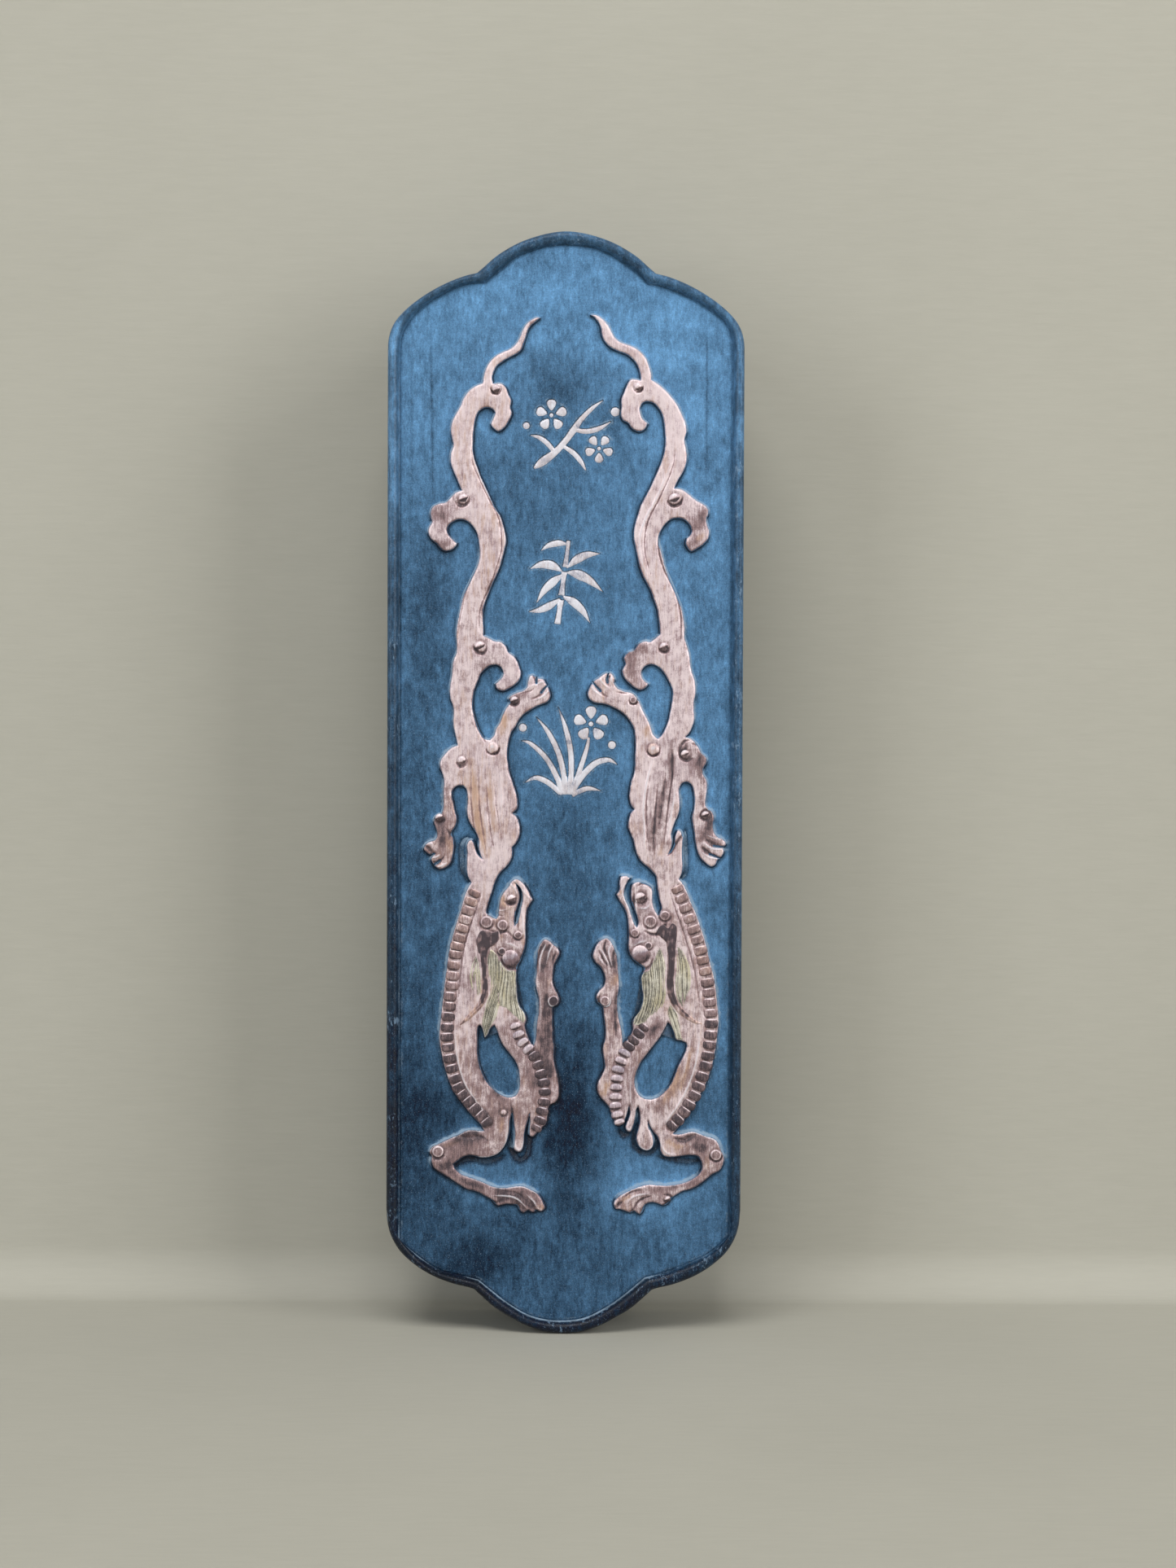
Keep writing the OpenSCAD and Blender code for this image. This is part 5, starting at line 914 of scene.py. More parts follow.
def ink_color(T, shade):
    """Slate ink under its bloom and painted sheen: shade is the display level of the green channel."""
    p = T.math("POWER", T.math("MAXIMUM", shade, 0.02), 2.2)
    n = T.t.nodes.new("ShaderNodeVectorMath")
    n.operation = "SCALE"
    n.inputs[0].default_value = INK_HUE
    T.put(n.inputs["Scale"], p)
    return T.vec("MAXIMUM", T.vec("ADD", n.outputs[0], INK_UNDER), [0.004, 0.006, 0.012])


def ink_layers(T):
    """Colour, roughness and height (mm) of the ink with its bloom and painted light."""
    shade, halo = T.attr("shade"), T.attr("halo")
    cloud = T.noise(8, 4, 0.62, shift=3.1)
    patch = T.noise(2.3, 4, 0.66, (1, 1, 1.4), shift=7.7, distort=0.6)
    streak = T.noise(0.42, 4, 0.7, (1, 1, 4.5), shift=1.3)
    broad = T.noise(1.5, 3, 0.6, (1, 1, 8), shift=5.9)
    weave = T.noise(0.34, 2, 0.6, (6, 6, 1), shift=9.2)
    grain = T.noise(0.26, 3, 0.75, shift=2.2)
    mottle = T.noise(1.0, 4, 0.7, (1, 1, 2.2), shift=14.3, distort=0.8)
    s = T.add(shade, T.around(cloud, 0.26), T.around(patch, 0.26), T.around(streak, 0.24), T.around(broad, 0.12),
              T.around(weave, 0.08), T.around(grain, 0.34), T.around(mottle, 0.26))
    base = ink_color(T, s)
    # pale bloom along the foot of the relief, together with painted light on edges and walls turned up
    ragged = T.add(halo, T.around(T.noise(0.5, 4, 0.75, shift=4.4), 1.3), T.around(T.noise(4.5, 2, 0.5, shift=8.8), 0.5))
    powder = T.rise(ragged, 0.26, 1.05)
    color = T.mix(T.mul(powder, 0.85), base, srgb(150, 172, 192))
    # tiny pale specks
    speck = T.rise(T.noise(0.20, 2, 0.6, shift=6.6), 0.61, 0.74)
    color = T.mix(T.mul(speck, 0.50), color, srgb(136, 160, 184))
    # and small bare spots
    pit = T.rise(T.noise(0.34, 2, 0.6, shift=16.6), 0.66, 0.78)
    color = T.mix(T.mul(pit, 0.45), color, srgb(24, 36, 50))
    rough = T.clamp(T.add(0.56, T.around(patch, 0.3), T.around(streak, 0.25), T.mul(powder, 0.25)))
    height = T.add(T.mul(streak, 0.035), T.mul(grain, 0.030), T.mul(patch, 0.05), T.mul(weave, 0.012))
    return color, rough, height, powder


def ink_material(name, gloss=False):
    T = Tree(name)
    color, rough, height, powder = ink_layers(T)
    if gloss:
        # the handled rim: polished, with a few bare dark spots
        rub = T.rise(T.noise(2.2, 3, 0.6, (1, 1, 3), shift=12.5), 0.42, 0.62)
        color = T.mix(T.mul(rub, 0.42), color, srgb(22, 32, 42))
        # bloom left in broken flecks on the crest
        fleck = T.rise(T.add(T.noise(0.55, 3, 0.7, (1, 1, 2.4), shift=18.2), T.around(T.noise(5.0, 2, 0.5, shift=19.9), 0.55)), 0.60, 0.74)
        color = T.mix(T.mul(fleck, 0.55), color, srgb(128, 156, 184))
        rough = T.clamp(T.add(0.36, T.around(T.noise(1.1, 2, 0.5, shift=3.7), 0.24), T.mul(powder, 0.3)))
    return T.finish(color, rough, T.bump(height, 1.0, 1.0), 0.0, 0.26 if gloss else 0.16)


def pigment_material(name, light, mid, deep, brown, dark, cool, metallic, across=(1, 1, 9)):
    """Rubbed metal pigment over the ink: paint says where it lies, worn how rubbed it is together with the painted
    shade it carries, warm its tone (below zero greyer), glow paler patches, mostly a painted highlight on edges, ridges
    and upper sides."""
    T = Tree(name)
    ink, ink_rough, ink_h, powder = ink_layers(T)
    paint, worn, warm, glow = T.attr("paint"), T.attr("worn"), T.attr("warm"), T.attr("glow")
    fine = T.noise(0.26, 3, 0.65, across, shift=1.9, distort=0.3)
    wide = T.noise(0.75, 3, 0.6, (1, 1, 6), shift=11.1, distort=0.6)
    tan = T.noise(0.55, 3, 0.65, (1, 1, 7), shift=21.7, distort=0.5)
    blotch = T.noise(1.5, 4, 0.62, shift=6.3)
    broad = T.noise(5.5, 2, 0.5, shift=2.6)
    grit = T.noise(0.17, 2, 0.7, shift=5.5)
    # light to mid by broad mottling and brush marks
    f = T.add(0.26, T.around(blotch, 1.3), T.around(broad, 0.7), T.around(fine, 1.3), T.around(wide, 0.9), T.around(grit, 0.8), T.mul(worn, 0.6))
    tone = T.mix(T.rise(f, 0.05, 0.95), light, mid)
    tone = T.mix(T.mul(T.rise(T.add(warm, T.around(tan, 1.6), T.around(blotch, 0.6), T.around(broad, 0.4)), 0.15, 1.05), 0.85), tone, deep)
    tone = T.mix(T.rise(T.add(T.mul(warm, -1.0), T.around(blotch, 0.5), T.around(fine, 0.4)), 0.05, 0.75), tone, cool)
    # rubbed through to the dark ground, and darkened where shade is painted
    r = T.add(T.mul(worn, 1.0), T.around(blotch, 0.95), T.around(fine, 0.75), T.around(grit, 0.55), T.around(wide, 0.4))
    thin = T.rise(r, 0.28, 0.72)
    tone = T.mix(T.mul(thin, 0.80), tone, brown)
    bare = T.rise(r, 0.62, 1.12)
    tone = T.mix(T.mul(bare, 0.92), tone, dark)
    # painted highlight: glow lightens the pigment towards a pale tint
    lit = T.rise(T.add(glow, T.around(T.noise(0.4, 3, 0.7, shift=13.7), 0.9), T.around(blotch, 0.5)), 0.22, 0.85)
    tone = T.mix(T.mul(lit, 0.66), tone, srgb(230, 226, 234))
    # the pigment stops raggedly at the edge
    edge = T.add(paint, T.around(T.noise(0.35, 3, 0.7, shift=9.9), 0.55))
    laid = T.rise(edge, 0.36, 0.60)
    color = T.mix(laid, ink, tone)
    rough = T.mix(laid, ink_rough, T.clamp(T.add(0.47, T.around(blotch, 0.2), T.around(fine, 0.22), T.mul(bare, 0.18))), "FLOAT")
    metal = T.mul(laid, T.math("MULTIPLY", T.math("SUBTRACT", 1.0, bare), metallic))
    height = T.add(T.mul(fine, 0.045), T.mul(blotch, 0.05), T.mul(grit, 0.02), T.mul(laid, 0.02))
    return T.finish(color, rough, T.bump(height, 1.0, 0.9), metal, 0.45)


def paper_material(name, color, dark):
    T = Tree(name)
    soft = T.noise(60, 3, 0.5, shift=1.0)
    fibre = T.noise(0.9, 3, 0.6, (8, 1, 1), shift=2.0)
    c = T.mix(T.clamp(T.add(T.mul(soft, 0.6), T.around(fibre, 0.5))), color, dark)
    return T.finish(c, 0.85, T.bump(fibre, 0.06, 0.5), 0.0, 0.2)

# ------------------------------------------------------------------ drawn detail, mm; lines are [x, z, half width, strength]
trenches_left = [
    [[-20.3, 92.6, 0.42, 1], [-20.6, 95, 0.42, 1], [-20.6, 97.7, 0.42, 1], [-19.9, 99, 0.4, 0.9], [-18.5, 99.3, 0.3, 0.5]],
    [[-20.2, 92.9, 0.4, 1], [-18.7, 90.8, 0.42, 1], [-17, 91.6, 0.42, 0.9], [-15, 91.7, 0.35, 0.6]],
    [[-17.8, 99, 0.3, 0.5], [-16.9, 97.2, 0.36, 0.9], [-16.4, 95.3, 0.3, 0.5]],
    [[-11.3, 43.8, 0.36, 0.6], [-11, 39, 0.42, 1], [-10, 36, 0.42, 1], [-8.7, 34.8, 0.42, 1], [-7.2, 36, 0.42, 1], [-6.8, 39, 0.4, 0.9], [-6.7, 42.5, 0.34, 0.5]],
    [[-21.5, 33.8, 0.36, 0.7], [-19, 35, 0.42, 1], [-15, 34.4, 0.42, 1], [-12, 35.5, 0.36, 0.7]],
]
trenches_right = [
    [[-24.1, 101, 0.36, 0.7], [-24.2, 97, 0.42, 1], [-24, 92.3, 0.42, 1], [-21.5, 91.6, 0.42, 1], [-19, 92.6, 0.38, 0.8]],
    [[-27.6, 35, 0.36, 0.7], [-25, 34.6, 0.42, 1], [-22, 35, 0.42, 1], [-19, 35.6, 0.36, 0.7]],
    [[-18.7, 39.5, 0.34, 0.6], [-18.2, 37.2, 0.42, 1], [-16.7, 36.2, 0.42, 1], [-15, 36.8, 0.42, 1], [-14.1, 38.4, 0.42, 1], [-14.2, 42, 0.34, 0.6]],
    [[-13, 40, 0.36, 0.7], [-12, 39.8, 0.4, 1], [-11.2, 40.8, 0.36, 0.7]],
]
# sunk, darker lines; negative strengths give instead a pale raised line near each side edge, its paleness a painted
# highlight
mould_lines = [
    [[-27, 197, 0.2, 0.8], [-26.8, 190, 0.24, 1], [-26.6, 178, 0.24, 1], [-26.5, 168, 0.2, 0.3]],
    [[-30.7, 198, 0.18, 0.3], [-30.7, 185, 0.2, 0.5], [-30.6, 170, 0.2, 0.15]],
    [[28, 199, 0.2, 0.8], [28, 188, 0.24, 1], [28, 168, 0.2, 0.3]],
    [[31, 200, 0.2, 0.7], [31, 194, 0.2, 0.5]],
    [[-32.4, 190, 0.2, -0.7], [-32.5, 140, 0.22, -0.9], [-32.4, 80, 0.22, -1], [-32.2, 24, 0.2, -0.9]],
    [[32.6, 150, 0.2, -0.5], [32.7, 100, 0.22, -0.7], [32.6, 30, 0.2, -0.6]],
]
scratch_lines = [
    [[2, 194, 0.09, 0.8], [6, 191.6, 0.11, 1], [10, 189, 0.09, 0.8]],
    [[-3, 20, 0.09, 0.7], [3, 19.7, 0.11, 1], [8, 19.3, 0.09, 0.7]],
    [[-14, 160, 0.08, 0.2], [-6, 166, 0.1, 0.4], [2, 168, 0.08, 0.2]],
    [[14, 66, 0.08, 0.2], [4, 72, 0.1, 0.4], [-2, 73, 0.08, 0.2]],
]
# bloom with painted sheen and painted shade: centre x, z, radii, change
shade_spots = [
    (1, 42, 5.0, 15, -0.17), (1, 60, 5, 30, -0.05), (-29, 42, 6, 20, -0.095), (-17, 14, 6, 5, -0.150), (-7, 166, 11, 12, -0.085),
    (-27, 146, 4, 16, -0.075), (1, 97, 8, 14, -0.075), (15, 29, 9, 7, 0.125), (-13, 30, 8, 5, 0.085),
    (27, 30, 9, 10, 0.020), (-4, 192, 5, 5, -0.075), (14, 193, 9, 10, 0.025), (-9, 87, 3, 8, -0.05),
    (-10, 22, 4, 5, -0.06), (21, 160, 8, 20, 0.0), (-23, 80, 5, 12, -0.03), (0, 132, 14, 10, 0.01), (20, 14, 6, 4, -0.02),
    (0, 186, 12, 9, -0.10), (-28, 135, 6, 40, -0.02), (0, 95, 33, 28, 0.032), (-24, 70, 8, 16, 0.02),
]
grooves_left = [
    # line along the inner edge of the tail
    [[-18.9, 177.5, 0.12, 0.2], [-18.5, 174, 0.14, 0.7], [-17.5, 171.5, 0.14, 0.8], [-15.5, 167.3, 0.14, 0.8], [-14.2, 165, 0.14, 0.8], [-13.4, 163.2, 0.14, 0.8],
     [-12.9, 161, 0.14, 0.8], [-12.7, 158.5, 0.14, 0.8], [-12.8, 156.5, 0.14, 0.8], [-13.8, 153, 0.14, 0.8], [-14.9, 150, 0.14, 0.8], [-16.8, 145.5, 0.14, 0.7], [-17.1, 143, 0.14, 0.7], [-17, 140.5, 0.12, 0.3]],
    [[-17.4, 153.5, 0.12, 0.3], [-18.9, 150.7, 0.14, 0.7], [-20, 148, 0.14, 0.7], [-20.6, 145, 0.14, 0.7], [-21.2, 142, 0.14, 0.6], [-21.4, 139, 0.12, 0.2]],
    [[-18.6, 127, 0.12, 0.3], [-17.6, 121.9, 0.16, 0.7], [-15.8, 118.5, 0.14, 0.6]],
    # under the knobs
    [[-22, 166.3, 0.2, 0.4], [-21.2, 165.6, 0.34, 1], [-20.3, 165.5, 0.34, 1], [-19.4, 166.2, 0.2, 0.4]],
    [[-15, 188.8, 0.16, 0.5], [-14.5, 187.9, 0.26, 1], [-13.6, 187.6, 0.2, 0.6]],
    [[-18.1, 137.3, 0.2, 0.5], [-17.4, 136.4, 0.32, 1], [-16.4, 136.1, 0.3, 0.9], [-15.7, 136.7, 0.16, 0.4]],
    [[-11.2, 126.9, 0.2, 0.5], [-10.5, 126.1, 0.34, 1], [-9.5, 126.3, 0.24, 0.7]],
    [[-14.6, 116.1, 0.18, 0.6], [-13.6, 116.3, 0.26, 1], [-13.1, 117.2, 0.2, 0.8]],
    [[-21.6, 114.3, 0.18, 0.5], [-20.8, 113.5, 0.3, 1], [-19.8, 113.9, 0.2, 0.6]],
    [[-25.9, 103.2, 0.18, 0.5], [-25.1, 102.3, 0.32, 1], [-24.1, 102.8, 0.22, 0.7]],
    # torso folds
    [[-20.4, 113, 0.16, 0.2], [-20.2, 107, 0.2, 0.6], [-19.6, 101, 0.16, 0.2]],
    [[-18.7, 114, 0.16, 0.2], [-18.6, 106, 0.2, 0.7], [-17.8, 99.5, 0.18, 0.5], [-17, 96, 0.14, 0.2]],
    [[-17.2, 113, 0.16, 0.2], [-17, 106, 0.2, 0.7], [-16, 99, 0.18, 0.5], [-15.3, 95, 0.14, 0.2]],
    [[-15.7, 112, 0.16, 0.2], [-15.3, 105, 0.18, 0.6], [-14.3, 98, 0.18, 0.5]],
    [[-14.2, 112, 0.14, 0.2], [-13.6, 106, 0.18, 0.5], [-12.6, 99, 0.16, 0.3]],
    # claws
    [[-4, 129.4, 0.16, 0.6], [-4.7, 128.4, 0.28, 1], [-5.5, 127.6, 0.22, 0.8], [-6.5, 127.2, 0.14, 0.3]],
    [[-6.3, 131.7, 0.2, 0.7], [-5.9, 130.9, 0.24, 1], [-5.7, 130, 0.16, 0.5]],
    [[-8.8, 128.2, 0.14, 0.2], [-7.2, 128.6, 0.18, 0.5], [-6.2, 129.2, 0.14, 0.3]],
    [[-27.9, 97.8, 0.2, 0.6], [-27.1, 97.3, 0.38, 1], [-26.4, 96.5, 0.32, 1], [-25.8, 96.2, 0.16, 0.4]],
    [[-26.1, 94.6, 0.2, 0.8], [-25.2, 94.4, 0.34, 1], [-24.4, 95.2, 0.24, 0.7], [-23.9, 96, 0.14, 0.3]],
    [[-23.3, 101, 0.16, 0.4], [-22.9, 100, 0.22, 0.8], [-23, 99.2, 0.14, 0.3]],
    # line between the back beads and the smooth band
    [[-16.7, 87.8, 0.12, 0.3], [-17.9, 84.3, 0.14, 0.7], [-18.6, 82.3, 0.14, 0.7], [-19.7, 78.8, 0.14, 0.7], [-20.3, 75.8, 0.14, 0.7], [-20.7, 71.7, 0.14, 0.6], [-21, 67.6, 0.14, 0.4]],
    # head: cheek, brow, eye, lip
    [[-12.5, 75.2, 0.2, 0.4], [-12, 74.1, 0.3, 1], [-10.4, 73.2, 0.34, 1], [-9, 74.2, 0.26, 0.9], [-8.6, 75.3, 0.16, 0.4]],
    [[-13.3, 87.4, 0.2, 0.3], [-12.9, 88.6, 0.28, 1], [-12, 89.6, 0.28, 1], [-11, 90, 0.2, 0.5]],
    [[-12, 86.7, 0.18, 0.5], [-11.1, 86.2, 0.26, 1], [-10.1, 86.6, 0.22, 0.9], [-9.6, 87.4, 0.14, 0.4]],
    [[-14.6, 80.9, 0.2, 0.6], [-13.2, 80.4, 0.26, 1], [-11.4, 80.7, 0.22, 0.8], [-10.2, 79.5, 0.16, 0.4]],
    [[-9.9, 84.8, 0.14, 0.3], [-9.3, 83, 0.2, 0.9], [-9.2, 81.2, 0.16, 0.4]],
    [[-14.6, 85.6, 0.14, 0.2], [-13.6, 84.2, 0.18, 0.7], [-12, 83.8, 0.14, 0.4]],
    # foreleg: hollows between the claws, spur
    [[-4.3, 72.6, 0.2, 0.4], [-4, 74.8, 0.3, 1], [-3.6, 76.6, 0.3, 1], [-2.9, 78, 0.2, 0.5]],
    [[-5.6, 73.4, 0.2, 0.4], [-5.3, 75.6, 0.26, 0.9], [-4.6, 77.6, 0.2, 0.6]],
    [[-2.6, 73.6, 0.16, 0.3], [-2.2, 75.2, 0.2, 0.8], [-1.6, 76.6, 0.16, 0.4]],
    [[-3.4, 68.3, 0.16, 0.4], [-3.6, 66.9, 0.22, 0.9], [-3, 65.6, 0.18, 0.7], [-1.8, 65.3, 0.14, 0.3]],
    # haunch, knee, shin
    [[-22.5, 40, 0.2, 0.3], [-19.5, 39.4, 0.34, 0.9], [-16.8, 39.6, 0.3, 0.8], [-15.2, 38.9, 0.2, 0.3]],
    [[-26.3, 36, 0.2, 0.6], [-25.6, 35.2, 0.28, 1], [-24.4, 35.4, 0.22, 0.7], [-23.9, 36.4, 0.14, 0.3]],
    [[-10.6, 46.6, 0.16, 0.2], [-10.2, 43.6, 0.2, 0.8], [-10.6, 40.5, 0.18, 0.6]],
    # foot
    [[-14.6, 26.9, 0.2, 0.5], [-13.4, 26.3, 0.3, 1], [-12.3, 26.9, 0.2, 0.4]],
    [[-9.6, 26.3, 0.3, 0.6], [-8.8, 25.5, 0.5, 1], [-8, 25.1, 0.4, 0.9]],
    [[-6.6, 26.2, 0.24, 0.6], [-6.1, 25.4, 0.34, 1], [-5.6, 24.9, 0.24, 0.8]],
    [[-12.6, 28.7, 0.14, 0.2], [-10, 28.5, 0.18, 0.7], [-8.4, 27.7, 0.18, 0.7], [-7.4, 26.6, 0.14, 0.3]],
]
ridges_left = [
    [[-18.5, 176, 0.2, 0.2], [-17.1, 171.4, 0.22, 0.8], [-14.7, 166.4, 0.22, 0.9], [-12.6, 162.6, 0.2, 0.8], [-12.1, 158.5, 0.18, 0.6], [-13.1, 153.2, 0.18, 0.7], [-15.6, 146.7, 0.18, 0.5], [-16.5, 141, 0.16, 0.3]],
    [[-18, 153.4, 0.14, 0.3], [-19.4, 150.7, 0.16, 0.7], [-20.5, 148, 0.16, 0.7], [-21.3, 145, 0.14, 0.4]],
    # inside the back beads, low down
    [[-21.7, 62, 0.16, 0.4], [-21.5, 57, 0.18, 0.9], [-20.7, 53, 0.18, 1], [-19.4, 49.6, 0.18, 1], [-17, 46, 0.18, 1], [-14.8, 43.5, 0.16, 0.6]],
    # haunch and tongue
    [[-11.2, 44.2, 0.16, 0.5], [-11.3, 40, 0.2, 1], [-12, 37.5, 0.2, 1], [-14, 35.7, 0.2, 1], [-17, 35.5, 0.16, 0.6]],
    [[-22, 39.5, 0.16, 0.5], [-20, 40.9, 0.2, 1], [-18, 41.2, 0.2, 1], [-16.5, 40.7, 0.16, 0.5]],
    [[-10, 42, 0.14, 0.3], [-9.9, 38.5, 0.18, 0.9], [-9, 36.9, 0.18, 1], [-8.1, 38.2, 0.18, 0.9], [-7.8, 42, 0.14, 0.4]],
    # shin, foot
    [[-20, 32.9, 0.2, 0.7], [-17, 31.2, 0.22, 1], [-14, 29.9, 0.22, 1], [-11, 29.5, 0.18, 0.8], [-8.4, 29.6, 0.14, 0.6], [-6.6, 29, 0.14, 0.6], [-5, 28.1, 0.12, 0.4]],
    [[-14, 27.8, 0.16, 0.5], [-11, 27.7, 0.2, 1], [-9, 27, 0.2, 1], [-7.4, 25.4, 0.16, 0.6]],
    [[-7.5, 28.1, 0.14, 0.5], [-6, 26.8, 0.18, 1], [-5.1, 25.3, 0.14, 0.6]],
    # head
    [[-10, 91, 0.16, 0.6], [-8.6, 89.2, 0.18, 1], [-7.1, 87.5, 0.16, 0.7]],
    [[-8.5, 85.4, 0.14, 0.5], [-8.3, 83, 0.18, 1], [-8.1, 80.4, 0.14, 0.5]],
    [[-13.9, 86.3, 0.14, 0.4], [-13.3, 85, 0.18, 0.8], [-11.6, 85.1, 0.16, 0.6], [-10.2, 85.6, 0.12, 0.3]],
    [[-11.6, 90.8, 0.14, 0.4], [-10, 89.4, 0.16, 0.8], [-9.2, 87.8, 0.14, 0.5]],
    [[-11.9, 78.4, 0.14, 0.4], [-10.6, 78.2, 0.18, 0.9], [-9.2, 77.4, 0.14, 0.5]],
    # foreleg
    [[-4.9, 72.6, 0.16, 0.5], [-4.7, 75.6, 0.2, 1], [-3.7, 78.1, 0.16, 0.7]],
    [[-3.5, 74.4, 0.16, 0.5], [-3, 76.6, 0.2, 1], [-2.3, 78, 0.14, 0.6]],
    [[-2.8, 67.8, 0.14, 0.5], [-3.1, 66.9, 0.18, 1], [-2.7, 66, 0.18, 1], [-1.8, 65.8, 0.14, 0.5]],
    [[-5, 70.5, 0.14, 0.3], [-4.6, 65, 0.16, 0.6], [-4.9, 60, 0.14, 0.3]],
    # claws of the arms
    [[-9, 128.9, 0.14, 0.3], [-7, 129.5, 0.16, 0.6], [-5.2, 130.3, 0.2, 1], [-4.3, 130.5, 0.16, 0.8]],
    [[-6.5, 126.7, 0.14, 0.3], [-4.4, 127.6, 0.2, 1], [-3.4, 128.7, 0.18, 1]],
    [[-7.1, 130.6, 0.14, 0.5], [-6.9, 131.5, 0.16, 0.9]],
    [[-28.2, 97.9, 0.14, 0.5], [-27.3, 98.4, 0.16, 0.9], [-26.2, 98, 0.14, 0.6]],
    [[-26.4, 95.4, 0.14, 0.7], [-25.5, 95.6, 0.2, 1], [-24.8, 96, 0.14, 0.5]],
    [[-25.4, 93.6, 0.14, 0.7], [-24.4, 93.8, 0.2, 1], [-23.5, 94.4, 0.14, 0.7]],
    # edge of the torso over the arm
    [[-21.8, 110.5, 0.16, 0.3], [-21.6, 106, 0.18, 0.7], [-21.2, 101, 0.16, 0.4]],
    [[-12.9, 112, 0.16, 0.3], [-12.5, 107, 0.18, 0.6], [-13, 103.4, 0.16, 0.3]],
]
# dark stains without depth, and warm streaks
stains = {
    "left": [
        [[-26.6, 165.5, 0.8, 0.3], [-25.4, 164.3, 1, 0.5], [-24.4, 163, 0.8, 0.3]], [[-25.8, 158.2, 0.7, 0.4], [-24.8, 157, 0.9, 0.5], [-23.8, 157.8, 0.6, 0.4]],
        [[-11.6, 126.9, 0.5, 0.3], [-10.3, 126.3, 0.6, 0.5], [-9.2, 127, 0.5, 0.3]], [[-15.8, 133.5, 0.7, 0.3], [-14.6, 131.6, 0.9, 0.45], [-14.4, 129.4, 0.7, 0.3]],
        [[-24.9, 108.5, 0.7, 0.3], [-25.2, 105.5, 0.8, 0.45], [-24.6, 101, 0.9, 0.5], [-24.5, 98, 0.7, 0.5]],
        [[-15.4, 71.8, 0.5, 0.5], [-14.8, 86.4, 0.1, 0]], [[-14, 88, 0.6, 0.3], [-12.8, 86, 0.7, 0.4], [-11.8, 84.9, 0.5, 0.3]],
        [[-4.3, 71, 0.8, 0.4], [-3.9, 68, 0.8, 0.4], [-3.6, 63, 1, 0.4], [-3.2, 58, 0.8, 0.35]],
        [[-4, 78.4, 0.7, 0.4], [-3.2, 76, 0.9, 0.5], [-4.4, 74, 0.7, 0.4]],
        [[-20.6, 39.2, 1, 0.6], [-18, 39.5, 1.1, 0.6], [-15.8, 38.6, 0.8, 0.4]], [[-14, 33.5, 0.1, 0], [-13, 28.3, 0.9, 0.4], [-10, 27.2, 1, 0.5], [-6.4, 26.4, 1, 0.5]],
        [[-23.6, 33.5, 0.9, 0.4], [-20.6, 31, 0.8, 0.35], [-16.5, 29.3, 0.8, 0.35]],
        [[-16.3, 58, 0.8, 0.2], [-16.8, 54, 0.8, 0.35], [-14.8, 50, 0.8, 0.35], [-11.8, 46.8, 0.7, 0.3]],
        [[-6.6, 62.4, 0.7, 0.3], [-5, 60, 0.8, 0.4], [-3.4, 56.5, 0.7, 0.35], [-2.6, 52, 0.6, 0.3]],
    ],
    "right": [
        [[-28, 165.2, 0.8, 0.3], [-27, 163.2, 1, 0.5], [-26.2, 161.4, 0.8, 0.3]], [[-26, 158.4, 0.6, 0.3], [-24.8, 158, 0.7, 0.35]],
        [[-17.6, 136.3, 0.7, 0.35], [-15, 137.2, 0.9, 0.45], [-13, 135.8, 0.8, 0.45], [-13.2, 132.8, 0.8, 0.4]],
        [[-27.4, 117, 0.8, 0.4], [-27, 113.6, 1, 0.5], [-27.4, 109.5, 0.8, 0.4], [-27.5, 106.5, 0.6, 0.3]], [[-29, 103.4, 0.8, 0.4], [-28.4, 100.4, 0.9, 0.5], [-27, 99.4, 0.6, 0.3]],
        [[-21.3, 119, 0.4, 0.3], [-21.4, 115, 0.6, 0.55], [-21, 111.5, 0.5, 0.4]], [[-20, 111, 0.6, 0.3], [-19.4, 107, 0.8, 0.35], [-18.8, 103.6, 0.7, 0.3]],
        [[-18.4, 104, 0.5, 0.2], [-17.6, 101, 0.7, 0.35], [-17.5, 97.4, 0.5, 0.3]], [[-30.6, 98.3, 0.5, 0.7], [-29.2, 98.6, 0.6, 0.9], [-28.4, 99.2, 0.3, 0.6]],
        [[-29, 96.6, 0.4, 0.6], [-28, 97.1, 0.5, 0.9], [-27.5, 97.8, 0.3, 0.5]], [[-24.2, 117.8, 0.5, 0.7], [-23.7, 116.6, 0.6, 0.9], [-24.4, 115.6, 0.5, 0.8]],
        [[-10.6, 77.5, 0.5, 0.7], [-10, 75, 0.6, 0.8], [-10.2, 73, 0.5, 0.5]], [[-10.4, 68.5, 0.6, 0.3], [-10.3, 65, 0.5, 0.5], [-10.5, 60, 0.5, 0.3]],
        [[-19.4, 62.6, 0.7, 0.4], [-18, 61.2, 0.8, 0.5], [-17, 59.6, 0.6, 0.3]], [[-14.8, 83, 0.5, 0.3], [-15, 86, 0.7, 0.4], [-15.6, 88.8, 0.7, 0.4]],
        [[-28.8, 37.6, 0.6, 0.5], [-27.6, 37.4, 0.9, 0.7], [-26.4, 38, 0.6, 0.4]], [[-26.2, 40, 0.4, 0.6], [-25, 39.5, 0.6, 1], [-23.6, 39.1, 0.6, 1], [-22.2, 39.6, 0.3, 0.5]],
        [[-24, 31.4, 0.6, 0.3], [-21, 29.4, 0.8, 0.35], [-17.6, 29.2, 0.6, 0.3]], [[-15.6, 55, 0.6, 0.3], [-14, 50, 0.6, 0.35], [-13.8, 46, 0.5, 0.3]],
        [[-11.2, 26.4, 0.3, 0.8], [-10.7, 25.8, 0.3, 0.8]],
    ],
}
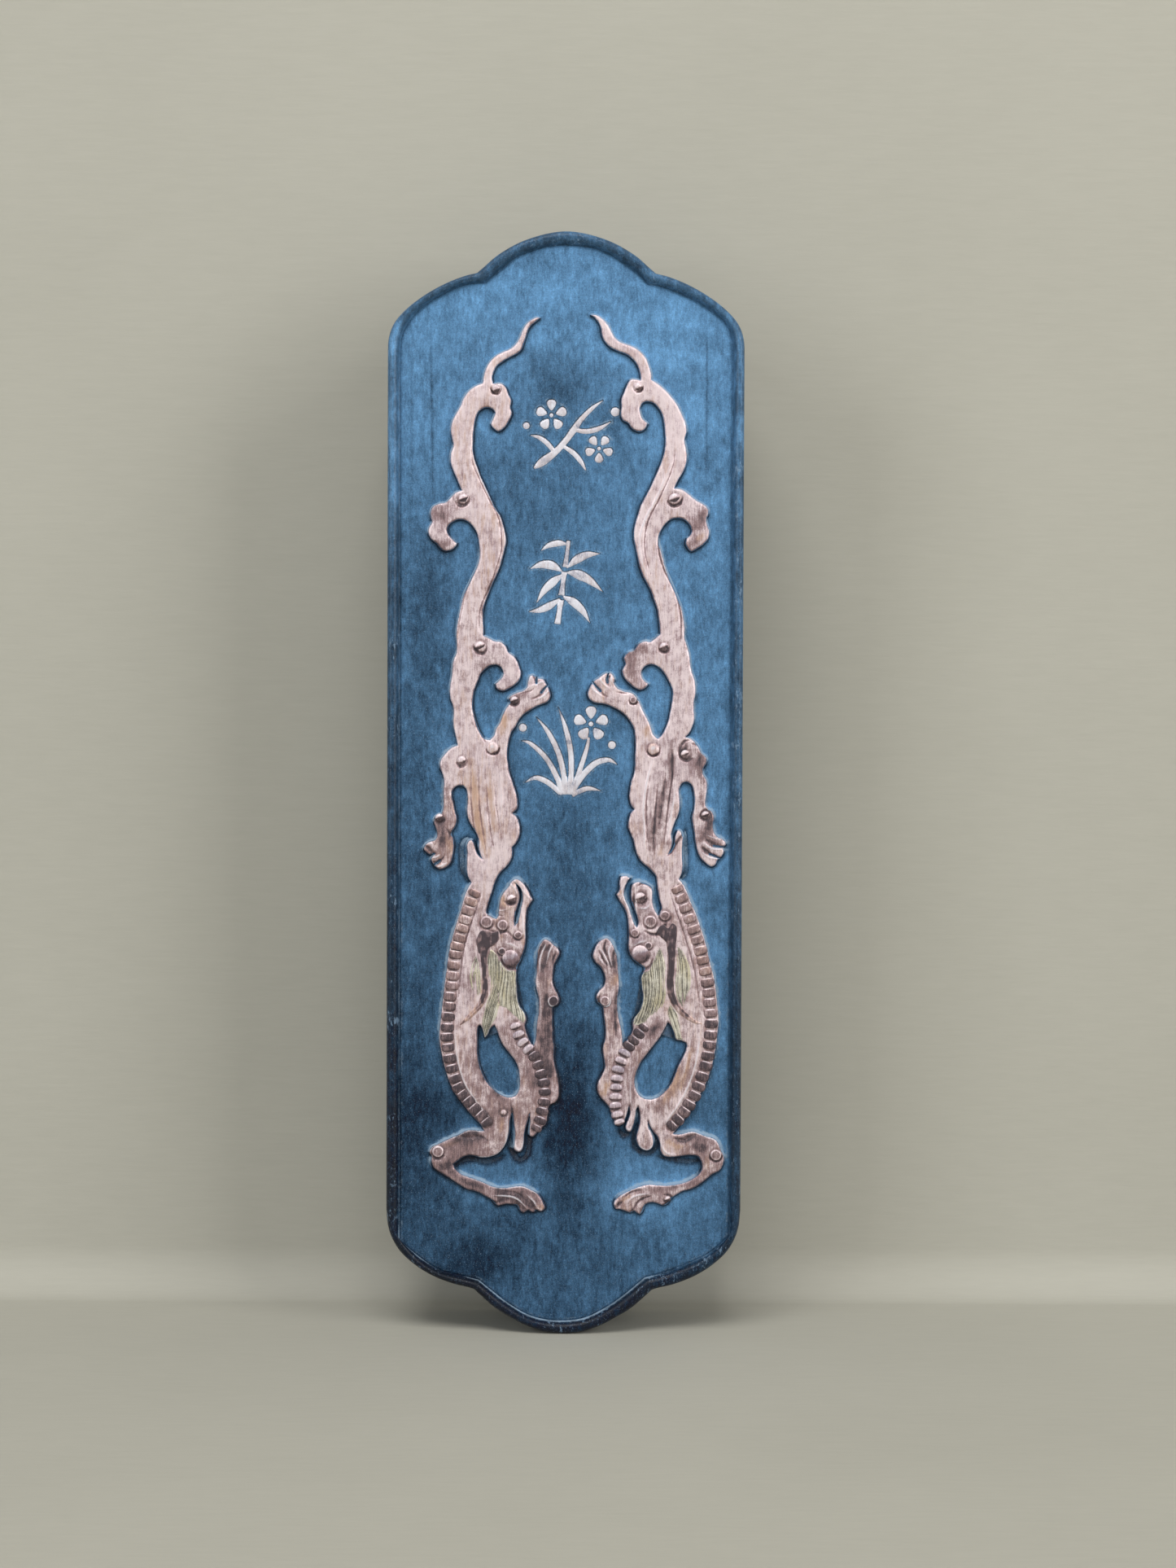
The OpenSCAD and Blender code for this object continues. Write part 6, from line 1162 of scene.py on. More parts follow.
streaks = {
    "left": [
        [[-18.4, 115, 0.6, 0.4], [-17.9, 108, 1, 0.9], [-16.8, 101, 0.9, 0.9], [-15.4, 95.5, 0.5, 0.4]], [[-15.2, 113, 0.4, 0.3], [-14.8, 107, 0.7, 0.6], [-13.9, 101, 0.5, 0.4]],
        [[-13.3, 124.8, 0.6, 0.5], [-12.3, 122.8, 1, 0.9], [-12.6, 120.4, 0.7, 0.5]], [[-23.6, 99, 0.6, 0.6], [-22.5, 97.6, 0.8, 0.9], [-22.2, 96, 0.5, 0.5]],
        [[-13, 87.6, 0.7, 0.7], [-12.3, 86.4, 0.8, 0.8]], [[-8.4, 79.8, 0.4, 0.8], [-8.2, 78.4, 0.5, 0.9]], [[-23.8, 37.8, 0.4, 0.7], [-22, 38.3, 0.5, 0.9], [-20.3, 38.9, 0.4, 0.5]],
        [[-12.4, 44.6, 0.3, 0.5], [-12.3, 42.4, 0.4, 0.9], [-12.6, 40.6, 0.3, 0.5]], [[-4.6, 25.8, 0.5, 0.8], [-3.8, 25.1, 0.5, 0.9]], [[-16.4, 68.8, 0.4, 0.6], [-16, 67.6, 0.4, 0.6]],
        [[-12.6, 203.5, 0.5, 0.5], [-13.4, 198, 0.6, 0.6], [-14.6, 193.5, 0.4, 0.3]], [[-3, 71, 0.6, 0.6], [-3.4, 69.5, 0.5, 0.4]],
    ],
    "right": [
        [[-27.4, 160, 0.6, 0.7], [-26.4, 159, 0.7, 0.8]], [[-16.9, 122.4, 0.5, 0.4], [-16.2, 120.6, 0.8, 0.7], [-16.9, 119.2, 0.5, 0.4]], [[-19.6, 98.6, 0.4, 0.4], [-19.2, 96.4, 0.6, 0.6]],
        [[-22.6, 54, 0.5, 0.7], [-22.2, 50.6, 0.8, 1], [-20.6, 47.6, 0.7, 0.8], [-18.8, 45.6, 0.4, 0.3]], [[-25.6, 57.5, 0.4, 0.4], [-24.6, 53.5, 0.6, 0.8], [-23.4, 49.5, 0.5, 0.6]],
        [[-8.6, 50, 0.7, 0.8], [-8, 48.4, 0.6, 0.8]], [[-24.6, 38, 0.4, 0.4], [-22.6, 37.8, 0.7, 0.7], [-21, 38.8, 0.5, 0.4]], [[-30.9, 36.9, 0.6, 0.8], [-30.3, 35.8, 0.5, 0.6]],
        [[-10.6, 71.8, 0.6, 0.8], [-10, 70.6, 0.6, 0.6]], [[-13.4, 28, 0.4, 0.5], [-12.2, 27.2, 0.5, 0.9], [-11.4, 26.7, 0.3, 0.5]], [[-11.4, 88.9, 0.4, 0.6], [-10.8, 88.2, 0.4, 0.7]],
        [[-28.6, 35.4, 0.4, 0.5], [-28.8, 33.2, 0.5, 0.5], [-27.4, 31.4, 0.4, 0.4]], [[-12, 205, 0.5, 0.4], [-14, 199, 0.5, 0.5], [-15.2, 194, 0.4, 0.3]],
    ],
}
grooves_right = [
    [[-21.9, 177.5, 0.12, 0.2], [-21.4, 174, 0.14, 0.7], [-20.4, 171, 0.14, 0.8], [-18.6, 167, 0.14, 0.8], [-16.4, 162.6, 0.14, 0.8],
     [-15.7, 158.5, 0.14, 0.8], [-16, 155.5, 0.14, 0.6], [-17, 152, 0.14, 0.4]],
    [[-18.7, 160.4, 0.12, 0.3], [-18.5, 158, 0.16, 0.8], [-18.8, 155.4, 0.16, 0.9], [-19.9, 152.4, 0.18, 1], [-21.2, 150, 0.18, 1], [-22.3, 147.4, 0.16, 0.9], [-22.9, 144.4, 0.16, 0.9], [-23.1, 141, 0.14, 0.7], [-23, 139.3, 0.12, 0.3]],
    # under the knobs
    [[-23.3, 167.2, 0.18, 0.5], [-22.6, 166, 0.28, 1], [-21.3, 165.6, 0.3, 1], [-20.3, 166.4, 0.2, 0.7]],
    [[-15.3, 189.3, 0.16, 0.5], [-14.9, 188.4, 0.26, 1], [-14, 188, 0.2, 0.6]],
    [[-20.6, 137.4, 0.2, 0.5], [-19.9, 136.7, 0.3, 1], [-18.9, 137, 0.26, 0.8]],
    [[-24.9, 119, 0.18, 0.4], [-23.8, 118.8, 0.26, 0.9], [-22.9, 117.4, 0.3, 1], [-23.1, 115.8, 0.32, 1], [-24.3, 114.9, 0.26, 0.9], [-25.4, 115.4, 0.16, 0.5]],
    [[-27.6, 116.6, 0.16, 0.4], [-26.7, 118, 0.22, 0.9], [-25.4, 118.3, 0.16, 0.6]],
    [[-29.2, 104.4, 0.18, 0.5], [-28.6, 105, 0.24, 0.9], [-27.5, 104.8, 0.26, 1], [-27.1, 103.7, 0.24, 0.9], [-27.8, 103.1, 0.16, 0.5]],
    [[-18.9, 117.4, 0.16, 0.6], [-18.4, 116.2, 0.2, 0.9], [-17.2, 115.9, 0.2, 0.9], [-16.4, 116.7, 0.16, 0.7]],
    [[-14.5, 127.2, 0.14, 0.5], [-14, 126.3, 0.2, 0.9], [-13, 126.3, 0.16, 0.6]],
    # torso folds
    [[-21.3, 117, 0.16, 0.3], [-21.5, 112.5, 0.2, 0.8], [-20.8, 107, 0.2, 0.7], [-20.2, 102, 0.18, 0.6], [-19.8, 98.4, 0.14, 0.3]],
    [[-20.1, 112.4, 0.16, 0.3], [-19.5, 107, 0.2, 0.7], [-18.9, 102.4, 0.18, 0.5]],
    [[-18.6, 110.4, 0.16, 0.3], [-18.1, 105, 0.2, 0.7], [-17.8, 100, 0.2, 0.7], [-17.8, 96.4, 0.14, 0.3]],
    [[-17, 111.8, 0.14, 0.3], [-16.3, 107, 0.18, 0.6], [-16.4, 101.4, 0.18, 0.6], [-16.9, 97, 0.14, 0.3]],
    [[-24.4, 101.4, 0.16, 0.3], [-22.4, 98.6, 0.26, 1], [-21.4, 96.8, 0.22, 0.9], [-20.6, 96, 0.14, 0.3]],
    # claws
    [[-31.4, 97.9, 0.16, 0.4], [-29.8, 98.1, 0.26, 1], [-28.6, 99, 0.22, 0.9]],
    [[-30.2, 96, 0.16, 0.4], [-28.8, 96.5, 0.24, 1], [-27.6, 97.5, 0.2, 0.8]],
    [[-8.9, 131.7, 0.16, 0.6], [-8.3, 131.2, 0.22, 1], [-8.4, 130.4, 0.22, 1], [-9, 129.7, 0.14, 0.4]],
    [[-6.2, 129.6, 0.18, 0.8], [-6.9, 128.9, 0.28, 1], [-7.7, 128, 0.2, 0.7], [-8.6, 127.6, 0.14, 0.3]],
    [[-12.8, 128.2, 0.14, 0.3], [-11.4, 128.4, 0.2, 0.7], [-10.2, 128.6, 0.14, 0.3]],
    # line between the back beads and the smooth band
    [[-21.1, 88.6, 0.12, 0.3], [-22.3, 85, 0.14, 0.6], [-23.8, 80.8, 0.14, 0.6], [-25, 77, 0.14, 0.6], [-26.2, 72.2, 0.14, 0.6], [-27, 67, 0.14, 0.5]],
    # head
    [[-17.6, 89.2, 0.2, 0.5], [-16.9, 90.1, 0.28, 1], [-15.6, 90.5, 0.28, 1], [-14.7, 90, 0.18, 0.5]],
    [[-16.5, 87.4, 0.18, 0.5], [-15.9, 86.8, 0.3, 1], [-15.1, 86.7, 0.28, 1], [-14.7, 87.5, 0.16, 0.5]],
    [[-20.2, 82.2, 0.3, 0.9], [-19.4, 81, 0.42, 1], [-18.5, 80.3, 0.36, 1], [-17.3, 80.3, 0.26, 1], [-16.2, 80.9, 0.18, 0.5]],
    [[-17.6, 75.2, 0.18, 0.4], [-17.2, 73.9, 0.3, 1], [-16.1, 73.4, 0.3, 1], [-14.6, 74.5, 0.24, 0.9], [-13.6, 75.9, 0.16, 0.4]],
    [[-13.9, 89.6, 0.14, 0.4], [-13.8, 86.4, 0.2, 0.9], [-14.1, 83.8, 0.2, 0.8], [-14.1, 82.2, 0.14, 0.4]],
    [[-14.7, 80.8, 0.14, 0.5], [-14.2, 79.9, 0.18, 0.9], [-13.4, 80.2, 0.14, 0.5]],
    # foreleg
    [[-10.4, 77.8, 0.2, 0.4], [-9.9, 75.8, 0.26, 0.9], [-10, 73.6, 0.22, 0.7]],
    [[-8.3, 79, 0.16, 0.4], [-8, 77.4, 0.24, 1], [-8.7, 75.6, 0.24, 0.9], [-9.3, 73.6, 0.18, 0.5]],
    [[-7, 76.9, 0.14, 0.4], [-7.8, 75.3, 0.2, 0.9], [-8.6, 74, 0.14, 0.4]],
    [[-7.3, 68.4, 0.16, 0.5], [-6.9, 67.2, 0.22, 1], [-7.3, 66.1, 0.18, 0.7]],
    [[-10.5, 69, 0.14, 0.3], [-10.2, 65, 0.18, 0.6], [-10.4, 60, 0.14, 0.4]],
    # haunch, knee, foot
    [[-26.6, 40.2, 0.2, 0.5], [-25.2, 39.6, 0.36, 1], [-23.8, 39, 0.36, 1], [-22.4, 39.4, 0.2, 0.5]],
    [[-31.7, 35.9, 0.18, 0.5], [-31, 35, 0.26, 1], [-29.8, 35.1, 0.22, 0.8], [-29.3, 36, 0.14, 0.3]],
    [[-20.2, 28.1, 0.16, 0.5], [-21.3, 27.9, 0.28, 1], [-21.6, 26.9, 0.3, 1], [-20.9, 26.2, 0.28, 1], [-20, 26.2, 0.16, 0.5]],
    [[-17.6, 27.8, 0.16, 0.4], [-15.9, 27.3, 0.22, 0.9], [-14.7, 26.3, 0.22, 0.9], [-14.2, 25.3, 0.16, 0.5]],
    [[-16.6, 25.9, 0.2, 0.5], [-15.9, 25.1, 0.36, 1], [-15.5, 24.5, 0.26, 0.8]],
    [[-14, 25.3, 0.16, 0.4], [-13.6, 24.7, 0.24, 0.9]],
    [[-11.8, 26.7, 0.16, 0.4], [-11.1, 26.1, 0.28, 1], [-10.7, 25.6, 0.22, 0.8]],
    [[-15.5, 29, 0.14, 0.3], [-13.6, 28.6, 0.18, 0.7], [-12.4, 27.7, 0.14, 0.5]],
]
ridges_right = [
    [[-21, 174, 0.2, 0.5], [-18, 167, 0.22, 0.8], [-15.8, 162.8, 0.22, 0.9], [-14.7, 158.5, 0.2, 0.8], [-15.2, 154.6, 0.18, 0.8], [-16.6, 151, 0.18, 0.6], [-19.3, 145, 0.16, 0.4]],
    [[-19.3, 158.6, 0.14, 0.3], [-19.4, 155.6, 0.16, 0.7], [-20.6, 152.4, 0.16, 0.7], [-22, 149.7, 0.14, 0.4]],
    # torso
    [[-17.8, 115.6, 0.16, 0.4], [-16.8, 112.4, 0.2, 0.9], [-16.1, 109, 0.2, 1], [-15.7, 105.6, 0.2, 1], [-15.9, 102, 0.2, 0.9], [-16, 98, 0.18, 0.7], [-16.8, 95.6, 0.14, 0.3]],
    [[-22.2, 110.4, 0.16, 0.4], [-21.6, 106, 0.2, 0.9], [-20.9, 102, 0.2, 0.8], [-20.4, 98.6, 0.16, 0.4]],
    [[-26.6, 109, 0.14, 0.3], [-26, 106, 0.18, 0.7], [-25.9, 102, 0.16, 0.5]],
    # claws of the arms
    [[-31.3, 97.3, 0.16, 0.6], [-29.4, 97.4, 0.2, 1], [-27.8, 98.5, 0.16, 0.7]],
    [[-30.6, 95.4, 0.14, 0.5], [-28.8, 95.7, 0.18, 0.9], [-27.2, 96.9, 0.14, 0.5]],
    [[-31, 99.2, 0.14, 0.5], [-29.4, 99.7, 0.16, 0.8], [-28, 100.2, 0.12, 0.4]],
    [[-9.6, 130.2, 0.14, 0.4], [-9.2, 131, 0.18, 1], [-9.3, 131.7, 0.14, 0.7]],
    [[-8.8, 129.1, 0.14, 0.3], [-7.7, 130.1, 0.18, 1], [-6.9, 131.2, 0.16, 0.9]],
    [[-7.3, 127.7, 0.14, 0.4], [-6.2, 128.5, 0.2, 1], [-5.3, 129.5, 0.18, 1]],
    # back band, low down
    [[-27.3, 62, 0.16, 0.4], [-26.9, 57.6, 0.18, 0.9], [-26.2, 53.8, 0.18, 1], [-24.9, 50, 0.18, 1], [-23.2, 46.6, 0.18, 1], [-21, 43.4, 0.18, 0.9], [-20.2, 42.2, 0.14, 0.5]],
    [[-24.9, 56.8, 0.16, 0.4], [-24.3, 53.6, 0.2, 0.9], [-23.6, 51, 0.16, 0.5]],
    # belly and tongues
    [[-15.2, 56.6, 0.14, 0.3], [-13.6, 52, 0.16, 0.6], [-13.4, 47.4, 0.16, 0.7], [-14.4, 43.6, 0.14, 0.4]],
    [[-18.3, 40.4, 0.14, 0.4], [-18, 38.2, 0.18, 1], [-16.8, 37.1, 0.18, 1], [-15.4, 37.7, 0.18, 1], [-14.8, 39.4, 0.14, 0.6]],
    [[-13.9, 42.6, 0.12, 0.4], [-13.2, 41.1, 0.16, 1], [-12.6, 41.4, 0.14, 0.8]],
    [[-18, 46.6, 0.14, 0.3], [-17.4, 43, 0.18, 0.8], [-17.9, 40.9, 0.14, 0.4]],
    # haunch and shin
    [[-30.6, 39, 0.16, 0.5], [-28.4, 40, 0.18, 0.8], [-26, 40.7, 0.18, 0.9], [-24, 40.4, 0.14, 0.5]],
    [[-22.4, 36, 0.16, 0.6], [-20.6, 36.5, 0.2, 1], [-19.6, 38, 0.2, 0.9], [-19.2, 39.8, 0.14, 0.4]],
    [[-24, 31.1, 0.16, 0.5], [-21, 30.4, 0.2, 0.9], [-17.4, 30.4, 0.2, 1], [-14.4, 29.8, 0.18, 0.9], [-12.2, 28.8, 0.14, 0.5]],
    [[-17, 28.3, 0.16, 0.5], [-15, 28, 0.2, 1], [-13.5, 27.3, 0.18, 0.9], [-12.8, 26.4, 0.14, 0.4]],
    [[-16.6, 29.5, 0.14, 0.4], [-14, 29.3, 0.16, 0.8], [-12.2, 28.2, 0.16, 0.8], [-11.2, 27.3, 0.12, 0.4]],
    # head
    [[-17.2, 86.6, 0.14, 0.4], [-16.4, 85.5, 0.18, 0.9], [-15, 85.5, 0.16, 0.7]],
    [[-14.6, 89, 0.14, 0.4], [-14.3, 86, 0.18, 0.9], [-14.7, 83.2, 0.14, 0.5]],
    [[-12.2, 90.4, 0.14, 0.5], [-11.5, 88.9, 0.18, 0.9], [-12.2, 86.9, 0.16, 0.8], [-12.9, 84.6, 0.14, 0.6], [-12.9, 82.4, 0.12, 0.4]],
    [[-17, 91.1, 0.14, 0.4], [-15, 91.5, 0.16, 0.8], [-12.9, 91.3, 0.14, 0.6]],
    [[-16.7, 78.9, 0.14, 0.4], [-15.2, 78.7, 0.18, 0.8], [-13.7, 77.8, 0.14, 0.4]],
    # foreleg
    [[-9.6, 78.9, 0.14, 0.5], [-8.9, 76.6, 0.2, 1], [-9.6, 74, 0.16, 0.6]],
    [[-7.1, 77.8, 0.14, 0.5], [-7.9, 76.3, 0.2, 1], [-8.9, 74.3, 0.18, 0.9], [-9.1, 73, 0.14, 0.5]],
    [[-6.6, 76.2, 0.12, 0.4], [-7.4, 75, 0.16, 0.9], [-8.2, 74, 0.12, 0.4]],
    [[-8.8, 68, 0.14, 0.5], [-9.3, 67, 0.18, 1], [-8.9, 66, 0.18, 1], [-7.9, 65.8, 0.14, 0.5]],
    [[-8.9, 64.5, 0.14, 0.3], [-8.6, 61.5, 0.16, 0.6], [-8.8, 58.4, 0.14, 0.3]],
]
grooves, ridges = {"left": grooves_left, "right": grooves_right}, {"left": ridges_left, "right": ridges_right}
boss_sets = {"left": left_boss_set, "right": right_boss_set}
# how each knob is rubbed and shaded: cap (painted shadow below), lens (mostly scooped), pearl (clean), ring (dished),
# spur (dark, pale rim), soft, dot, ball; all carry a painted highlight towards the upper left, and all but spur and dot
# painted shade on the lower side
boss_kinds = {"left": ["cap", "lens", "lens", "pearl", "cap", "lens", "lens", "ring", "ring", "ring", "dot", "ball", "lens", "spur", "ring", "soft"],
              "right": ["cap", "lens", "lens", "pearl", "lens", "ring", "lens", "ring", "ring", "ring", "dot", "ball", "lens", "ring", "ring", "lens"]}
BACK_L, BACK_W, BELLY_L, BELLY_W = 2.7, 1.86, 2.55, 1.66
beads = {"left": [(left_back_row, BACK_L, BACK_W), (left_belly_row, BELLY_L, BELLY_W)],
         "right": [(right_back_row, BACK_L, BACK_W), (right_belly_row, BELLY_L, BELLY_W)]}
# rubbed and warm parts: centre x, z, radii, how much more rubbed, how much warmer
tone_spots = {
    "left": [(-25.5, 164.5, 3, 3, 0.20, -0.5), (-25, 157.5, 2.5, 3, 0.20, -0.45), (-14.5, 131, 4, 6, 0.2, -0.35), (-20, 128, 3, 8, 0.08, 0), (-25, 112, 3, 5, 0.15, -0.35),
             (-24, 100, 3, 6, 0.34, 0.1), (-9, 129, 3, 3, 0.25, -0.3), (-19, 72, 3, 20, 0.05, -0.15), (-12, 84, 4, 6, 0.22, 0.15), (-11, 76, 3, 3, 0.2, -0.5),
             (-14, 55, 4, 7, 0.2, -0.2), (-6, 57, 4, 10, 0.15, -0.1), (-3, 62, 3, 12, 0.36, -0.1), (-4, 76, 3, 4, 0.28, -0.4), (-12, 43, 3, 5, 0.12, 0.1),
             (-20, 38, 5, 4, 0.30, -0.15), (-24, 34.5, 3, 3, 0.3, 0.1), (-15, 30, 7, 3, 0.32, -0.2), (-9, 27, 5, 4, 0.36, -0.3), (-13, 200, 4, 8, 0.10, 0.1)],
    "right": [(-27, 163, 3, 4, 0.20, -0.5), (-25, 157.5, 2, 1.5, 0.2, -0.3), (-13.5, 135, 3, 5, 0.3, -0.25), (-23, 127, 2.5, 7, 0.10, -0.1), (-26.5, 115, 3, 4, 0.3, -0.5),
              (-28.5, 101, 2.5, 4, 0.32, -0.25), (-21, 114, 1.2, 5, 0.2, -0.4), (-19.3, 108, 1.5, 5, 0.2, -0.4), (-18, 101.5, 1.5, 4, 0.2, -0.25), (-19, 108, 5, 12, 0.05, -0.25),
              (-25, 82, 2.5, 12, 0.05, -0.1), (-16, 84, 3, 6, 0.1, -0.4), (-15, 77, 3, 3, 0.15, -0.6), (-11.5, 87, 1.5, 3, 0.2, 0), (-18, 60, 3, 4, 0.2, -0.4),
              (-13, 50, 3, 8, 0.08, -0.2), (-27.5, 38.5, 3, 2, 0.25, -0.4), (-25, 30.5, 4, 2.5, 0.18, -0.1), (-16, 28, 5, 3, 0.25, -0.1), (-9.8, 62, 2, 8, 0.3, -0.1), (-9, 76, 2, 3, 0.25, -0.2)],
}
manes = {"left": [left_mane_main, left_mane_lobe], "right": [right_mane_main, right_mane_lobe, right_mane_wisp]}
horn_caps = {"left": left_horn_cap, "right": right_horn_cap}
horn_stems = {"left": left_horn_stem, "right": right_horn_stem}
# locks of the manes: left guide, right guide, number of hairs between
locks = {
    "left": [
        ([[-15.2, 77], [-15.6, 73], [-15.6, 69], [-16.6, 65.5], [-16.8, 61]], [[-12.5, 75.5], [-12, 72.5], [-12.6, 69], [-13.6, 65.5], [-15.4, 59.6]], 16),
        ([[-12.5, 75.5], [-12, 72.5], [-12.5, 69], [-12.9, 65.6], [-12.6, 64.8]], [[-9.5, 73], [-9.2, 70], [-9, 67], [-8, 64.5], [-7.8, 62.2]], 14),
        ([[-17.4, 77], [-19.2, 74], [-19.6, 71], [-18.6, 68.4], [-17.2, 67]], [[-16.4, 77], [-16.3, 74], [-16, 71], [-16.2, 69], [-16.8, 67]], 10),
    ],
    "right": [
        ([[-19.2, 78.2], [-20.6, 75], [-20.8, 71], [-20.6, 67], [-19, 64.4]], [[-18, 77], [-17.4, 74], [-17.8, 70], [-17.4, 66.5], [-16.4, 62.6]], 12),
        ([[-18, 77], [-17.4, 74], [-17.8, 70], [-17.4, 66.5], [-16.4, 62.8]], [[-17.4, 74.6], [-15.6, 71.6], [-15.4, 69], [-15.2, 66], [-13.6, 62.2]], 12),
        ([[-22.6, 79], [-25, 75.5], [-25.9, 72], [-25.4, 68.4], [-24.3, 65.4]], [[-22, 79], [-22, 75], [-21.6, 71], [-22, 68], [-23.4, 65.4]], 13),
        ([[-21.2, 66.8], [-22.8, 64], [-24.1, 58.8]], [[-20.5, 66], [-21.2, 62.6], [-22.4, 59]], 7),
    ],
}
# dark slits in the manes
# notches between the fingers: curve, half width
notches = {
    "left": [([[-5.2, 132.6], [-5.6, 131.3], [-5.7, 130.3]], 0.13), ([[-2.9, 130.2], [-3.9, 129.4], [-4.7, 128.5]], 0.13),
             ([[-28.6, 96], [-27.2, 95.8], [-26, 96.1]], 0.12), ([[-26.6, 93.4], [-25.8, 94.1], [-25, 94.8]], 0.12)],
    "right": [([[-8.9, 132.9], [-8.4, 131.6], [-8.5, 130.5]], 0.13), ([[-5.3, 130.7], [-6.2, 129.7], [-7, 128.8]], 0.13),
              ([[-32.6, 97.8], [-31, 97.7], [-29.8, 97.9]], 0.12), ([[-31.6, 95.3], [-30.2, 95.8], [-29, 96.2]], 0.12)],
}
slits = {"left": [[[-17.6, 72.4, 0.12, 0.5], [-17.7, 70.5, 0.2, 1], [-17.4, 68.4, 0.14, 0.7]], [[-13.2, 69, 0.1, 0.3], [-13, 66.4, 0.2, 1]],
                   [[-18.1, 75, 0.1, 0.5], [-18.9, 73, 0.12, 0.8], [-19, 71.5, 0.12, 0.8], [-18.5, 69.3, 0.12, 0.8], [-17.6, 67.6, 0.1, 0.6]],
                   [[-17.6, 74.5, 0.1, 0.5], [-18.3, 72.4, 0.12, 0.8], [-18.3, 71, 0.12, 0.8], [-17.9, 69, 0.12, 0.7], [-17.3, 67.8, 0.1, 0.5]]],
         "right": [[[-20.5, 68.2, 0.12, 0.5], [-20.4, 66.4, 0.2, 1], [-19.4, 65.2, 0.16, 0.8]], [[-23.6, 68.5, 0.1, 0.3], [-23.8, 66.4, 0.16, 0.8]]]}
horn_ribs = {
    "left": [[[-16.1, 75, 0.1, 0.6], [-15.9, 72, 0.12, 0.9], [-15.7, 69.5, 0.12, 0.9], [-16.1, 67, 0.12, 0.8], [-17.8, 65, 0.1, 0.6], [-19.6, 63.2, 0.08, 0.3]]],
    "right": [[[-21.5, 76.5, 0.1, 0.6], [-21.4, 73, 0.12, 0.9], [-21.3, 70, 0.12, 0.9], [-21.9, 67.2, 0.12, 0.8], [-23.6, 65, 0.1, 0.6], [-25.8, 63.1, 0.08, 0.3]]],
}

# ------------------------------------------------------------------ finishes, light and camera
INK_HUE = (0.43, 1.0, 1.76)
INK_UNDER = (-0.003, 0.001, 0.012)
COPPER = (srgb(240, 222, 225), srgb(186, 163, 171), srgb(198, 160, 134), srgb(140, 112, 112), srgb(52, 44, 52), srgb(128, 122, 142))
COPPER_METAL = 0.35
GOLD = (srgb(222, 217, 204), srgb(194, 189, 176), srgb(196, 184, 150), srgb(124, 119, 108), srgb(44, 44, 46), srgb(140, 144, 150))
GOLD_METAL = 0.35
SILVER_METAL = 0.3
PAPER = ((180, 178, 167), (166, 164, 153))
WALL_Y, BEND = 0.026, 0.010
#          name, position, target, size, power, colour (metres, watts)
LIGHTS = [
    ("key", (-0.12, -0.75, 1.25), (0, 0, 0.12), (0.8, 0.6), 9.6, (1.0, 0.99, 0.97)),
    ("fill_left", (-0.95, -0.85, 0.45), (0, 0, 0.10), (0.5, 0.8), 5.2, (0.96, 0.98, 1.0)),
    ("fill_right", (1.0, -0.75, 0.5), (0, 0, 0.10), (0.5, 0.8), 8.6, (1.0, 0.99, 0.97)),
    ("rear", (0.3, 0.9, 1.2), (0, 0, 0.10), (0.8, 0.8), 0, (1.0, 1.0, 1.0)),
]
WORLD = ((0.95, 0.97, 1.0), 0.22)
DIST, LENS, TILT, ROLL, AIM_X, AIM_Z = 0.50, 57.5, 1.31, -0.21, 0.0046, 0.1102


# ------------------------------------------------------------------ planes of the CAD part, in mm
BODY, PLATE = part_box("ink_body"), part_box("left_dragon")
HALF = BODY[1][1] / MM                      # back crest plane
FIELD = PLATE[1][1] / MM                    # the front field, where the relief starts
TOP = PLATE[0][1] / MM                      # top of the dragons' plate
DEEP = 0.7                                  # thickness of the field piece

motif_shapes = {
    "upper_motif": [brush(s, 8) for s in upper_strokes] + [petal(b, i) for b in upper_blossoms for i in range(5)]
    + [ring(b, b[2] * 0.17, 20) for b in upper_blossoms] + [ring(b, b[2], 28) for b in upper_buds],
    "middle_motif": [brush(s, 8) for s in middle_strokes],
    "lower_motif": [brush(s, 8) for s in lower_strokes] + [petal(b, i) for b in lower_blossoms for i in range(5)]
    + [ring(b, b[2] * 0.17, 20) for b in lower_blossoms] + [ring(b, b[2], 28) for b in lower_buds],
}
dragon_loops = {
    "left": [smooth(left_outline, 4), smooth(left_opening, 4), smooth(left_mouth, 4)],
    "right": [smooth(flip(right_outline), 4), smooth(flip(right_opening), 4)],
}
trenches = [[[q[0], q[1], q[2] * 1.8, q[3]] for q in t] for t in trenches_left + [flip_x(t) for t in trenches_right]]


def shade_of(x, z):
    """How pale the ink is coloured: bloom together with painted sheen that lightens it towards the top; 0.2 nearly
    bare, 0.55 well covered.
    """
    g = 0.325 + 0.150 * step(20, 205, z) + 0.035 * step(160, 205, z)
    g += 0.050 * step(4, 22, x) * (0.35 + 0.65 * step(160, 110, z)) - 0.035 * step(-14, -29, x) * step(175, 150, z)
    for cx, cz, rx, rz, a in shade_spots:
        g = g + a * blob(x, z, cx, cz, rx, rz)
    return g


# ------------------------------------------------------------------ ink slab with its rim
def arc(P, n):
    d = np.r_[0, np.cumsum(np.hypot(*np.diff(P, axis=0).T))]
    t = np.linspace(0, d[-1], n + 1)[:-1]
    return np.c_[np.interp(t, d, P[:, 0]), np.interp(t, d, P[:, 1])], d[-1]


def spans(p, k):
    S, n = smooth(p, k), len(p)
    corner = [i for i in range(n) if len(p[i]) > 2]
    out = []
    for a, b in zip(corner, corner[1:] + [corner[0] + n]):
        idx = np.arange(a * k, b * k + 1) % (n * k)
        out.append(S[idx])
    return out


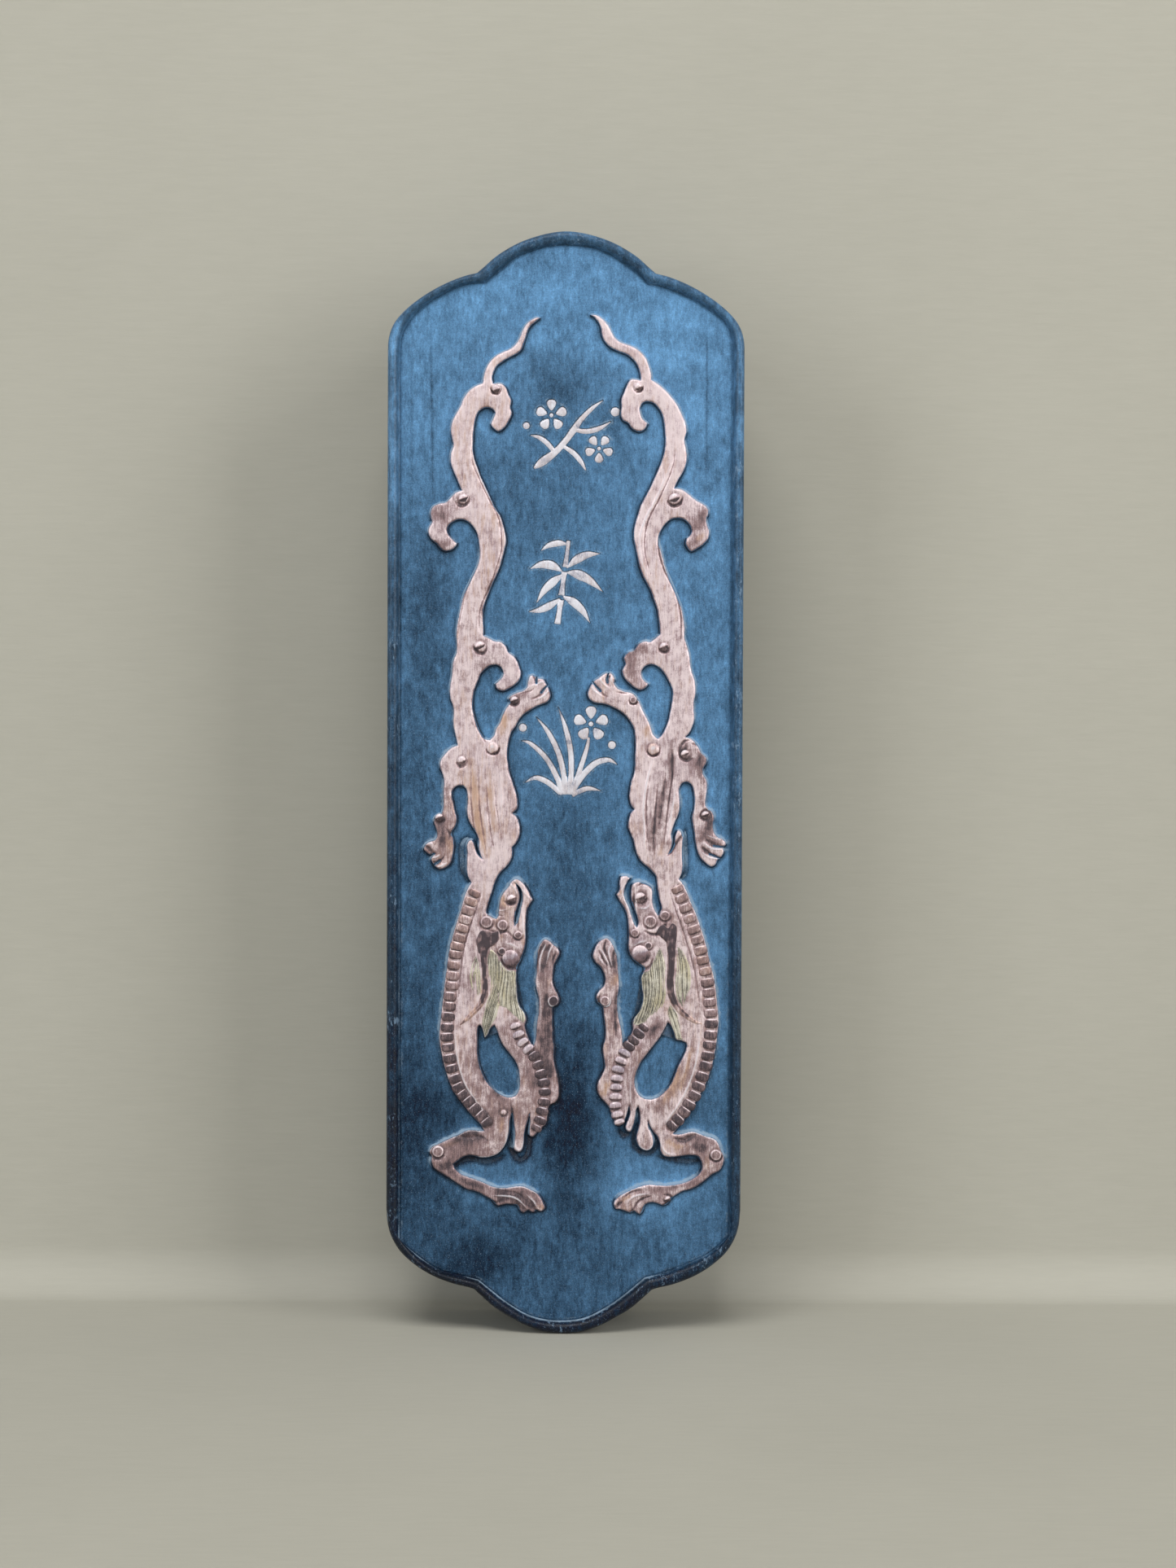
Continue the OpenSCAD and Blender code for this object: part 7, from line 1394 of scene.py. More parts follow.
outer_all = outer_half + [[-q[0]] + list(q[1:]) for q in outer_half[-2:0:-1]]
inner_s, outer_s = spans(field_edge, 6), spans(outer_all, 6)
I_, O_ = [], []
for a, b in zip(inner_s, outer_s):
    la, lb = (np.hypot(*np.diff(q, axis=0).T).sum() for q in (a, b))
    n = max(8, int(round(max(la, lb) / 0.55)))
    I_.append(arc(a, n)[0])
    O_.append(arc(b, n)[0])
I_, O_ = np.vstack(I_), np.vstack(O_)
N = len(I_)
front = [(0.0, -0.30), (0.05, 0.06), (0.10, 0.42), (0.17, 0.80), (0.25, 1.06), (0.35, 1.25), (0.46, 1.36), (0.57, 1.39),
         (0.68, 1.34), (0.79, 1.19), (0.88, 0.95), (0.95, 0.62), (0.985, 0.28)]
rear = [(0.985, 0.30), (0.95, 0.64), (0.88, 0.98), (0.79, 1.22), (0.69, 1.36), (0.60, 1.40), (0.42, 1.40), (0.33, 1.36),
        (0.24, 1.20), (0.16, 0.88), (0.09, 0.45), (0.04, 0.12), (0.0, -0.04)]
rows = [(0.0, FIELD + DEEP)] + [(u, FIELD - h) for u, h in front]
rows += [(1.0, y) for y in (-9.45, -8.6, -6.4, -3.6, 0.0, 3.6, 6.4, 8.6, 9.45)]
rows += [(u, -FIELD + h) for u, h in rear]
V, shade, halo = [], [], []
for k, (u, y) in enumerate(rows):
    q = I_ * (1 - u) + O_ * u
    x, z = q[:, 0], q[:, 1]
    yy = np.full(N, float(y))
    around = 13.0 * np.arctan2(x / 35, (z - 110) / 110)
    if 2 <= k < len(front):                       # hand-finished crest: slightly uneven, never above the crest plane
        yy += 0.05 * noise(around * 3 + 50, z * 0.3, 2.0, 11) + 0.03 * noise(x + 50, z, 1.3, 12)
    if y > 9.7:
        yy = np.where(yy < HALF - 0.02, yy - 0.04 * noise(x + 60, z, 2.4, 13), yy)
    if u == 1.0:                                  # side wall: mould marks, a little hollow
        w = O_ - I_
        w = w / np.maximum(np.hypot(w[:, 0], w[:, 1]), 1e-6)[:, None]
        dent = 0.02 + 0.06 * noise(z * 1.0 + 200, y + 40 + x * 0.3, 4.5, 14) + 0.03 * noise(z * 1.0, y * 2 + x, 1.6, 15)
        x, z = x - w[:, 0] * dent, z - w[:, 1] * dent
    V.append(np.c_[x, yy, z])
    low_half = step(150, 40, z)
    s = shade_of(x, z)
    if 1 <= k <= len(front):
        # front rim: follows the field's shade, darker on the lower half where the rounded rim faces down (painted
        # shade) and paler along the crest near the top (painted highlight); the other terms set its tone at the top,
        # bottom, upper left and lower right
        rel = 0.26 + (s - 0.30) * 0.9 - 0.13 * low_half * step(0.02, 0.2, u) - 0.03 * (1 - low_half)
        rel = rel - 0.06 * step(203, 208, z) - 0.07 * step(24, 12, z) + 0.07 * step(-25, -32, x) * step(150, 180, z) * step(205, 198, z)
        rel = rel + 0.10 * step(0.25, 0.5, u) * step(0.75, 0.5, u) * step(150, 190, z) * step(206, 200, z) + 0.05 * step(18, 30, x) * step(22, 14, z)
    elif y < 9.5:
        rel = 0.27 + 0.07 * step(60, 190, z) + 0.05 * (noise(z, y + x, 9.0, 16) - 0.5)
    else:
        rel = 0.30 + 0.07 * step(60, 190, z) + 0.10 * (noise(x, z, 11.0, 17) - 0.5)
    shade.append(rel)
    h = np.zeros(N)
    # pale line on the rim's inner slope at the upper left, lower right and bottom: partly bloom, partly a painted
    # highlight where the slope catches the light
    if 1 <= k <= 3:
        left, right = step(-24, -31, x), step(24, 31, x)
        h = (0.55 * left * step(205, 190, z) + 0.22 * right * step(150, 120, z) + 0.7 * step(18, 12, z) * step(22, 14, np.abs(x))
             + 0.35 * step(24, 18, z)) * (1.0 if k < 3 else 0.5)
    halo.append(h)
m = len(rows)
F = []
for k in range(m - 1):
    a, b = k * N, (k + 1) * N
    for i in range(N):
        j = (i + 1) % N
        F.append((a + i, a + j, b + j, b + i))
V = np.vstack(V)
shade, halo = np.concatenate(shade), np.concatenate(halo)
ring_edges = [(i, (i + 1) % N) for i in range(N)]
for t in fill_loops(V[:N][:, [0, 2]], ring_edges):
    F.append(tuple(t))
# back field, lightly uneven from the mould
last = (m - 1) * N
back_loop = V[last:][:, [0, 2]]
lat = Lattice(-34, 34, 1, 219, 1.6)
D = lat.signed([back_loop], 4)
ok = D > 0.9
ex, ez = lat.X[ok] + 0.25 * (noise(lat.X[ok], lat.Z[ok], 1.1, 18) - 0.5), lat.Z[ok] + 0.25 * (noise(lat.X[ok], lat.Z[ok], 1.1, 19) - 0.5)
dd = D[ok]
yb = -FIELD - 0.10 + 0.10 * step(0, 2.2, dd) + 0.06 * (noise(ex, ez, 14, 20) - 0.5) + 0.03 * (noise(ex, ez, 5, 21) - 0.5)
first = len(V)
V = np.vstack([V, np.c_[ex, yb, ez]])
sb = 0.31 + 0.07 * step(60, 190, ez) + 0.16 * (noise(ex, ez, 26, 22) - 0.5) + 0.07 * (noise(ex, ez, 9, 23) - 0.5) - 0.09 * blob(ex, ez, 0, 100, 16, 60)
shade, halo = np.r_[shade, sb], np.r_[halo, 0.42 * step(2.2, 0.4, dd)]
for t in fill_loops(back_loop, ring_edges, np.c_[ex, ez]):
    F.append(tuple(last + v if v < N else first + v - N for v in t))

ink_mat = ink_material("ink_bloomed")
rim_mat = ink_material("ink_handled", gloss=True)
is_back = [1 if (len(f) == 3 and min(f) >= last) else 0 for f in F]
slab = emit("ink_slab", V, F, [rim_mat, ink_mat], {"shade": shade, "halo": halo}, fmat=is_back, outward=True)

# ------------------------------------------------------------------ the sunken field
lat = Lattice(-34.2, 34.2, 1.2, 219, 0.12, multiple=8)
D_edge = lat.signed([np.vstack([arc(a, max(8, int(len(a) * 2)))[0] for a in inner_s])], 4) + 0.06
pockets = lat.union([s for k in ("upper_motif", "middle_motif", "lower_motif") for s in motif_shapes[k]], 1.0)
relief = np.maximum(lat.signed(dragon_loops["left"], 4), lat.signed(dragon_loops["right"], 4))
trench = lat.strokes(trenches)
mould = lat.strokes(mould_lines)
scratch = lat.strokes(scratch_lines)
D = np.minimum(D_edge, -pockets)
mark = np.full(D.shape, 8)
mark[(relief > -2.2) & (relief < 0.4)] = 4
mark[((relief > -1.25) & (relief < 0.12)) | (trench > 0.06) | (np.abs(mould) > 0.08) | (np.abs(D_edge) < 0.9)] = 2
mark[(np.abs(pockets) < 0.13) | (np.abs(D_edge) < 0.13)] = 1
P, F, E, at = march(D, lat, mark)
x, z = P[:, 0], P[:, 1]
rel, de, dp, tr, mo, sc = at(relief), at(D_edge), at(-pockets), at(trench), at(mould), at(scratch)
out = np.clip(-rel, 0, 4)
H = 0.05 * (noise(x, z, 16, 31) - 0.5) + 0.03 * (noise(x, z, 5.5, 32) - 0.5)
H += -0.20 * np.exp(-((de - 0.05) / 0.28) ** 2) - 0.36 * tr - 0.10 * mo - 0.02 * sc
H += 0.10 * np.exp(-((out / 0.22) ** 2)) * (rel < 0.3) + 0.05 * step(0.5, 0.1, dp) * 1.0
H -= 0.07 * step(1.6, 0.6, out) * step(0.05, 0.45, out)
gz_, gx_ = np.gradient(relief, lat.s)
nx, nz = -at(gx_), -at(gz_)
up = step(-0.25, 0.75, 0.9 * nz + 0.45 * nx * np.sign(x))      # sides turned up or outward are painted lighter and the others darker: painted light over the bloom
low = step(150, 60, z)
near = np.exp(-((np.maximum(out - 0.30, 0)) / 0.30) ** 2)
wide = np.exp(-(out / 1.5) ** 2)
sway = 0.45 * noise(x, z, 3.5, 33) + 0.55 * noise(x, z, 0.8, 34)
# bloom round the relief, made paler on the sides turned up or outward: bloom with painted light
halo = near * (0.24 + 0.28 * low) * (-0.1 + 1.8 * sway) * (0.30 + 1.0 * up) + wide * (0.10 + 0.10 * low) * (0.6 + 0.7 * up) * (0.3 + 1.4 * sway)
halo += 0.55 * np.exp(-((dp - 0.18) / 0.30) ** 2) * (0.4 + 0.8 * sway) * (dp < 2)
# pale line just inside the field's edge, stronger on the lower half: bloom together with a painted highlight
halo += 0.45 * np.exp(-((de - 0.45) / 0.35) ** 2) * (0.35 + 0.65 * low) * (0.4 + 0.9 * sway)
halo -= 0.9 * tr + 0.5 * np.maximum(mo, 0)
halo += 0.45 * np.maximum(sc, 0) + 0.35 * np.maximum(-mo, 0)
# shade near the relief: lighter on sides turned up or outward, a dark band outside sides turned down or inward, and
# darker at the field's very edge under the rim: painted light and painted shade; trenches and mould lines are darker
# too
shade = shade_of(x, z) + 0.05 * wide * (0.4 + low) * (0.4 + up) - 0.10 * np.exp(-((out - 0.34) / 0.22) ** 2) * (1 - up) - 0.28 * tr - 0.12 * np.maximum(mo, 0) - 0.08 * np.exp(-((de - 0.02) / 0.22) ** 2)
V, F, n, rim = solid(P, FIELD - H, F, E, [(0.0, FIELD + 0.16), (0.0, FIELD + DEEP - 0.02)])
pad = lambda a, fill: np.r_[a, np.full(len(V) - n, fill)]
field = emit("ink_field", V, F, [ink_mat], {"shade": pad(shade, 0.2), "halo": pad(np.clip(halo, 0, 1.2), 0.0)})

# ------------------------------------------------------------------ pigment in the sunk ornament
silver = pigment_material("silver_rubbed", srgb(236, 236, 246), srgb(198, 196, 210), srgb(204, 190, 190), srgb(136, 142, 162), srgb(80, 96, 120), srgb(150, 160, 184), SILVER_METAL, (1, 1, 3))
motif_pieces = []
for k, (name, shapes) in enumerate(motif_shapes.items()):
    lo, hi = np.min([s.min(0) for s in shapes], 0), np.max([s.max(0) for s in shapes], 0)
    lat = Lattice(lo[0] - 0.4, hi[0] + 0.4, lo[1] - 0.4, hi[1] + 0.4, 0.11)
    D = lat.union(shapes, 1.5)
    P, F, E, at = march(D, lat)
    x, z, d = P[:, 0], P[:, 1], at(D)
    H = -0.17 + 0.10 * step(0, 0.5, d) + 0.05 * (noise(x, z, 1.2, 41 + k) - 0.5) + 0.03 * (noise(x, z, 0.5, 44 + k) - 0.5)
    V, F, n, rim = solid(P, FIELD - H, F, E, [(0.0, FIELD + 0.45), (0.0, FIELD + 0.55)])
    pad = lambda a, fill: np.r_[a, np.full(len(V) - n, fill)]
    paint = 0.30 + 0.62 * step(0.0, 0.30, d)
    worn = 0.02 + 0.50 * step(0.45, 0.6, noise(x, z, 2.4, 47 + k)) * noise(x, z, 1.4, 50 + k) + 0.10 * step(0.5, 0.0, d)
    warm = 0.25 + 0.5 * noise(x, z, 5.0, 53 + k)
    piece = emit(name + "_fill", V, F, [silver], {"paint": pad(paint, 0.0), "worn": pad(worn, 0.4), "warm": pad(warm, 0.0),
                 "glow": pad(0.15 + 0.35 * noise(x, z, 1.8, 57 + k), 0.0), "shade": pad(shade_of(x, z), 0.3), "halo": pad(0.5 + 0 * x, 0.0)})
    motif_pieces.append((piece, name))

# ------------------------------------------------------------------ dragons
copper = pigment_material("copper_rubbed", *COPPER, COPPER_METAL)
gold = pigment_material("gold_rubbed", *GOLD, GOLD_METAL, (1, 1, 2.5))


def place(shapes, right):
    return [flip_x(s) for s in shapes] if right else shapes


pieces = []
for side in ("left", "right"):
    R = side == "right"
    sgn = -1 if R else 1
    loops = dragon_loops[side]
    lo, hi = loops[0].min(0), loops[0].max(0)
    lat = Lattice(lo[0] - 0.6, hi[0] + 0.6, lo[1] - 0.6, hi[1] + 0.6, 0.17)
    D = lat.signed(loops, 5)
    for c, w in notches[side]:
        D = np.minimum(D, lat.distance([along([[sgn * q[0], q[1]] for q in c], 5)], 3.0, closed=False) - w)
    P, F, E, at = march(D, lat)
    x, z, d = P[:, 0], P[:, 1], at(D)
    bosses = boss_sets[side]
    bz = np.full(lat.X.shape, 9.0)
    crescent = np.zeros(lat.X.shape)
    # round each knob a crescent, strongest below, is sunk and darkened: painted shadow under the knobs
    for cx, cz, r in bosses:
        rr = np.hypot(lat.X - sgn * cx, lat.Z - cz) - r
        bz = np.minimum(bz, rr)
        below = 0.35 + 0.65 * step(0.5, -0.9, (lat.Z - cz) / r)
        crescent = np.maximum(crescent, np.exp(-((rr - 0.16) / 0.26) ** 2) * below)
    groove = at(lat.strokes(place(grooves[side], R)))
    ridge = at(lat.strokes(place(ridges[side], R)))
    cr_ = at(crescent)
    # flattened crown with a rolled edge, as cut in the mould
    H = 0.52 + 0.36 * np.sqrt(1 - (1 - np.clip(d / 0.6, 0, 1)) ** 2) + 0.14 * (1 - np.exp(-((d / 2.4) ** 2)))
    H += 0.17 * ridge - 0.30 * groove - 0.20 * cr_
    H += 0.08 * (noise(x, z, 4.2, 61) - 0.5) + 0.05 * (noise(x, z, 1.3, 62) - 0.5) + 0.03 * (noise(x, z * 0.3, 0.45, 60) - 0.5)
    rows_at = beads[side]
    gut = np.full(lat.X.shape, 0.0)
    for row, ln, wd in rows_at:
        c = along([[sgn * q[0], q[1]] for q in row], 4)
        dist = lat.distance([c], 3.0, closed=False)
        gut = np.maximum(gut, np.exp(-((dist / (ln * 0.52)) ** 6)))
    gut = at(gut)
    H -= 0.24 * gut * step(0.1, 0.5, d)
    H = np.maximum(H, 0.18)
    low = step(98, 72, z)
    gz_, gx_ = np.gradient(D, lat.s)
    nx, nz = -at(gx_), -at(gz_)
    up = 0.9 * nz + 0.45 * nx * -sgn
    stain = at(lat.strokes(place(stains[side], R)))
    streak = at(lat.strokes(place(streaks[side], R)))
    # darker where the pigment is rubbed (noise, stains, tone spots) and as painted shade: in the grooves, in the
    # crescents under the knobs and along edges turned down; ridges are painted lighter
    worn = 0.06 + 0.22 * noise(x, z, 6.0, 63) + 0.14 * noise(x, z, 2.2, 59) + 0.85 * groove + 0.65 * cr_ + 0.75 * stain
    worn += 0.05 * low + step(66, 46, z) * (0.06 + 0.22 * noise(x, z, 2.6, 74) - 0.03 * step(34, 29, z))
    worn += 0.45 * step(0.42, 0.0, d) * step(0.15, -0.7, up) - 0.20 * ridge + 0.22 * gut
    warm = 0.13 + 0.26 * noise(x, z, 8.0, 64) + 0.80 * streak + 0.16 * low * noise(x, z, 4.0, 75) + 0.10 * step(120, 108, z) * step(92, 100, z)
    # painted highlight on the ridges and along edges turned up or outward
    glow = 0.95 * ridge * (1 - groove) + 0.60 * step(0.40, 0.08, d) * step(0.1, 0.8, up) + 0.05 * gut - 0.4 * streak
    worn -= 0.12 * step(160, 185, z)
    worn += 0.06 * step(122, 114, z) * step(90, 98, z)
    for cx, cz, rx, rz, a, w in tone_spots[side]:
        b_ = blob(x, z, sgn * cx, cz, rx, rz)
        worn, warm = worn + a * b_, warm + w * b_
    paint = 0.42 + 0.6 * step(0.02, 0.30, d) - 0.35 * groove * step(0.8, 0.2, d)
    V, F, n, rim = solid(P, FIELD - H, F, E, [(0.06, FIELD - 0.40), (0.16, FIELD - 0.22), (0.26, FIELD - 0.07), (0.34, FIELD + 0.08), (0.22, FIELD + 0.30)])
    pad = lambda a, fill: np.r_[a, np.full(len(V) - n, fill)]
    k = len(rim)
    # relief walls: dark overall and painted pale where they face up or outward: painted shade and painted light on the
    # walls
    wn = (V[n:n + k][:, [0, 2]] - P[rim]) / 0.06
    wall_up = np.tile(step(-0.15, 0.75, 0.9 * wn[:, 1] + 0.45 * wn[:, 0] * -sgn), 5)
    side_shade = np.r_[shade_of(x, z), shade_of(V[n:, 0], V[n:, 2]) * 0.55 - 0.07 + 0.30 * wall_up]
    wall_halo = 0.0 + 0.95 * wall_up
    pieces.append((emit(side + "_dragon_relief", V, F, [copper], {
        "paint": np.r_[paint, np.full(k, 0.30), np.full(len(V) - n - k, 0.0)], "worn": pad(np.clip(worn, 0, 1), 0.5),
        "warm": pad(np.clip(warm, -1, 1), 0.0), "glow": pad(np.clip(glow, 0, 1), 0.0), "shade": side_shade, "halo": np.r_[0.35 + 0 * x, wall_halo]}), side + "_dragon", "copper_pigment"))

    # bead rows
    rng = np.random.RandomState(71 + R)
    for (row, ln, wd), kind in zip(rows_at, ("back", "belly")):
        pile = Pile()
        pts = np.array([[sgn * q[0], q[1]] for q in row])
        tan = np.gradient(pts, axis=0)
        tan /= np.hypot(tan[:, 0], tan[:, 1])[:, None]
        for i, c in enumerate(pts):
            t = tan[i]
            s = np.array([-t[1], t[0]])
            c = c + rng.uniform(-0.06, 0.06, 2)
            end = 0.86 if i in (0, len(pts) - 1) else 1.0
            a, b = ln / 2 * end * rng.uniform(0.96, 1.05), wd / 2 * end * rng.uniform(0.95, 1.06)
            Vb, Fb, Rb = dome(c, s, t, a, b, FIELD - 0.35, FIELD - 0.72, -10.80 - rng.uniform(-0.03, 0.05), 2.9 if kind == "back" else 2.35, 2.4, 32, 9)
            if Vb[-1][1] > 0:
                raise SystemExit("bead height")
            tt = t if t[1] > 0 else -t
            up = ((Vb[:, 0] - c[0]) * tt[0] + (Vb[:, 2] - c[1]) * tt[1]) / b
            if kind == "back":                         # brown bodies with a painted highlight along the upper side and painted shade at the lower edge
                body = 0.56 + 0.44 * float(step(74, 54, c[1])) + rng.uniform(-0.12, 0.12)
                w0 = body * step(0.86, 0.66, up) + 0.10 + 0.35 * step(-0.55, -0.9, up)
                hot = 0.55 * float(step(56, 76, c[1])) + rng.uniform(-0.1, 0.15)
            elif (side == "left") == (c[1] > 56.5):    # pale plates with a painted shadow crescent below
                w0 = 0.24 + 0.85 * step(-0.15, -0.60, up)
                hot = -0.35 + rng.uniform(-0.1, 0.15)
            else:                                      # dark ovals with a painted highlight along the upper side
                w0 = 0.14 + 0.95 * step(0.84, 0.62, up)
                hot = -0.3 + rng.uniform(-0.1, 0.15)
            pale = step(0.68, 0.88, up)
            pile.add(Vb, Fb, worn=np.clip(w0, 0, 1), warm=hot, glow=0.55 * pale, paint=np.where(Vb[:, 1] > FIELD - 0.5, 0.2, 0.95),
                     shade=0.22, halo=0.1)
        pieces.append((pile.emit(f"{side}_{kind}_bead_row", [copper]), f"{side}_{kind}_beads", "copper_pigment"))

    # bosses: rounded knobs with a slightly sunk crown
    pile = Pile()
    for i, (cx, cz, r) in enumerate(bosses):
        sq = 0.94 + 0.10 * rng.rand()
        an = rng.rand() * 3
        s, t = np.array([math.cos(an), math.sin(an)]), np.array([-math.sin(an), math.cos(an)])
        Vb, Fb, Rb = dome((sgn * cx, cz), s, t, r * sq, r, FIELD - 0.35, FIELD - 0.80, -10.88, 2.0, 2.1, 40, 11)
        kind = boss_kinds[side][i]
        # up points to the upper left; the knobs are painted lighter on that side (shine) and darker on the far side:
        # painted highlight and painted shade
        up = 0.9 * (Vb[:, 2] - cz) / r - 0.35 * (Vb[:, 0] - sgn * cx) / r
        top = Vb[:, 1] < FIELD - 0.78
        uneven = 0.12 * (noise(Vb[:, 0] + 60, Vb[:, 2], 0.6, 73) - 0.5)
        hot, shine, sink = 0.1, 0.55 * step(0.25, 0.75, up), 0.0 * up
        if kind == "cap":
            w0 = 0.10 + 0.9 * step(0.0, -0.5, up)
            sink = 0.12 * step(-0.1, -0.7, up)
        elif kind == "lens":
            w0 = 0.12 + 0.9 * step(0.35, -0.05, up)
            sink = 0.24 * step(0.30, -0.45, up)
        elif kind == "pearl":
            w0, hot, shine = 0.04 + 0.8 * step(-0.55, -0.9, up), 0.42, 0.8 * step(0.75, 0.25, np.hypot(Rb, up - 0.4))
        elif kind == "ring":
            w0 = 0.26 + 0.50 * step(0.86, 0.62, Rb) + 0.5 * step(0.8, 1.0, Rb) * step(0.2, -0.4, up)
            shine, sink, hot = 0.34 * step(0.78, 0.90, Rb) * step(-0.5, 0.4, up), 0.13 * step(0.80, 0.55, Rb), 0.05
        elif kind == "spur":
            w0, shine, sink, hot = 0.35 + 1.0 * step(0.92, 0.72, Rb), 0.45 * step(0.82, 0.95, Rb) * step(-0.6, 0.3, up), 0.20 * step(0.85, 0.5, Rb), -0.4
        elif kind == "soft":
            w0, shine, sink, hot = 0.30 + 0.4 * step(0.0, -0.7, up), 0.18 * step(0.2, 0.8, up), 0.10, 0.35
        elif kind == "dot":
            w0, sink = 0.25 + 0.75 * step(0.95, 0.6, Rb), 0.22 * step(0.8, 0.3, Rb)
        else:
            w0, hot, shine = 0.34 + 0.66 * step(0.50, -0.70, up) + 0.3 * (noise(Vb[:, 0] + 60, Vb[:, 2], 0.9, 76) - 0.5), -0.85 * step(1.0, -0.7, up), 0.22 * step(0.55, 0.95, up)
        Vb[:, 1] += np.where(top, sink + uneven * (Rb < 0.95) * 0.4, 0)
        Vb[:, 1] = np.maximum(Vb[:, 1], -10.90)
        pile.add(Vb, Fb, worn=np.clip(w0 + uneven, 0, 1.3), warm=hot + 0 * up, glow=shine, paint=np.where(Vb[:, 1] > FIELD - 0.55, 0.2, 0.95),
                 shade=0.22, halo=0.1)
    pieces.append((pile.emit(side + "_boss_set", [copper]), side + "_bosses", "copper_pigment"))

    # mane: locks of fine hair
    horn_shapes = [smooth(place([horn_caps[side]], R)[0], 6), brush(place([horn_stems[side]], R)[0], 6)]
    mane = [smooth(place([m], R)[0], 6) for m in manes[side]]
    lo, hi = np.min([s.min(0) for s in mane], 0), np.max([s.max(0) for s in mane], 0)
    lat = Lattice(lo[0] - 0.4, hi[0] + 0.4, lo[1] - 0.4, hi[1] + 0.4, 0.09)
    D = np.minimum(lat.union(mane, 3), -lat.union(horn_shapes, 3) + 0.02)
    hair = []
    for a, b, count in locks[side]:
        a, b = (along([[sgn * q[0], q[1]] for q in c], 3) for c in (a, b))
        m_ = 14
        a, b = (np.c_[np.interp(np.linspace(0, 1, m_), np.linspace(0, 1, len(c)), c[:, 0]), np.interp(np.linspace(0, 1, m_), np.linspace(0, 1, len(c)), c[:, 1])] for c in (a, b))
        for i in range(count):
            f = (i + 0.5) / count
            w = f + 0.25 / count * np.sin(np.linspace(0, 5, m_) + i * 1.9)
            c = a * (1 - w)[:, None] + b * w[:, None]
            g = 0.75 + 0.25 * math.sin(i * 2.3)
            hair.append([[q[0], q[1], 0.085, g] for q in c])
    G = lat.strokes(hair, 1)
    P, F, E, at = march(D, lat)
    x, z, d, g = P[:, 0], P[:, 1], at(D), at(G)
    H = 0.80 + 0.30 * np.sqrt(1 - (1 - np.clip(d / 0.5, 0, 1)) ** 2) + 0.12 * (1 - np.exp(-((d / 1.4) ** 2)))
    slit = at(lat.strokes(place(slits[side], R)))
    H += -0.17 * g * step(0, 0.25, d) + 0.05 * (noise(x, z, 1.8, 66) - 0.5) - 0.22 * slit
    V, F, n, rim = solid(P, FIELD - H, F, E, [(0.05, FIELD - 0.60), (0.10, FIELD - 0.35)])
    pad = lambda a, fill: np.r_[a, np.full(len(V) - n, fill)]
    # the hair grooves and slits are darkened: painted shade in the creases; the edges are lightened as a painted
    # highlight
    pieces.append((emit(side + "_mane_hair", V, F, [gold], {"paint": pad(0.5 + 0.5 * step(0, 0.2, d), 0.35), "worn": pad(np.clip(0.02 + 1.05 * g + 0.12 * noise(x, z, 3, 67) + slit, 0, 1), 0.95), "glow": pad(0.30 * step(0.35, 0.05, d) + 0.25 * noise(x, z, 1.2, 58), 0.0),
                   "warm": pad(0.25 + 0.6 * noise(x, z, 2.6, 68), 0.3), "shade": pad(0.3 + 0 * x, 0.25), "halo": pad(0.3 + 0 * x, 0.1)}), side + "_mane", "gold_pigment"))

    # horn: knobbly cap and a ribbed stem curling to a point
    lo, hi = np.min([s.min(0) for s in horn_shapes], 0), np.max([s.max(0) for s in horn_shapes], 0)
    lat = Lattice(lo[0] - 0.4, hi[0] + 0.4, lo[1] - 0.4, hi[1] + 0.4, 0.09)
    Dc, Ds = lat.union(horn_shapes[:1], 3), lat.union(horn_shapes[1:], 3)
    D = np.maximum(Dc, Ds)
    ribs = lat.strokes(place(horn_ribs[side], R))
    P, F, E, at = march(D, lat)
    x, z, d, g, dc = P[:, 0], P[:, 1], at(D), at(ribs), at(Dc)
    cap = step(0.0, 0.3, dc)
    H = 0.85 + 0.38 * np.sqrt(1 - (1 - np.clip(d / 0.6, 0, 1)) ** 2)
    H += -0.16 * g + cap * (0.16 * noise(x, z, 0.85, 69) - 0.12) + 0.04 * (noise(x, z, 0.7, 70) - 0.5)
    V, F, n, rim = solid(P, FIELD - np.minimum(H, 1.30), F, E, [(0.05, FIELD - 0.60), (0.10, FIELD - 0.35)])
    pad = lambda a, fill: np.r_[a, np.full(len(V) - n, fill)]
    # the horn is dark all over, darker in the ribs (painted shade in the creases) and lighter along its edges and lower
    # stem; away from the cap the edges get a painted highlight
    worn = 1.12 + 0.35 * g - 0.60 * step(0.20, 0.02, d) + 0.85 * (noise(x, z * 0.45, 0.42, 56) - 0.5)
    worn -= 0.55 * step(67.5, 65, z)
    pieces.append((emit(side + "_horn_curl", V, F, [copper], {"paint": pad(0.5 + 0.5 * step(0, 0.2, d), 0.35), "worn": pad(np.clip(worn, 0, 1.5), 0.8),
                   "warm": pad(0.30 - 0.35 * cap + 0.35 * step(70, 66, z), 0.3), "glow": pad(0.30 * step(0.22, 0.03, d) * (1 - cap), 0.0), "shade": pad(0.22 + 0 * x, 0.18), "halo": pad(0.3 + 0 * x, 0.1)}), side + "_horn", "copper_pigment"))

# ------------------------------------------------------------------ hand over to the frame
for o in (slab, field):
    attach(o, "root")
    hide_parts("ink_body")
for o, node in motif_pieces:
    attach(o, "root")
    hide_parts(node)
for o, node, slot in pieces:
    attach(o, "root")
    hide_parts(node)
for o in [slab, field] + [p[0] for p in motif_pieces] + [p[0] for p in pieces]:
    print("PIECE", o.name, len(o.data.vertices), sum(len(p.vertices) - 2 for p in o.data.polygons), flush=True)

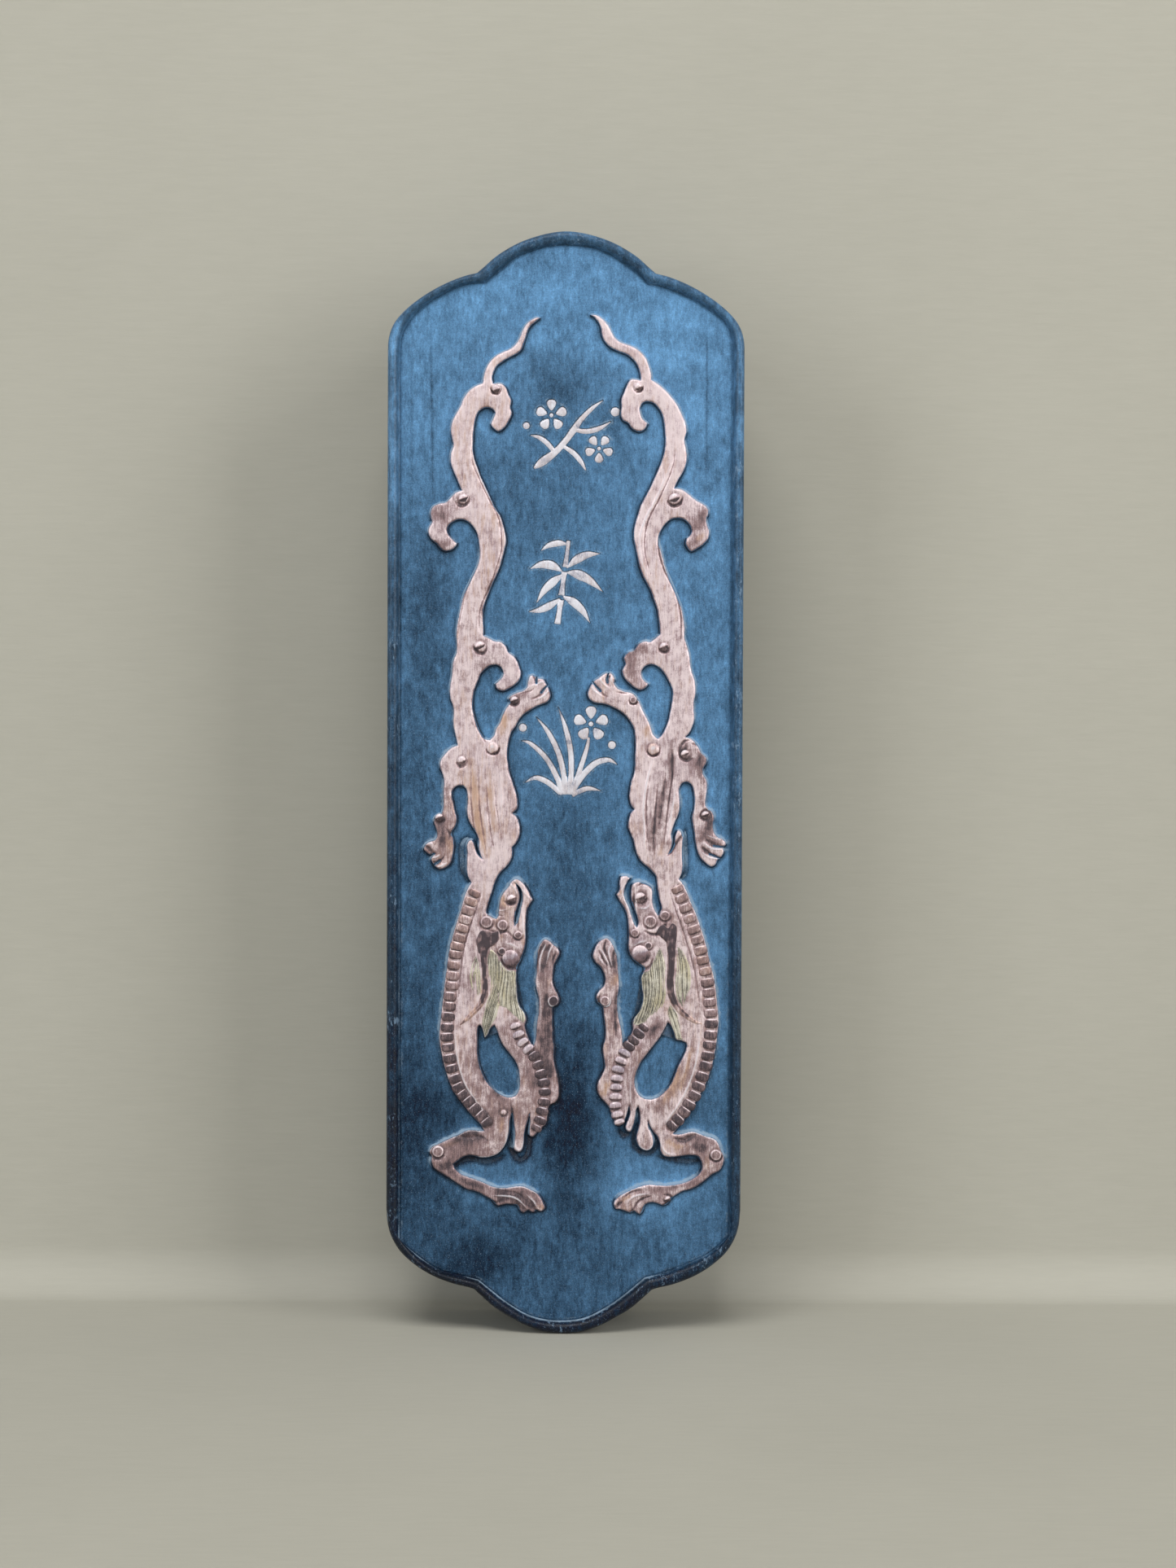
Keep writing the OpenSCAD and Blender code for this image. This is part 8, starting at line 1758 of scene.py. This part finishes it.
# ------------------------------------------------------------------ floor and backdrop: one sweep of pale paper
prof = [(-1.6, 0.0)] + [(-1.4 + 0.1 * i, 0.0) for i in range(14)]
bend, yw = BEND, WALL_Y
prof = [(y, z) for y, z in prof if y < yw - bend]
for i in range(17):
    a = i / 16 * math.pi / 2
    prof.append((yw - bend + bend * math.sin(a), bend - bend * math.cos(a)))
prof += [(yw, bend + 0.12 * i) for i in range(1, 18)]
xs = np.linspace(-1.5, 1.5, 31)
V = [(x, y, z) for y, z in prof for x in xs]
F = [(k * 31 + i, k * 31 + i + 1, (k + 1) * 31 + i + 1, (k + 1) * 31 + i) for k in range(len(prof) - 1) for i in range(30)]
me = bpy.data.meshes.new("sweep")
me.from_pydata(V, [], F)
me.polygons.foreach_set("use_smooth", np.full(len(F), True))
me.materials.append(paper_material("studio_paper", srgb(*PAPER[0]), srgb(*PAPER[1])))
sweep = bpy.data.objects.new("sweep", me)
bpy.context.scene.collection.objects.link(sweep)
sweep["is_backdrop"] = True


# ------------------------------------------------------------------ light
def area(name, loc, target, size, power, color):
    L = bpy.data.lights.new(name, "AREA")
    L.shape, L.size, L.size_y, L.energy, L.color = "RECTANGLE", size[0], size[1], power, color
    o = bpy.data.objects.new(name, L)
    o.location = loc
    o.rotation_mode = "QUATERNION"
    o.rotation_quaternion = (Vector(target) - Vector(loc)).to_track_quat("-Z", "Y")
    bpy.context.scene.collection.objects.link(o)
    o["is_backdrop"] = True
    return o


for name, loc, target, size, power, color in LIGHTS:
    area(name, loc, target, size, power, color)
world = bpy.data.worlds.new("studio")
world.use_nodes = True
bg = [n for n in world.node_tree.nodes if n.type == "BACKGROUND"][0]
bg.inputs["Color"].default_value = (*WORLD[0], 1)
bg.inputs["Strength"].default_value = WORLD[1]
bpy.context.scene.world = world
bpy.context.scene.view_settings.view_transform = "Standard"
bpy.context.scene.view_settings.look = "None"

# ------------------------------------------------------------------ camera, at the photograph's angle
cam = bpy.data.cameras.new("camera")
cam.lens, cam.sensor_width, cam.dof.use_dof = LENS, 36.0, False
cam.clip_start, cam.clip_end = 0.01, 20
o = bpy.data.objects.new("camera", cam)
tilt = math.radians(TILT)
aim = Vector((AIM_X, FIELD * MM, AIM_Z))
o.location = aim + Vector((0, -math.cos(tilt), math.sin(tilt))) * DIST
o.rotation_mode = "XYZ"
o.rotation_euler = (math.radians(90) - tilt, math.radians(ROLL), 0)
bpy.context.scene.collection.objects.link(o)
bpy.context.scene.camera = o

bpy.context.view_layer.update()
lo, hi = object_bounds()
{"cad": [list(cad_lo), list(cad_hi)], "visual": [list(lo), list(hi)]}
